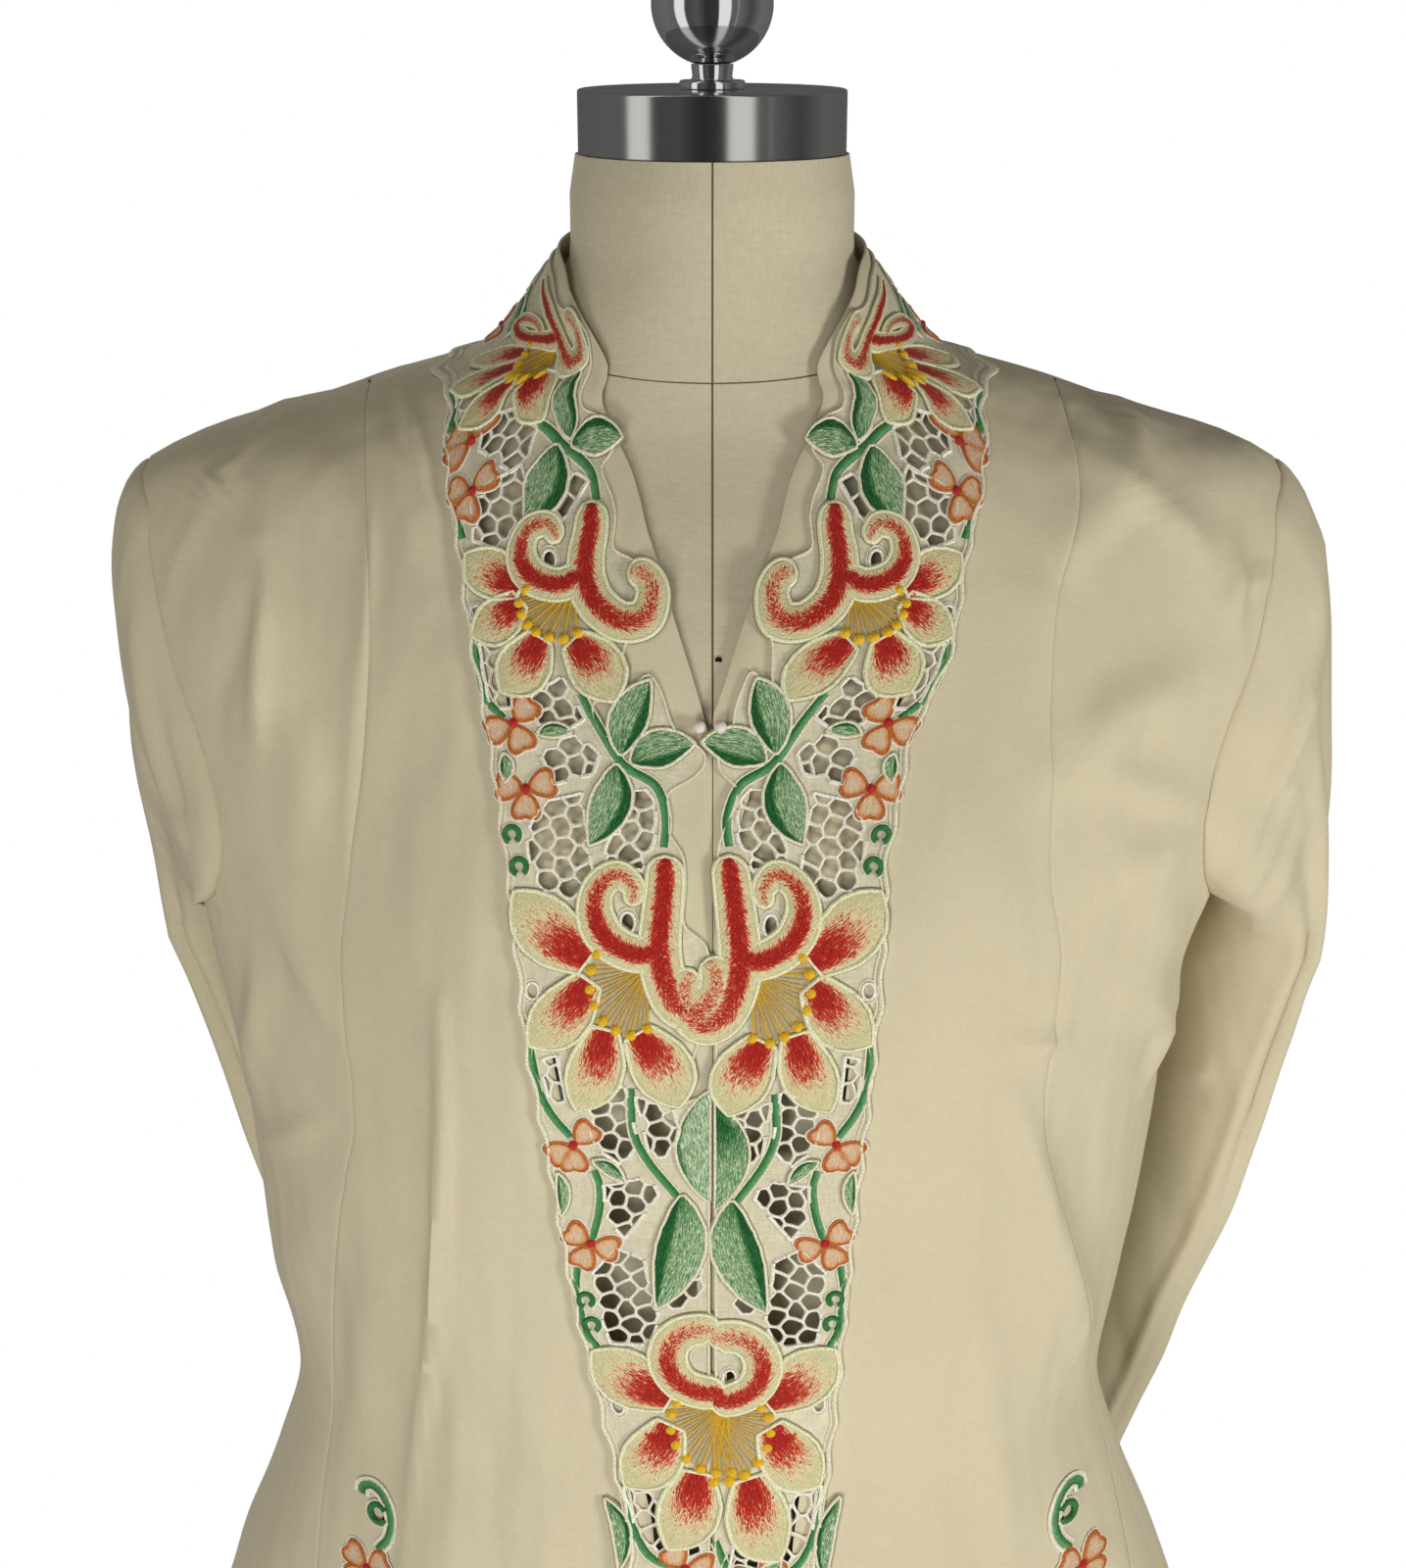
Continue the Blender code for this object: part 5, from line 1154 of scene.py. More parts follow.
def stitched(name, stops, spread, bump=0.75):
    """Satin stitch: colour by tone, broken up along the threads."""
    finish = Finish(name, stops[len(stops) // 2][1], 0.5, sheen=0.1)
    tone = finish.attribute("tone", "Fac")
    thread = finish.attribute("thread", "Vector")
    strands = finish.noise(thread, (0.34, 2.1, 1.0), 1.0, 2.0)
    flecks = finish.noise(thread, (0.9, 3.6, 1.0), 1.0, 0.0)
    mixed = tone
    for grain, share in ((strands, spread), (flecks, spread * 0.5)):
        push = finish.maths("MULTIPLY", finish.maths("SUBTRACT", grain, 0.5), share)
        mixed = finish.maths("ADD", mixed, push)
    finish.colour_from(finish.ramp(mixed, [(at, srgb(*colour)) for at, colour in stops]))
    finish.bump(finish.maths("ADD", strands, flecks), bump, 0.0006)
    return finish.made


def plain(name, colour, roughness, metallic=0.0):
    """One even colour."""
    return Finish(name, colour, roughness, metallic).made


def corded(name, low, high):
    """Twisted thread: fine light and dark along its length."""
    finish = Finish(name, high, 0.6, sheen=0.1)
    twist = finish.noise(finish.attribute("thread", "Vector"), (2.2, 0.8, 1.0), 1.0, 1.0)
    finish.colour_from(finish.ramp(twist, ((0.32, srgb(*low)), (0.58, srgb(*high)))))
    finish.bump(twist, 0.6, 0.0004)
    return finish.made


def brushed(name, colour, roughness):
    """Metal with fine level lines."""
    finish = Finish(name, colour, roughness, 1.0)
    finish.bump(finish.noise(finish.place(), (0.3, 0.3, 30.0), 60.0, 3.0), 0.12, 0.0002)
    return finish.made


def make_finishes():
    """All materials, by the short names that the pieces use. Colours are screen colours of 0 to 255."""
    cream = (226, 221, 176)
    pale_cream = (205, 199, 150)
    return {
        "cloth": woven("cloth", (205, 195, 166), 0.05, 1500.0, 2200.0, 0.45),
        "canvas": woven("canvas", (202, 193, 166), 0.08, 1100.0, 1900.0),
        "ground": woven("lace_ground", (206, 199, 172), 0.16, 1300.0, 2600.0),
        # shade: dull ring just outside each edge cord, a painted shadow of the raised cord
        "shade": plain("painted_cord_shadow", (158, 151, 122), 0.95),
        "rim": corded("rim_cord", (202, 200, 154), (240, 238, 206)),
        "petal": stitched("petal_silk", (
            (0.04, pale_cream), (0.22, cream), (0.36, (226, 196, 150)), (0.48, (214, 128, 92)),
            (0.60, (190, 52, 38)), (0.95, (158, 26, 24)),
        ), 1.35),
        "leaf": stitched("leaf_silk", (
            (0.02, (214, 224, 196)), (0.20, (156, 184, 142)), (0.42, (96, 138, 90)), (0.64, (44, 108, 54)),
            (0.90, (20, 78, 38)),
        ), 1.3),
        "stem": stitched("stem_silk", (
            (0.1, (176, 212, 180)), (0.45, (98, 158, 104)), (0.8, (36, 112, 54)),
        ), 0.5),
        "blossom": stitched("blossom_silk", (
            (0.1, (224, 200, 170)), (0.42, (220, 160, 106)), (0.7, (208, 112, 40)), (0.95, (178, 80, 26)),
        ), 0.9),
        "gold": stitched("gold_silk", (
            (0.15, (204, 142, 16)), (0.5, (240, 192, 36)), (0.85, (252, 222, 96)),
        ), 0.6),
        "fan": stitched("fan_net", (
            (0.2, (150, 136, 108)), (0.5, (176, 163, 134)), (0.8, (198, 188, 160)),
        ), 0.6, bump=0.3),
        "knot": stitched("red_silk", (
            (0.2, (150, 22, 26)), (0.5, (190, 40, 40)), (0.8, (214, 74, 62)),
        ), 0.5),
        "cord": corded("cream_cord", (196, 188, 150), (240, 235, 214)),
        "net": corded("net_thread", (206, 200, 180), (247, 244, 232)),
        "pearl": plain("pearl", (226, 214, 206), 0.18),
        "steel": brushed("brushed_steel", (196, 196, 192), 0.16),
        "chrome": plain("chrome", (224, 224, 226), 0.04, 1.0),
        "stand": plain("stand_black", (40, 40, 42), 0.45),
        "seam": plain("seam_thread", (92, 80, 60), 0.9),
        # hole: near-black colour of the pin hole, painted shade of the hole's inside
        "hole": plain("pin_hole_painted_shade", (30, 26, 20), 0.9),
    }


def add_mesh(name, points, faces, finishes, which=None, tone=None, thread=None):
    """A mesh object with smooth faces, its materials and the two values that the stitches read."""
    mesh = bpy.data.meshes.new(name)
    mesh.from_pydata(np.asarray(points, float).tolist(), [], [list(map(int, face)) for face in faces])
    mesh.shade_smooth()
    mesh.set_sharp_from_angle(angle=math.radians(SHARP_FROM))
    for finish in finishes:
        mesh.materials.append(FINISHES[finish])
    if which is not None:
        mesh.polygons.foreach_set("material_index", which.astype(np.int32))
        for attribute, kind, key, values in (
            ("tone", "FLOAT", "value", tone), ("thread", "FLOAT_VECTOR", "vector", thread),
        ):
            data = mesh.attributes.new(attribute, kind, "POINT").data
            data.foreach_set(key, values.astype(np.float32).reshape(-1))
    obj = bpy.data.objects.new(name, mesh)
    bpy.context.scene.collection.objects.link(obj)
    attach(obj, "root")
    return obj


def grid_faces(rows, columns, round_columns=False):
    """Faces of a grid of points, rows by columns."""
    here = np.arange(rows * columns).reshape(rows, columns)
    right = np.roll(here, -1, axis=1)
    if not round_columns:
        here, right = here[:, :-1], right[:, :-1]
    return np.stack([here[:-1], right[:-1], right[1:], here[1:]], -1).reshape(-1, 4)


def shell(name, outer, inner, finish, closed=False):
    """A cloth wall between two fine grids, its edges joined."""
    rows, columns = outer.shape[:2]
    back = rows * columns
    faces = grid_faces(rows, columns, closed)
    sides = [faces, faces[:, ::-1] + back]
    number = np.arange(rows * columns).reshape(rows, columns)
    loops = [number[0], number[-1][::-1]]
    if closed:
        loops = [np.append(loop, loop[0]) for loop in loops]
    else:
        loops += [number[::-1, 0], number[:, -1]]
    for loop in loops:
        sides.append(np.stack([loop[1:], loop[:-1], loop[:-1] + back, loop[1:] + back], -1))
    points = np.concatenate([outer.reshape(-1, 3), inner.reshape(-1, 3)])
    return add_mesh(name, points, np.concatenate(sides), [finish])


def ripple(x, y, z):
    """Slight unevenness of worn cloth."""
    return RIPPLE * (
        np.sin(91 * x + 37 * z + 2 * np.sin(23 * z))
        + np.sin(47 * z - 61 * y + 1.7 * np.sin(31 * x))
        + 0.6 * np.sin(173 * x + 113 * z)
    )


def between(values, step):
    """The values with more put between them, no further apart than step."""
    fine = [values[0]]
    for start, end in zip(values, values[1:]):
        count = max(1, math.ceil(abs(end - start) / step))
        fine += list(np.linspace(start, end, count + 1)[1:])
    return fine


def cloth_grids(heights, edges, laced):
    """Outer and inner faces of a panel, with its creases and softly rolled edges.

    On a laced panel the creases fade out under the lace, which lies over its first edge.
    """
    spans = np.array([abs(last - first) * float(section(height)[0]) for (first, last), height
                      in zip(edges, heights)])
    # One row in twelve is enough to find how many columns the widest needs.
    share = np.linspace(0, 1, int(spans[::12].max() / COLUMN_STEP) + 4)
    near = SEAM_ROLL / max(float(np.median(spans)), 10 * SEAM_ROLL)
    share = np.unique(np.concatenate([share, [near, 2 * near, 1 - 2 * near, 1 - near]]))
    angles = np.array([first + (last - first) * share for first, last in edges])
    levels = np.repeat(np.array(heights)[:, None], len(share), axis=1)
    below = levels[:, :1] < BODY_ROWS[0]
    hem = hem_height(angles)
    base = levels[0, 0]
    levels = np.where(below, hem + (BODY_ROWS[0] - hem) * (levels - base) / (BODY_ROWS[0] - base), levels)
    place = skin(angles, levels)
    out = creases(place[..., 0], levels, np.sin(angles)) + ripple(*np.moveaxis(place, -1, 0))
    from_first = spans[:, None] * share
    to_edge = from_last = spans[:, None] * (1 - share)
    if laced:
        out *= np.clip((from_first - LACE_OVERLAP) / LACE_FADE, 0, 1)
    else:
        to_edge = np.minimum(from_first, from_last)
    roll = SEAM_SINK * bell(to_edge, SEAM_ROLL)
    inner = lifted(angles, levels, INNER_LIFT + np.maximum(out * EASE_SHARE, 0))
    outer = lifted(angles, levels, INNER_LIFT + CLOTH - roll + np.maximum(out, -0.9 * CLOTH + SEAM_SINK))
    return outer, inner


def cut_size(outer):
    """A grid's widest row, longest column and area, in metres."""
    wide = np.linalg.norm(np.diff(outer, axis=1), axis=2).sum(axis=1).max()
    long = np.linalg.norm(np.diff(outer, axis=0), axis=2).sum(axis=0).max()
    corner = outer[:-1, :-1]
    first = np.cross(outer[:-1, 1:] - corner, outer[1:, 1:] - corner)
    second = np.cross(outer[1:, 1:] - corner, outer[1:, :-1] - corner)
    area_of = 0.5 * (np.linalg.norm(first, axis=2).sum() + np.linalg.norm(second, axis=2).sum())
    return round(float(wide), 3), round(float(long), 3), round(float(area_of), 4)


def stand_for(piece, node, slot):
    """The piece is shown in place of a solid of the part."""
    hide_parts(node)


def dress_cloth(node, outer, inner, held="draped", rests_on="form_body", closed=False):
    """One piece of cloth between two grids, and its flat size."""
    piece = shell(f"{node}_cloth", outer, inner, "cloth", closed)
    if closed:
        outer = np.concatenate([outer, outer[:, :1]], axis=1)
    wide, long, cloth_area = cut_size(outer)
    if cloth_area < 0.32 * wide * long:
        wide = round(2 * cloth_area / long, 3)
    stand_for(piece, node, "cloth")
    min(cloth_area, wide * long)


def body_heights(low, top_rows):
    """Heights of a panel's rows, from its hem to its highest row."""
    return between([low, *BODY_ROWS, ARMPIT, *ARMHOLE_ROWS, SHOULDER_TIP, *top_rows], ROW_STEP)


def seam_edges(side, face):
    """Heights and angles of a panel's edge between the armpit and the shoulder tip."""
    path = armhole_path(side, 0.0)
    half = len(path) // 2
    part = path[:half + 1] if face == "front" else np.concatenate([path[half:], path[:1]])
    angles = part[:, 0]
    if side == "right" and face == "front":
        angles = angles - 2 * math.pi
    order = np.argsort(part[:, 1])
    return part[order, 1], angles[order]


def body_edge(height, side, face, seam):
    """A panel's outer edge: the side seam, the armhole or the shoulder seam."""
    if ARMPIT < height < SHOULDER_TIP:
        return float(np.interp(height, *seam))
    return angle_near_side(height, side, HALF_SEAM, face)


def dress_panels(strips):
    """The back, the side fronts, the centre fronts and their bands."""
    heights = body_heights(HEM_SIDE, [*SHOULDER_ROWS, *BACK_TOP_ROWS])
    seams = {side: seam_edges(side, "back") for side in strips}
    edges = [tuple(body_edge(h, side, "back", seams[side]) for side in ("left", "right")) for h in heights]
    dress_cloth("back", *cloth_grids(heights, edges, laced=False))
    for side, strip in strips.items():
        seam = seam_edges(side, "front")
        heights = body_heights(HEM_FRONT, [*SHOULDER_ROWS, PRINCESS_TOP])
        edges = [(princess_angle(h, side, HALF_SEAM), body_edge(h, side, "front", seam)) for h in heights]
        dress_cloth(f"side_front_{side}", *cloth_grids(heights, edges, laced=False))
        heights, edges = centre_edges(side, strip)
        dress_cloth(f"centre_front_{side}", *cloth_grids(heights, edges, laced=True))
        dress_band(side, strip)


def centre_edges(side, strip):
    """Heights of a centre front's rows, each with its edge under the lace and its edge at the seam."""
    along = np.linspace(CENTRE_START, strip.end, 900)
    angle, level = strip.place(along, np.full_like(along, LACE_OVERLAP / MM))
    in_front = np.sin(angle) < -0.02
    order = np.argsort(level[in_front])
    levels = level[in_front][order]
    angles = angle[in_front][order]
    if side == "right":
        angles = angles - 2 * math.pi
    heights = body_heights(HEM_FRONT, [PRINCESS_TOP])
    heights += list(np.linspace(PRINCESS_TOP + 0.5 * MM, float(levels[-1]) - 1.2 * MM, 5))
    edges = []
    for height in heights:
        if height <= PRINCESS_TOP:
            outside = princess_angle(height, side, -HALF_SEAM)
        else:
            outside = angle_near_side(height, side, HALF_SEAM, "front")
        edges.append((float(np.interp(height, levels, angles)), outside))
    return heights, edges


def dress_band(side, strip):
    """The plain strip along the neck edge and the centre front, rolled at its free edge."""
    along = np.linspace(strip.start + SEAM_GAP / 2 / MM, strip.end - 1.0, BAND_ROWS)[:, None]
    edge = strip.garment_edge(along[:, 0])[:, None]
    across = edge + (strip.under_lace(along[:, 0])[:, None] - edge) * np.linspace(0, 1, BAND_COLUMNS)
    places = np.repeat(along, BAND_COLUMNS, axis=1)
    outer = strip.on(places, across, INNER_LIFT + CLOTH * (1 - 0.35 * bell(across - edge, BAND_ROLL)))
    dress_cloth(f"band_{side}", outer, strip.on(places, across, INNER_LIFT))


def armhole_path(side, shift):
    """Angles and heights round the armhole, from its top down the front and up the back."""
    inset_by = 2 * SEAM_GAP if shift else 0.0
    tip = SHOULDER_TIP - inset_by
    pit = ARMPIT + inset_by
    ring = [(angle_near_side(tip, side, 0.0, "front"), tip)]
    ring += [(armhole_angle(h, side, "front", shift), h) for h in reversed(ARMHOLE_ROWS)]
    ring.append((angle_near_side(pit, side, 0.0, "front"), pit))
    ring += [(armhole_angle(h, side, "back", shift), h) for h in ARMHOLE_ROWS]
    ring = np.array(ring)
    if side == "right":
        ring[:, 0] = np.mod(ring[:, 0], 2 * math.pi)
    ring = np.concatenate([ring[-2:], ring, ring[:3]])
    count = (len(ring) - 5) * SLEEVE_PARTS
    return through(ring, 2 + np.arange(count) / SLEEVE_PARTS)


def fine_armhole(side, lift):
    """The sleeve's first ring, at the armhole and lifted off the cloth's inner face."""
    path = armhole_path(side, 2 * HALF_SEAM)
    return lifted(path[:, 0], path[:, 1], lift)


def fine_sleeve(side):
    """The sleeve's smooth rings: a head that curves down from the armhole, then the hanging tube."""
    start = fine_armhole(side, INNER_LIFT + CLOTH - SEAM_SINK)
    count = len(start)
    table = np.array(SLEEVE_RINGS)[::-1]
    rings = []
    for level in np.arange(table[-1, 0], table[0, 0] - 0.001, -SLEEVE_STEP):
        rings.append(sleeve_ring(side, [level, *map(float, columns_at(table, level))], count))
    end = rings[0]
    top_share = 0.5 + 0.5 * np.cos(2 * math.pi * np.arange(count) / count)
    leave = np.array((SIGN[side] * 1.0, 0.0, -0.45)) * (0.060 + 0.030 * top_share)[:, None]
    span = np.linalg.norm(end - start, axis=1, keepdims=True)
    arrive = np.array((SIGN[side] * -0.10, 0.25, -1.0)) * span * 0.9
    shares = sorted([*np.linspace(0, 1, HEAD_ROWS + 1)[:-1], *HEAD_EDGE_ROWS])
    return np.array([curve(start, leave, end, arrive, t) for t in shares] + rings)


def dress_sleeve(side):
    """A sleeve with its big folds, creases and waves, sunk a little at the armhole seam."""
    outer = fine_sleeve(side)
    around = np.arange(outer.shape[1]) / outer.shape[1]
    out = sleeve_waves(SLEEVE_FOLDS, around, outer[..., 2])
    outer = outer + grid_normals(outer) * out[..., None]
    normal = grid_normals(outer)
    extra = sleeve_creases(side, outer, normal) + sleeve_waves(SLEEVE_WAVES, around, outer[..., 2])
    steps = np.linalg.norm(np.diff(outer, axis=0), axis=2)
    from_seam = np.concatenate([np.zeros((1, outer.shape[1])), np.cumsum(steps, axis=0)])
    settle = np.clip(from_seam / HEAD_SETTLE, 0, 1)
    rise = (extra + ripple(*np.moveaxis(outer, -1, 0))) * settle
    rise += SEAM_SINK * (1 - bell(from_seam, SEAM_ROLL))
    outer = relaxed(outer + normal * rise[..., None], from_seam)
    inner = outer - grid_normals(outer) * CLOTH
    inner[0] = fine_armhole(side, INNER_LIFT)
    dress_cloth(f"sleeve_{side}", outer, inner, "hung", f"side_front_{side}_cloth", closed=True)


def relaxed(grid, from_seam):
    """The sleeve's cloth relaxed round the pinched fold under the arm."""
    across = math.copysign(PINCH[0], grid[..., 0].mean())
    off = np.linalg.norm(grid - (across, *PINCH[1:]), axis=2)
    share = bell(off, PINCH_REACH) * np.clip(from_seam / PINCH_SEAM, 0, 1)
    for _ in range(PINCH_TURNS):
        beside = np.roll(grid, 1, axis=1) + np.roll(grid, -1, axis=1)
        above = np.concatenate([grid[:1], grid[:-1]])
        below = np.concatenate([grid[1:], grid[-1:]])
        grid = grid + ((beside + above + below) / 4 - grid) * share[..., None]
    return grid


def sleeve_creases(side, outer, normal):
    """Creases listed on the front of a sleeve, at places seen from the front."""
    x, height = outer[..., 0], outer[..., 2]
    rise = np.zeros_like(x)
    facing = np.clip(-normal[..., 1] * 3, 0, 1)
    for half_width, out, line in SLEEVE_CREASES[side]:
        far, _ = nearest_on(np.array(line) * MM, x, height)
        rise += facing * out * MM * bell(far, half_width * MM)
    return rise


def sleeve_waves(rows, around, height):
    """Folds and waves that run down a sleeve, by their places round it."""
    rise = np.zeros_like(height)
    for place, top, bottom, half_width, out, drift in rows:
        share = np.clip((top - height) / (top - bottom), 0, 1)
        off = np.abs(np.mod(around - place - drift * share + 0.5, 1) - 0.5)
        rise += out * MM * np.sin(math.pi * share) * bell(off, half_width)
    return rise


class Stitches:
    """Stitched work gathered flat: places in millimetres on the strip, height over the lace's face."""

    def __init__(self):
        self.parts = []
        self.count = 0
        self.finishes = []

    def add(self, flat, faces, finish, tone, thread):
        if finish not in self.finishes:
            self.finishes.append(finish)
        which = np.full(len(faces), self.finishes.index(finish))
        flat = flat.reshape(-1, 3)
        tone = np.broadcast_to(tone, len(flat))
        self.parts.append((flat, faces + self.count, which, tone, thread.reshape(-1, 3)))
        self.count += len(flat)

    def build(self, name, put):
        """One object of all that was gathered. put gives the place of flat points and heights."""
        flat, faces, which, tone, thread = [np.concatenate(values) for values in zip(*self.parts)]
        points = put(flat[:, 0], flat[:, 1], flat[:, 2] * MM)
        return add_mesh(name, points, faces, self.finishes, which, tone, thread)


def path_of(points, step):
    """A smooth path through points, with its length so far at each place."""
    points = np.array(points, float)
    count = max(4, int(length_so_far(points)[-1] / step) + 1)
    line = through(points, np.linspace(0, len(points) - 1, count))
    return line, length_so_far(line)


def side_of(line, closed=False):
    """Unit vectors to the left of a path."""
    way = np.roll(line, -1, axis=0) - np.roll(line, 1, axis=0) if closed else np.gradient(line, axis=0)
    way /= np.maximum(np.linalg.norm(way, axis=1, keepdims=True), 1e-9)
    return np.stack([-way[:, 1], way[:, 0]], -1)


def left_of(way):
    """A flat direction turned a quarter to the left."""
    return np.array((-way[1], way[0]))


def spaced(outline, least):
    """An outline without the points that lie too near the one before."""
    steps = np.linalg.norm(np.diff(outline, axis=0), axis=1)
    return outline[np.concatenate([[True], steps > least])]


def cord(work, line, radius, height, finish="cord", closed=False, sides=5, tone=0.5, squash=1.0):
    """A thread laid along a path, round unless it is squashed."""
    line = np.asarray(line, float)
    left = side_of(line, closed)
    turn = whole_turn(sides)
    spots = line[:, None, :] + left[:, None, :] * (radius * np.cos(turn))[None, :, None]
    level = np.broadcast_to(np.asarray(height, float), len(line))[:, None] + squash * radius * np.sin(turn)
    flat = raised(spots, level)
    if closed:
        flat = np.concatenate([flat, flat[:1]])
        line = np.concatenate([line, line[:1]])
    thread = stacked(length_so_far(line)[:, None], turn[None, :], line[0, 0])
    work.add(flat, grid_faces(len(flat), sides, True), finish, tone, thread)


def blade(work, spine, widths, finish, tone_of, lift, dome, across=11, step=1.0, edge=None,
          edge_finish="cord", scroll=False):
    """A domed band of satin stitch. widths are (share of the length, half width) pairs.

    A scroll has round ends, and its stitches slope from its middle line to both sides.
    """
    line, done = path_of(spine, step)
    share = done / done[-1]
    table = np.array(widths, float)
    half = np.interp(share, table[:, 0], table[:, 1])
    if scroll:
        for gone in (done, done[-1] - done):
            half = half * np.sqrt(1 - (1 - np.clip(gone / half, 0, 1)) ** 2)
    half = np.maximum(half, 0.02)
    q = np.sin(np.linspace(-math.pi / 2, math.pi / 2, across))
    spots = line[:, None, :] + side_of(line)[:, None, :] * (half[:, None] * q)[..., None]
    crown = np.sqrt(np.clip(1 - q**2, 0, 1)) ** 0.8
    level = (lift + dome * crown[None, :]) * np.clip(half / 2.0, 0.35, 1)[:, None]
    level[:, (0, -1)] = -0.05
    tone = tone_of(share[:, None], q[None, :]) + np.zeros(level.shape)
    if scroll:
        slope = math.radians(STITCH_SLOPE)
        off = np.abs(q[None, :]) * half[:, None]
        thread = stacked(done[:, None] * math.cos(slope) + off * math.sin(slope),
                         off * math.cos(slope) - done[:, None] * math.sin(slope), np.sign(q)[None, :] * 3.0)
    else:
        thread = stacked(done[:, None], q[None, :] * half[:, None], line[0, 0])
    work.add(raised(spots, level), grid_faces(len(line), across), finish, tone.reshape(-1), thread)
    if edge:
        outline = spaced(np.concatenate([spots[:, 0], spots[::-1, -1]]), 0.25)
        cord(work, outline, edge, edge * 0.9, edge_finish, closed=True, sides=6)
        # A flat dull ring just outside the edge cord: painted shadow of the cord on the lace.
        cord(work, outline, edge + SHADE_REACH, 0.0, "shade", closed=True, sides=4, squash=0.22)


def petal_tone(share, q):
    """Red over nearly all the base, which fades along the petal into a cream rim and end."""
    rim = np.clip((0.92 - np.abs(q)) / 0.46, 0, 1)
    tip = np.clip((0.84 - share) / 0.60, 0, 1)
    return 0.05 + 0.80 * rim * tip


def scroll_tone(strength, core_edge):
    """Red core that is half as strong at its edge, and pales towards the scroll's free end."""
    def tone(share, q):
        core = np.clip((core_edge + 0.25 - np.abs(q)) / 0.5, 0, 1)
        fade = np.interp(share, (0, 0.45, 0.75, 1), (1, 0.95, 0.62, 0.42))
        return 0.06 + 0.86 * strength * fade * core

    return tone


def leaf_tone(dark_side):
    """Light green, darker at the base and along a rib, and dark at one edge."""
    def tone(share, q):
        rim = np.clip((q * dark_side - 0.30) / 0.22, 0, 1)
        rib = bell(q + 0.12 * dark_side, 0.10) * 0.25
        base = np.clip((0.30 - share) / 0.30, 0, 1) * 0.25
        return 0.26 + 0.58 * rim + rib + base

    return tone


def flower(work, shape):
    """A half lily: petals, a stitched fan with knots, and its scrolls over them."""
    for base, tip, half_width in shape["petals"]:
        base, tip = np.array(base, float), np.array(tip, float)
        away = tip - base
        spine = [base, base + away * 0.5 + left_of(away) * 0.05, tip]
        widths = [(t, half_width * w) for t, w in PETAL_PROFILE]
        blade(work, spine, widths, "petal", petal_tone, 0.15, 1.1, edge=PETAL_EDGE, edge_finish="rim")
    fan(work, shape["apex"], shape["arc"])
    for line, widths, strength in shape["scrolls"]:
        blade(work, line, widths, "petal", scroll_tone(strength, SCROLL_CORE), 0.7, 1.1,
              edge=SCROLL_EDGE, edge_finish="rim", scroll=True)


def fan(work, apex, arc):
    """Open net between the petals: dull ground, gold rays and a row of gold knots."""
    apex = np.array(apex, float)
    rim, _ = path_of(arc, 1.0)
    share = np.linspace(0.0, 1.0, FAN_ROWS)[:, None, None]
    spots = apex + (rim[None] - apex) * share
    level = 0.25 + 0.5 * np.sin(math.pi * share[..., 0]) + np.zeros(spots.shape[:2])
    thread = stacked(spots[..., 0], spots[..., 1], 0.0)
    work.add(raised(spots, level), grid_faces(FAN_ROWS, len(rim)), "fan", 0.5, thread)
    # Three rays to each knot: the middle one thick and long, the two beside it thin and short.
    for number, place in enumerate(np.linspace(0, len(rim) - 1, 3 * (len(arc) - 1) + 1)):
        thick = number % 3 == 0
        end = through(rim, np.array([place]))[0]
        start = apex + (end - apex) * (0.06 if thick else 0.22)
        line = start + (end - start) * np.linspace(0, 1, 8)[:, None]
        height = 0.4 + 0.5 * np.sin(math.pi * np.linspace(0.1, 1, 8))
        cord(work, line, 0.36 if thick else 0.18, height, "gold", sides=4)
    first = np.array(arc[0], float)
    wedge = (first, first + (apex - first) * 0.5, apex)
    blade(work, wedge, FAN_WEDGE, "gold", lambda share, q: 0.5, 0.5, 0.5, across=5)
    for spot in arc:
        knot(work, spot, 2.1, "gold", 2.1)


def knot(work, centre, radius, finish, height):
    """A small raised knot."""
    turn = whole_turn(KNOT_SIDES)
    rows = []
    for up in (0.0, 0.5, 0.85, 1.0):
        wide = radius * math.sqrt(max(0.0, 1 - up**2)) + 0.02
        x = centre[0] + wide * np.cos(turn) * (1 + 0.08 * np.sin(3 * turn))
        rows.append(stacked(x, centre[1] + wide * np.sin(turn), 0.1 + height * up))
    flat = np.array(rows)
    work.add(flat, grid_faces(len(rows), KNOT_SIDES, True), finish, 0.5, flat * (1.4, 1.4, 1.0))


def leaf(work, base, tip, half_width, dark_side, edge):
    """A bowed leaf with a cord of radius edge round it."""
    base, tip = np.array(base, float), np.array(tip, float)
    away = tip - base
    side = left_of(away) * LEAF_BOW
    spine = [base, base + away * 0.35 + side, base + away * 0.7 + side * 0.8, tip]
    widths = [(t, half_width * w) for t, w in LEAF_PROFILE]
    blade(work, spine, widths, "leaf", leaf_tone(dark_side), 0.25, 0.95, edge=edge)


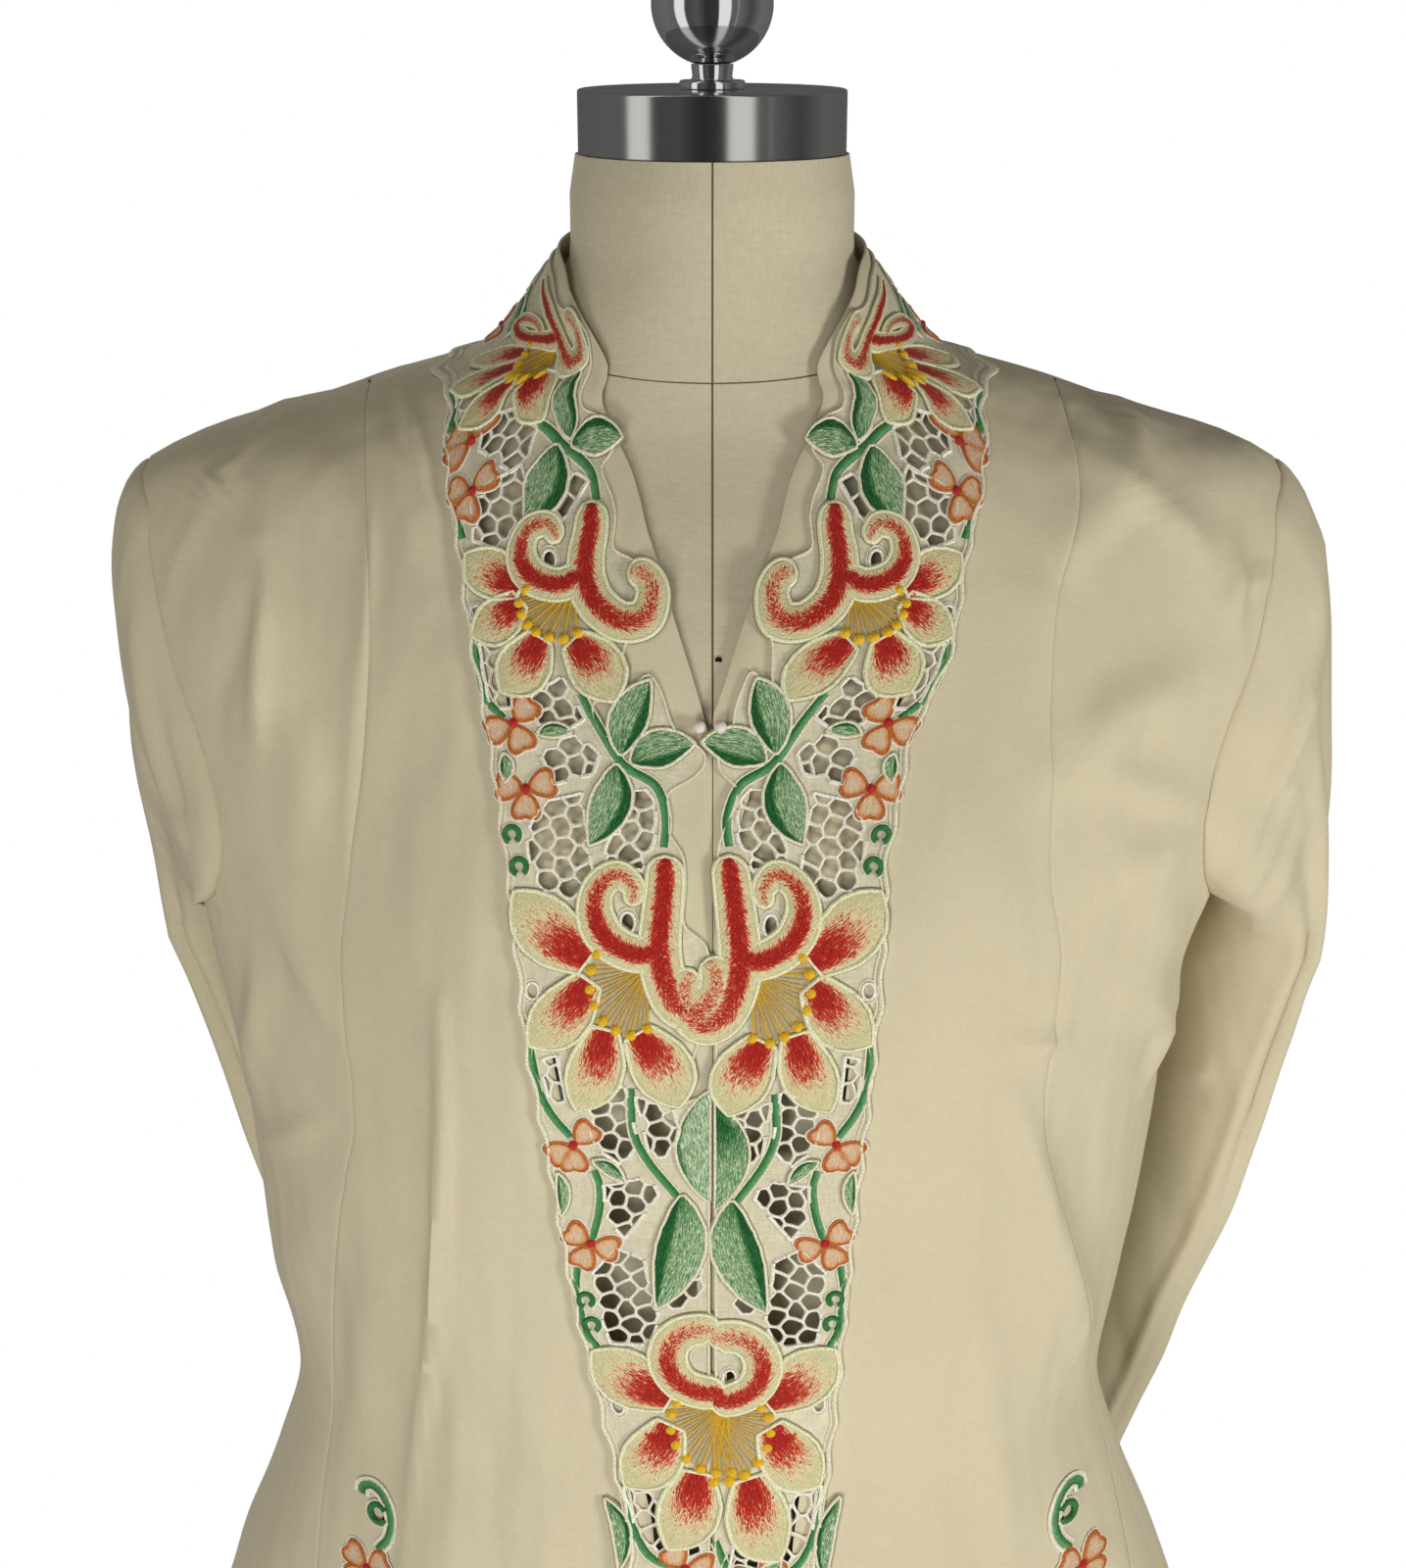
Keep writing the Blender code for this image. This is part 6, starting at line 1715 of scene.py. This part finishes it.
def half_leaf(work, strip):
    """Half of the leaf that lies over the centre front: pale and ribbed on the right, darker on the left."""
    start, end, reach = CENTRE_LEAF
    share = np.linspace(0, 1, 40)
    along = (start + (end - start) * share)[:, None]
    edge = strip.garment_edge(along[:, 0])[:, None] - 0.7
    out = reach * np.sin(math.pi * share[:, None]**0.9) ** 0.75
    q = np.linspace(0, 1, 12)
    across = edge - out * q
    spots = stacked(along, across)
    level = 0.25 + 0.9 * np.sin(math.pi * (0.15 + 0.8 * q)) * np.clip(out / 2, 0.3, 1)
    level[:, (0, -1)] = -0.05
    ribs = np.sin(1.15 * (along + 0.8 * (edge - across))) ** 8
    if strip.side == "right":
        tone = 0.26 - 0.2 * ribs + 0.5 * np.clip((q - 0.8) / 0.15, 0, 1)
    else:
        dark = np.clip((0.55 - share[:, None]) / 0.3, 0, 1) * np.clip(1.2 - q, 0, 1)
        tone = 0.34 + 0.5 * dark - 0.15 * ribs
    thread = stacked(along * 0.7 + across * 0.7, across, 0.0)
    work.add(raised(spots, level), grid_faces(*across.shape), "leaf", tone.reshape(-1), thread)
    outline = np.concatenate([spots[:, -1], spots[::-1, 0]])
    cord(work, spaced(outline, 0.2), 0.5, 0.45, closed=True, sides=6)


def stem(work, line):
    """A green cord with a pale thread on each side."""
    widths = ((0, STEM_HALF_WIDTH * 0.8), (0.5, STEM_HALF_WIDTH), (1, STEM_HALF_WIDTH * 0.9))
    # The tone runs from lighter on one side of the round cord to darker on the other: a painted highlight and
    # painted shade across it.
    blade(work, line, widths, "stem", lambda share, q: 0.62 + 0.25 * q, 0.2, 0.6, across=5, step=STEM_STEP)
    both_sides(work, line, STEM_HALF_WIDTH + 0.25, 0.36, 0.2, "cord")


def both_sides(work, line, off, radius, height, finish):
    """A thread on each side of a stem."""
    path, _ = path_of(line, STEM_STEP)
    for way in (-1, 1):
        cord(work, path + way * off * side_of(path), radius, height, finish)


def blossom(work, centre, petals, size):
    """A small flower: heart-shaped petals round a red knot. petals are the petals' outer ends."""
    centre = np.array(centre, float)
    turn = whole_turn(22)
    # A heart with its point at the flower's centre.
    along = 0.56 - 0.46 * np.cos(turn)
    reach = 0.5 * np.sin(turn) * (0.44 + 0.66 * along)
    notch = bell(turn - math.pi, 0.34) * 0.13
    for tip in petals:
        away = np.array(tip, float) - centre
        away /= np.linalg.norm(away)
        left = left_of(away)
        outline = centre + away * ((along - notch) * size)[:, None] + left * (reach * size * 1.05)[:, None]
        middle = outline.mean(axis=0)
        flat = np.array([raised(middle + (outline - middle) * share, np.full(len(turn), level))
                         for share, level, _ in BLOSSOM_RINGS])
        tones = np.repeat([tone for _, _, tone in BLOSSOM_RINGS], len(turn))
        work.add(flat, grid_faces(len(flat), len(turn), True), "blossom", tones, flat * (1.3, 1.3, 1.0))
        cord(work, outline, 0.45, 0.35, "blossom", closed=True, tone=0.66)
        cord(work, middle + (outline - middle) * 1.16, 0.34, 0.1, "net", closed=True)
    knot(work, centre, 1.8, "knot", 1.6)


def curl(work, centre, radius):
    """A small open ring of green cord."""
    turn = np.linspace(0.5, 0.5 + 1.7 * math.pi, 17)
    ring = radius * stacked(np.cos(turn), np.sin(turn))
    cord(work, centre + ring, 1.05, 0.4, "stem", sides=6, tone=0.75)
    cord(work, centre + ring * 1.5, 0.36, 0.15)


def net_shapes(outline):
    """The open cells of every net patch, whole, with the patch each belongs to."""
    kept = []
    for number, patch in enumerate(NET_PATCHES):
        for shape in open_cells(patch, number):
            hole = np.array(inset(shape, NET_THREAD))
            if len(hole) < 3 or area(hole) < LEAST_OPEN:
                continue
            if inside(hole, outline).all() and distance_to(hole, outline).min() > EDGE_ROOM:
                kept.append((np.array(shape), hole, np.array(patch, float)))
    return kept


def open_cells(patch, number):
    """Uneven bricks that fill a patch."""
    corners = np.array(patch, float)
    low = corners.min(axis=0) - NET_PITCH
    high = corners.max(axis=0) + NET_PITCH
    seeds = []
    row = 0
    y = low[1]
    while y < high[1]:
        x = low[0] + (row % 2) * NET_PITCH / 2
        while x < high[0]:
            wobble = 12.9898 * x + 78.233 * y + number
            seeds.append((x + NET_WOBBLE * math.sin(wobble), y + NET_WOBBLE * math.cos(1.7 * wobble)))
            x += NET_PITCH
        y += NET_PITCH * 0.9
        row += 1
    seeds = np.array(seeds)
    for seed in seeds:
        shape = list(corners)
        nearest = np.argsort(np.hypot(*(seeds - seed).T))[1:13]
        for other in seeds[nearest]:
            shape = clipped(shape, (seed + other) / 2, other - seed)
            if len(shape) < 3:
                break
        if len(shape) >= 3:
            yield shape


def rounded(polygon):
    """A polygon with its corners cut round, twice."""
    shape = np.array(polygon, float)
    for _ in range(2):
        ahead = np.roll(shape, -1, axis=0)
        shape = np.stack([0.78 * shape + 0.22 * ahead, 0.22 * shape + 0.78 * ahead], 1).reshape(-1, 2)
    return shape


def lay_net(work, shapes):
    """White threads on the shared sides of the cells, and thicker ones round each patch."""
    done = set()
    for shape, _, patch in shapes:
        for start, end in zip(shape, np.roll(shape, -1, axis=0)):
            middle = (start + end) / 2
            key = (round(middle[0], 1), round(middle[1], 1))
            length = float(np.hypot(*(end - start)))
            if key in done or length < SHORTEST_SIDE:
                continue
            done.add(key)
            on_rim = distance_to(middle[None], patch)[0] < 0.05
            share = np.linspace(-0.02, 1.02, 5)[:, None]
            sag = 0.12 * math.sin(31 * middle[0] + 17 * middle[1]) * length * 0.5
            left = left_of(end - start) / length
            line = start + (end - start) * share + left * (sag * np.sin(math.pi * np.clip(share, 0, 1)))
            cord(work, line, 0.75 if on_rim else 0.56, 0.1 if on_rim else -0.25, "net")


def flat_lace(strip):
    """The lace's flat outline and its holes, finer than the solid's."""
    coarse = lace_outline(strip)
    inner = strip.lace_edge(2.5)
    for _ in range(4):
        inner[1:-1] = 0.25 * inner[:-2] + 0.5 * inner[1:-1] + 0.25 * inner[2:]
    outer_along = np.linspace(inner[0, 0], inner[-1, 0], 12 * SCALLOP_COUNT + 1)
    phase = np.linspace(0, 2 * math.pi * SCALLOP_COUNT, len(outer_along))
    outer = np.stack([outer_along, SCALLOP * (0.5 - 0.5 * np.cos(phase)) ** 0.7], -1)
    shapes = net_shapes(coarse)
    holes = [rounded(hole) for _, hole, _ in shapes]
    eyes = []
    turn = whole_turn(16)
    for along, across, half_length, half_width in EYELETS:
        ring = np.stack([along + half_length * np.cos(turn), across + half_width * np.sin(turn)], -1)
        clear = inside(ring, coarse).all() and distance_to(ring, coarse).min() > EDGE_ROOM
        if clear and all(distance_to(ring, other).min() > 0.6 for other in holes):
            eyes.append(ring)
    return outer, inner, shapes, holes, eyes


def lace_faces(strip, outline, holes):
    """The lace's flat points and triangles, with its holes left open."""
    rings = [outline] + holes
    points = []
    edges = []
    for ring in rings:
        start = len(points)
        points += [tuple(p) for p in ring]
        edges += [(start + k, start + (k + 1) % len(ring)) for k in range(len(ring))]
    along = np.arange(strip.start + 1, strip.end, LACE_STEP)
    grid = np.array([(s, w) for s in along for w in np.arange(2, 80, LACE_STEP)])
    free = inside(grid, outline) & (distance_to(grid, outline) > 1.2)
    for hole in holes:
        near = np.hypot(*(grid - hole.mean(axis=0)).T) < HOLE_REACH
        if near.any():
            spots = grid[near]
            free[near] &= ~inside(spots, hole) & (distance_to(spots, hole) > 1.0)
    points += [tuple(p) for p in grid[free]]
    return filled(points, edges, rings)


def dress_lace(side, strip):
    """One lace half: its ground with the holes, the net and cords in them, and the stitching."""
    outer, inner, shapes, holes, eyes = flat_lace(strip)
    outline = np.concatenate([outer, inner[::-1]])
    flat, triangles = lace_faces(strip, outline, holes + eyes)
    top = strip.on(flat[:, 0], flat[:, 1], LACE_FACE)
    low = strip.on(flat[:, 0], flat[:, 1], LACE_FACE - LACE_THIN)
    count = len(top)
    faces = [tuple(map(int, face)) for face in triangles]
    sides = {edge for a, b, c in faces for edge in ((a, b), (b, c), (c, a))}
    faces += [tuple(corner + count for corner in reversed(face)) for face in faces]
    faces += [(b, a, a + count, b + count) for a, b in sides if (b, a) not in sides]
    ground = add_mesh(f"lace_{side}_ground", np.concatenate([top, low]), faces, ["ground"])
    stand_for(ground, f"lace_{side}", "lace")

    def put(s, w, h):
        return strip.on(s, w, LACE_FACE + h)

    net = Stitches()
    lay_net(net, shapes)
    for ring in eyes:
        cord(net, ring, 0.6, 0.15, "net", closed=True, sides=6)
    for ring in eyes:
        cord(net, ring + (ring - ring.mean(axis=0)) * 0.42, 0.32, 0.15, closed=True)
    cord(net, outer + (0, 0.7), 0.8, 0.15, sides=7)
    cord(net, outer + (0, 2.6), 0.38, 0.15)
    cord(net, inner - (0, 0.5), 0.45, 0.1)
    work = Stitches()
    motifs(work, strip)
    on_top = [net.build(f"lace_{side}_net", put), work.build(f"lace_{side}_stitching", put)]
    lace_area = area(outline) - sum(area(ring) for ring in holes + eyes)


def motifs(work, strip):
    """All the flowers, leaves and stems of one lace half."""
    for shape in FLOWERS:
        flower(work, shape)
    for base, tip, half_width, dark_side in LEAVES:
        leaf(work, base, tip, half_width, dark_side, LEAF_EDGE)
    half_leaf(work, strip)
    for line in STEMS:
        stem(work, line)
    for centre, petals in BLOSSOMS:
        blossom(work, centre, petals, BLOSSOM_SIZE)
    for centre in CURLS:
        curl(work, centre, CURL_RADIUS)


def dress_form():
    """The form's padded body and neck, with its seams."""
    around = whole_turn(120)
    rings = []
    for height in between([0.3302, 0.345, 0.385, 0.76, 0.9, FORM_NECK], 0.006):
        centre, *row = drawn_section(height)
        ring = level_ring(around, (height, *row))
        ring[:, 0] += centre
        ring[:, 1] += bust(ring[:, 0], height) * np.minimum(np.sin(around), 0)
        rings.append(ring)
    start = (FORM_NECK, *drawn_section(FORM_NECK)[1:])
    for low, high, count in ((start, NECK_RINGS[0], 6), (*NECK_RINGS, 4)):
        for share in np.linspace(0, 1, count + 1)[1:]:
            rings.append(level_ring(around, [a + (b - a) * share for a, b in zip(low, high)]))
    rings = np.array(rings)
    stand_for(closed_body("form_canvas", rings, "canvas"), "form_body", "canvas")
    seam_lines(rings, around)


def level_ring(around, row):
    """A level ring of the form: its height, half width, and depth to the front and to the back."""
    height, half_width, front, back_depth = row
    facing = np.sin(around)
    return stacked(half_width * np.cos(around), np.where(facing > 0, back_depth, front) * facing, height)


def closed_body(name, rings, finish):
    """A closed body from rings of points."""
    rows, columns = rings.shape[:2]
    points = list(rings.reshape(-1, 3)) + [rings[0].mean(axis=0), rings[-1].mean(axis=0)]
    faces = [tuple(face) for face in grid_faces(rows, columns, True)]
    bottom = rows * columns
    last = (rows - 1) * columns
    for j in range(columns):
        k = (j + 1) % columns
        faces.append((bottom, k, j))
        faces.append((bottom + 1, last + j, last + k))
    return add_mesh(name, points, faces, [finish])


def tube(name, line, radius, finish, closed=False):
    """A round cord in space along a path of points."""
    line = np.asarray(line, float)
    way = np.roll(line, -1, axis=0) - np.roll(line, 1, axis=0) if closed else np.gradient(line, axis=0)
    way /= np.linalg.norm(way, axis=1, keepdims=True)
    side = np.cross(way, (0.0, 0.0, 1.0))
    upright = np.linalg.norm(side, axis=1) < 1e-3
    side[upright] = (1.0, 0.0, 0.0)
    side /= np.linalg.norm(side, axis=1, keepdims=True)
    other = np.cross(side, way)
    turn = whole_turn(TUBE_SIDES)[None, :, None]
    rings = line[:, None] + radius * (side[:, None] * np.cos(turn) + other[:, None] * np.sin(turn))
    if closed:
        rings = np.concatenate([rings, rings[:1]])
        return add_mesh(name, rings.reshape(-1, 3), grid_faces(len(rings), TUBE_SIDES, True), [finish])
    return closed_body(name, rings, finish)


def drawn_section(height):
    """The drawn form's centre, half width, and depth to the front and to the back."""
    half_width, centre, front, back_depth = form_section(height)
    return centre, half_width - FORM_INSET, front - FORM_INSET, back_depth - FORM_INSET


def seam_lines(rings, around):
    """The form's seams: one down the front, one down the back, and one round the base of the neck."""
    for name, place, proud in (("front", 90, SEAM_PROUD), ("back", 30, -SEAM_PROUD)):
        line = rings[:, place].copy()
        line[:, 1] += proud
        tube(f"form_seam_{name}", line[line[:, 2] > SEAM_FROM], SEAM_THREAD, "seam")
    neck = []
    for angle in around:
        facing = math.sin(angle)
        drop = NECK_SEAM_FRONT if facing < 0 else NECK_SEAM_BACK
        height = NECK_SEAM_SIDE + (drop - NECK_SEAM_SIDE) * abs(facing) ** 1.6
        centre, half_width, front, back_depth = drawn_section(height)
        depth = back_depth if facing > 0 else front
        neck.append((centre + half_width * math.cos(angle), depth * facing, height))
    tube("form_seam_neck", neck, SEAM_THREAD, "seam", closed=True)
    # The pin hole is a near-black disc on the form: painted shade in place of the hole's shaded inside.
    x, height = PIN_HOLE
    y = -drawn_section(height)[2] * math.sqrt(1 - (x / form_section(height)[0]) ** 2)
    turned_piece("form_pin_hole_painted_shade", [(PIN_HOLE_RADIUS, -SEAM_PROUD), (PIN_HOLE_RADIUS, SEAM_PROUD)], 16, "hole",
                 (x, y - SEAM_PROUD, height), level=False)


def turned_piece(name, profile, segments, finish, centre=(0.0, 0.0, 0.0), level=True):
    """A turned body from (radius, height) pairs. level=False lays its axis along Y."""
    turn = whole_turn(segments)
    rings = []
    for radius, height in profile:
        x, y = radius * np.cos(turn), radius * np.sin(turn)
        rings.append(stacked(x, y, height) if level else stacked(x, height, y))
    return closed_body(name, np.array(rings) + np.array(centre), finish)


def on_arc(radius, height, reach, turns):
    """Places of a turned profile on a round arc, whose centre is reach out and at a height."""
    return [(reach + radius * math.cos(turn), height + radius * math.sin(turn)) for turn in turns]


def dress_hardware():
    """The metal on the form's neck and the stand under it, from the top of the form outwards."""
    quarter = np.radians(np.linspace(0, 90, 7))
    collar_bottom = CAP_TOP + SEAM_GAP
    collar_top = collar_bottom + COLLAR_HEIGHT
    post_seat = POST_RADIUS * 0.9
    post_top = KNOB_CENTRE - math.sqrt(KNOB_RADIUS**2 - post_seat**2) - SEAM_GAP
    flange_top = FORM_BOTTOM - SEAM_GAP
    flange_bottom = flange_top - FLANGE_THICKNESS
    cap = [(CAP_RADIUS - 0.0002, CAP_BOTTOM + 0.0001)]
    cap += on_arc(SOFT_EDGE, CAP_TOP - SOFT_EDGE, CAP_RADIUS - SOFT_EDGE, quarter)
    collar = [(COLLAR_RADIUS, collar_bottom)]
    collar += on_arc(SOFT_EDGE, collar_top - SOFT_EDGE, COLLAR_RADIUS - SOFT_EDGE, quarter)
    post = [(POST_RADIUS, collar_top + SEAM_GAP), (POST_RADIUS * 0.94, collar_top + 0.0012)]
    post.append((POST_RADIUS, post_top))
    tilt = np.linspace(-math.acos(post_seat / KNOB_RADIUS), math.radians(88.5), 56)
    flange = (
        (FLANGE_RADIUS - FLANGE_SOFT, flange_bottom), (FLANGE_RADIUS, flange_bottom + FLANGE_SOFT),
        (FLANGE_RADIUS, flange_top - FLANGE_SOFT), (FLANGE_RADIUS - FLANGE_SOFT, flange_top),
    )
    pole = ((POLE_RADIUS, BASE_TOP + SEAM_GAP), (POLE_RADIUS, flange_bottom - SEAM_GAP))
    base = (
        (BASE_RADIUS - 0.001, 0.0), (BASE_RADIUS, 0.001), (BASE_RADIUS, BASE_EDGE - 0.001),
        (BASE_RADIUS - 0.0015, BASE_EDGE + 0.0012), (BASE_RADIUS * 0.96, BASE_EDGE * 1.5),
        (BASE_RADIUS * 0.25, BASE_TOP - 0.001), (BASE_RADIUS * 0.14, BASE_TOP),
    )
    for node, end, profile, segments, finish, slot in (
        ("neck_cap", "steel", cap, 96, "steel", "cap_steel"),
        ("knob_collar", "chrome", collar, 64, "chrome", "knob_chrome"),
        ("knob_post", "chrome", post, 48, "chrome", "knob_chrome"),
        ("knob", "ball_chrome", on_arc(KNOB_RADIUS, KNOB_CENTRE, 0.0, tilt), 72, "chrome", "knob_chrome"),
        ("pole_flange", "black", flange, 64, "stand", "stand"),
        ("pole", "black", pole, 48, "stand", "stand"),
        ("base_plate", "black", base, 96, "stand", "stand"),
    ):
        stand_for(turned_piece(f"{node}_{end}", profile, segments, finish), node, slot)


def dress_pearls():
    """The two pearls at the closing point, just off the cloth."""
    for side, x, height in PEARLS:
        angle = front_angle(np.array([x]), height)
        centre = lifted(angle, np.array([height]), CLOTH + PIN_GAP + PEARL_RADIUS)[0]
        ball = on_arc(PEARL_RADIUS, centre[2], 0.0, np.radians(np.linspace(-88, 88, 20)))
        piece = turned_piece(f"pearl_{side}", ball, 28, "pearl", (centre[0], centre[1], 0.0))
        stand_for(piece, f"pearl_pin_{side}", "pearl")


def dress_sprigs():
    """The small spray near each front's hem. Its stitches follow the cloth's creases."""
    for side, x, height, lean in SPRIGS:
        sign = SIGN[side]
        turn = math.radians(lean)

        def put(p, q, h, x=x, height=height, sign=sign, turn=turn):
            flat_x = -sign * p * MM
            across = x + flat_x * math.cos(turn) - q * MM * math.sin(turn)
            level = height + flat_x * math.sin(turn) + q * MM * math.cos(turn)
            angle = front_angle(across, level)
            rise = creases(skin(angle, level)[..., 0], level, np.sin(angle))
            return lifted(angle, level, SPRIG_FACE + h + np.maximum(rise, 0))

        work = Stitches()
        stem(work, SPRIG_STEM)
        for base, tip, half_width, dark_side in SPRIG_LEAVES:
            leaf(work, base, tip, half_width, dark_side, SPRIG_LEAF_EDGE)
        curl(work, SPRIG_CURL, SPRIG_CURL_RADIUS)
        blossom(work, (0, 0), SPRIG_PETALS, SPRIG_BLOSSOM_SIZE)
        both_sides(work, SPRIG_STEM, SPRIG_BORDER, 0.5, 0.0, "net")
        stand_for(work.build(f"hem_sprig_{side}_stitching", put), f"hem_sprig_{side}", "lace")


def studio(scene):
    """White behind the blouse, an even soft light on the cloth, and bright strips that only metal shows."""
    world = bpy.data.worlds.new("world")
    scene.world = world
    world.use_nodes = True
    nodes = Nodes(world.node_tree)
    backdrop = world.node_tree.nodes["Background"]
    backdrop.inputs["Color"].default_value = (1, 1, 1, 1)
    even = nodes.node("ShaderNodeBackground", Color=WORLD_COLOUR, Strength=WORLD_LIGHT)
    way = nodes.node("ShaderNodeSeparateXYZ")
    nodes.link(nodes.node("ShaderNodeTexCoord").outputs["Generated"], way.inputs["Vector"])
    ahead = nodes.maths("MULTIPLY", way.outputs["Y"], -1)
    turn = nodes.maths("ARCTAN2", way.outputs["X"], ahead)
    share = nodes.maths("MULTIPLY_ADD", turn, 1 / (2 * math.pi), 0.5)
    stops = [(degrees / 360 + 0.5, (grey, grey, grey, 1)) for degrees, grey in STUDIO_STRIPS]
    strips = nodes.node("ShaderNodeBackground")
    nodes.link(nodes.ramp(share, stops), strips.inputs["Color"])
    path = nodes.node("ShaderNodeLightPath")
    shown = even.outputs["Background"]
    for ray, other in (("Is Glossy Ray", strips), ("Is Camera Ray", backdrop)):
        mixed = nodes.node("ShaderNodeMixShader")
        nodes.link(path.outputs[ray], mixed.inputs["Fac"])
        nodes.link(shown, mixed.inputs[1])
        nodes.link(other.outputs["Background"], mixed.inputs[2])
        shown = mixed.outputs["Shader"]
    nodes.link(shown, world.node_tree.nodes["World Output"].inputs["Surface"])


def light_and_camera():
    """The camera, the lamps and how the picture is taken."""
    scene = bpy.context.scene
    camera_data = bpy.data.cameras.new("camera")
    camera = bpy.data.objects.new("camera", camera_data)
    scene.collection.objects.link(camera)
    camera.location = CAMERA_PLACE
    camera.rotation_euler = (math.radians(CAMERA_PITCH), 0, 0)
    camera_data.sensor_fit = "VERTICAL"
    camera_data.sensor_height = SENSOR_HEIGHT
    camera_data.lens = LENS
    scene.camera = camera
    studio(scene)
    for name, place, target, size, power in LIGHTS:
        data = bpy.data.lights.new(name, "AREA")
        data.shape = "RECTANGLE"
        data.size, data.size_y = size
        data.energy = power
        data.color = LAMP_COLOUR
        lamp = bpy.data.objects.new(name, data)
        scene.collection.objects.link(lamp)
        lamp.location = place
        way = Vector(target) - Vector(place)
        lamp.rotation_euler = way.to_track_quat("-Z", "Y").to_euler()
        lamp.visible_glossy = False
        lamp.visible_camera = False
    scene.view_settings.view_transform = "Standard"
    scene.view_settings.look = "None"
    scene.render.film_transparent = False
    scene.cycles.use_denoising = True
    scene.cycles.samples = SAMPLES


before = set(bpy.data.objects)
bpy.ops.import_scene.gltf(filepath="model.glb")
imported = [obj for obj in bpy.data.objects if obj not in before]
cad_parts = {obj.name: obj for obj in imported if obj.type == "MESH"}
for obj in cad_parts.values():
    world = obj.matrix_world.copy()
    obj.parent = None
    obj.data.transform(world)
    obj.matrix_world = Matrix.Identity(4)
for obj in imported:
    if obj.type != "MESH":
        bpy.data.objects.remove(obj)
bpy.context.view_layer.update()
FINISHES = make_finishes()
STRIPS = {"right": Strip("right")}
STRIPS["left"] = Strip("left", STRIPS["right"].along)
dress_form()
dress_hardware()
dress_panels(STRIPS)
for SIDE, STRIP in STRIPS.items():
    dress_sleeve(SIDE)
    dress_lace(SIDE, STRIP)
dress_pearls()
dress_sprigs()
light_and_camera()
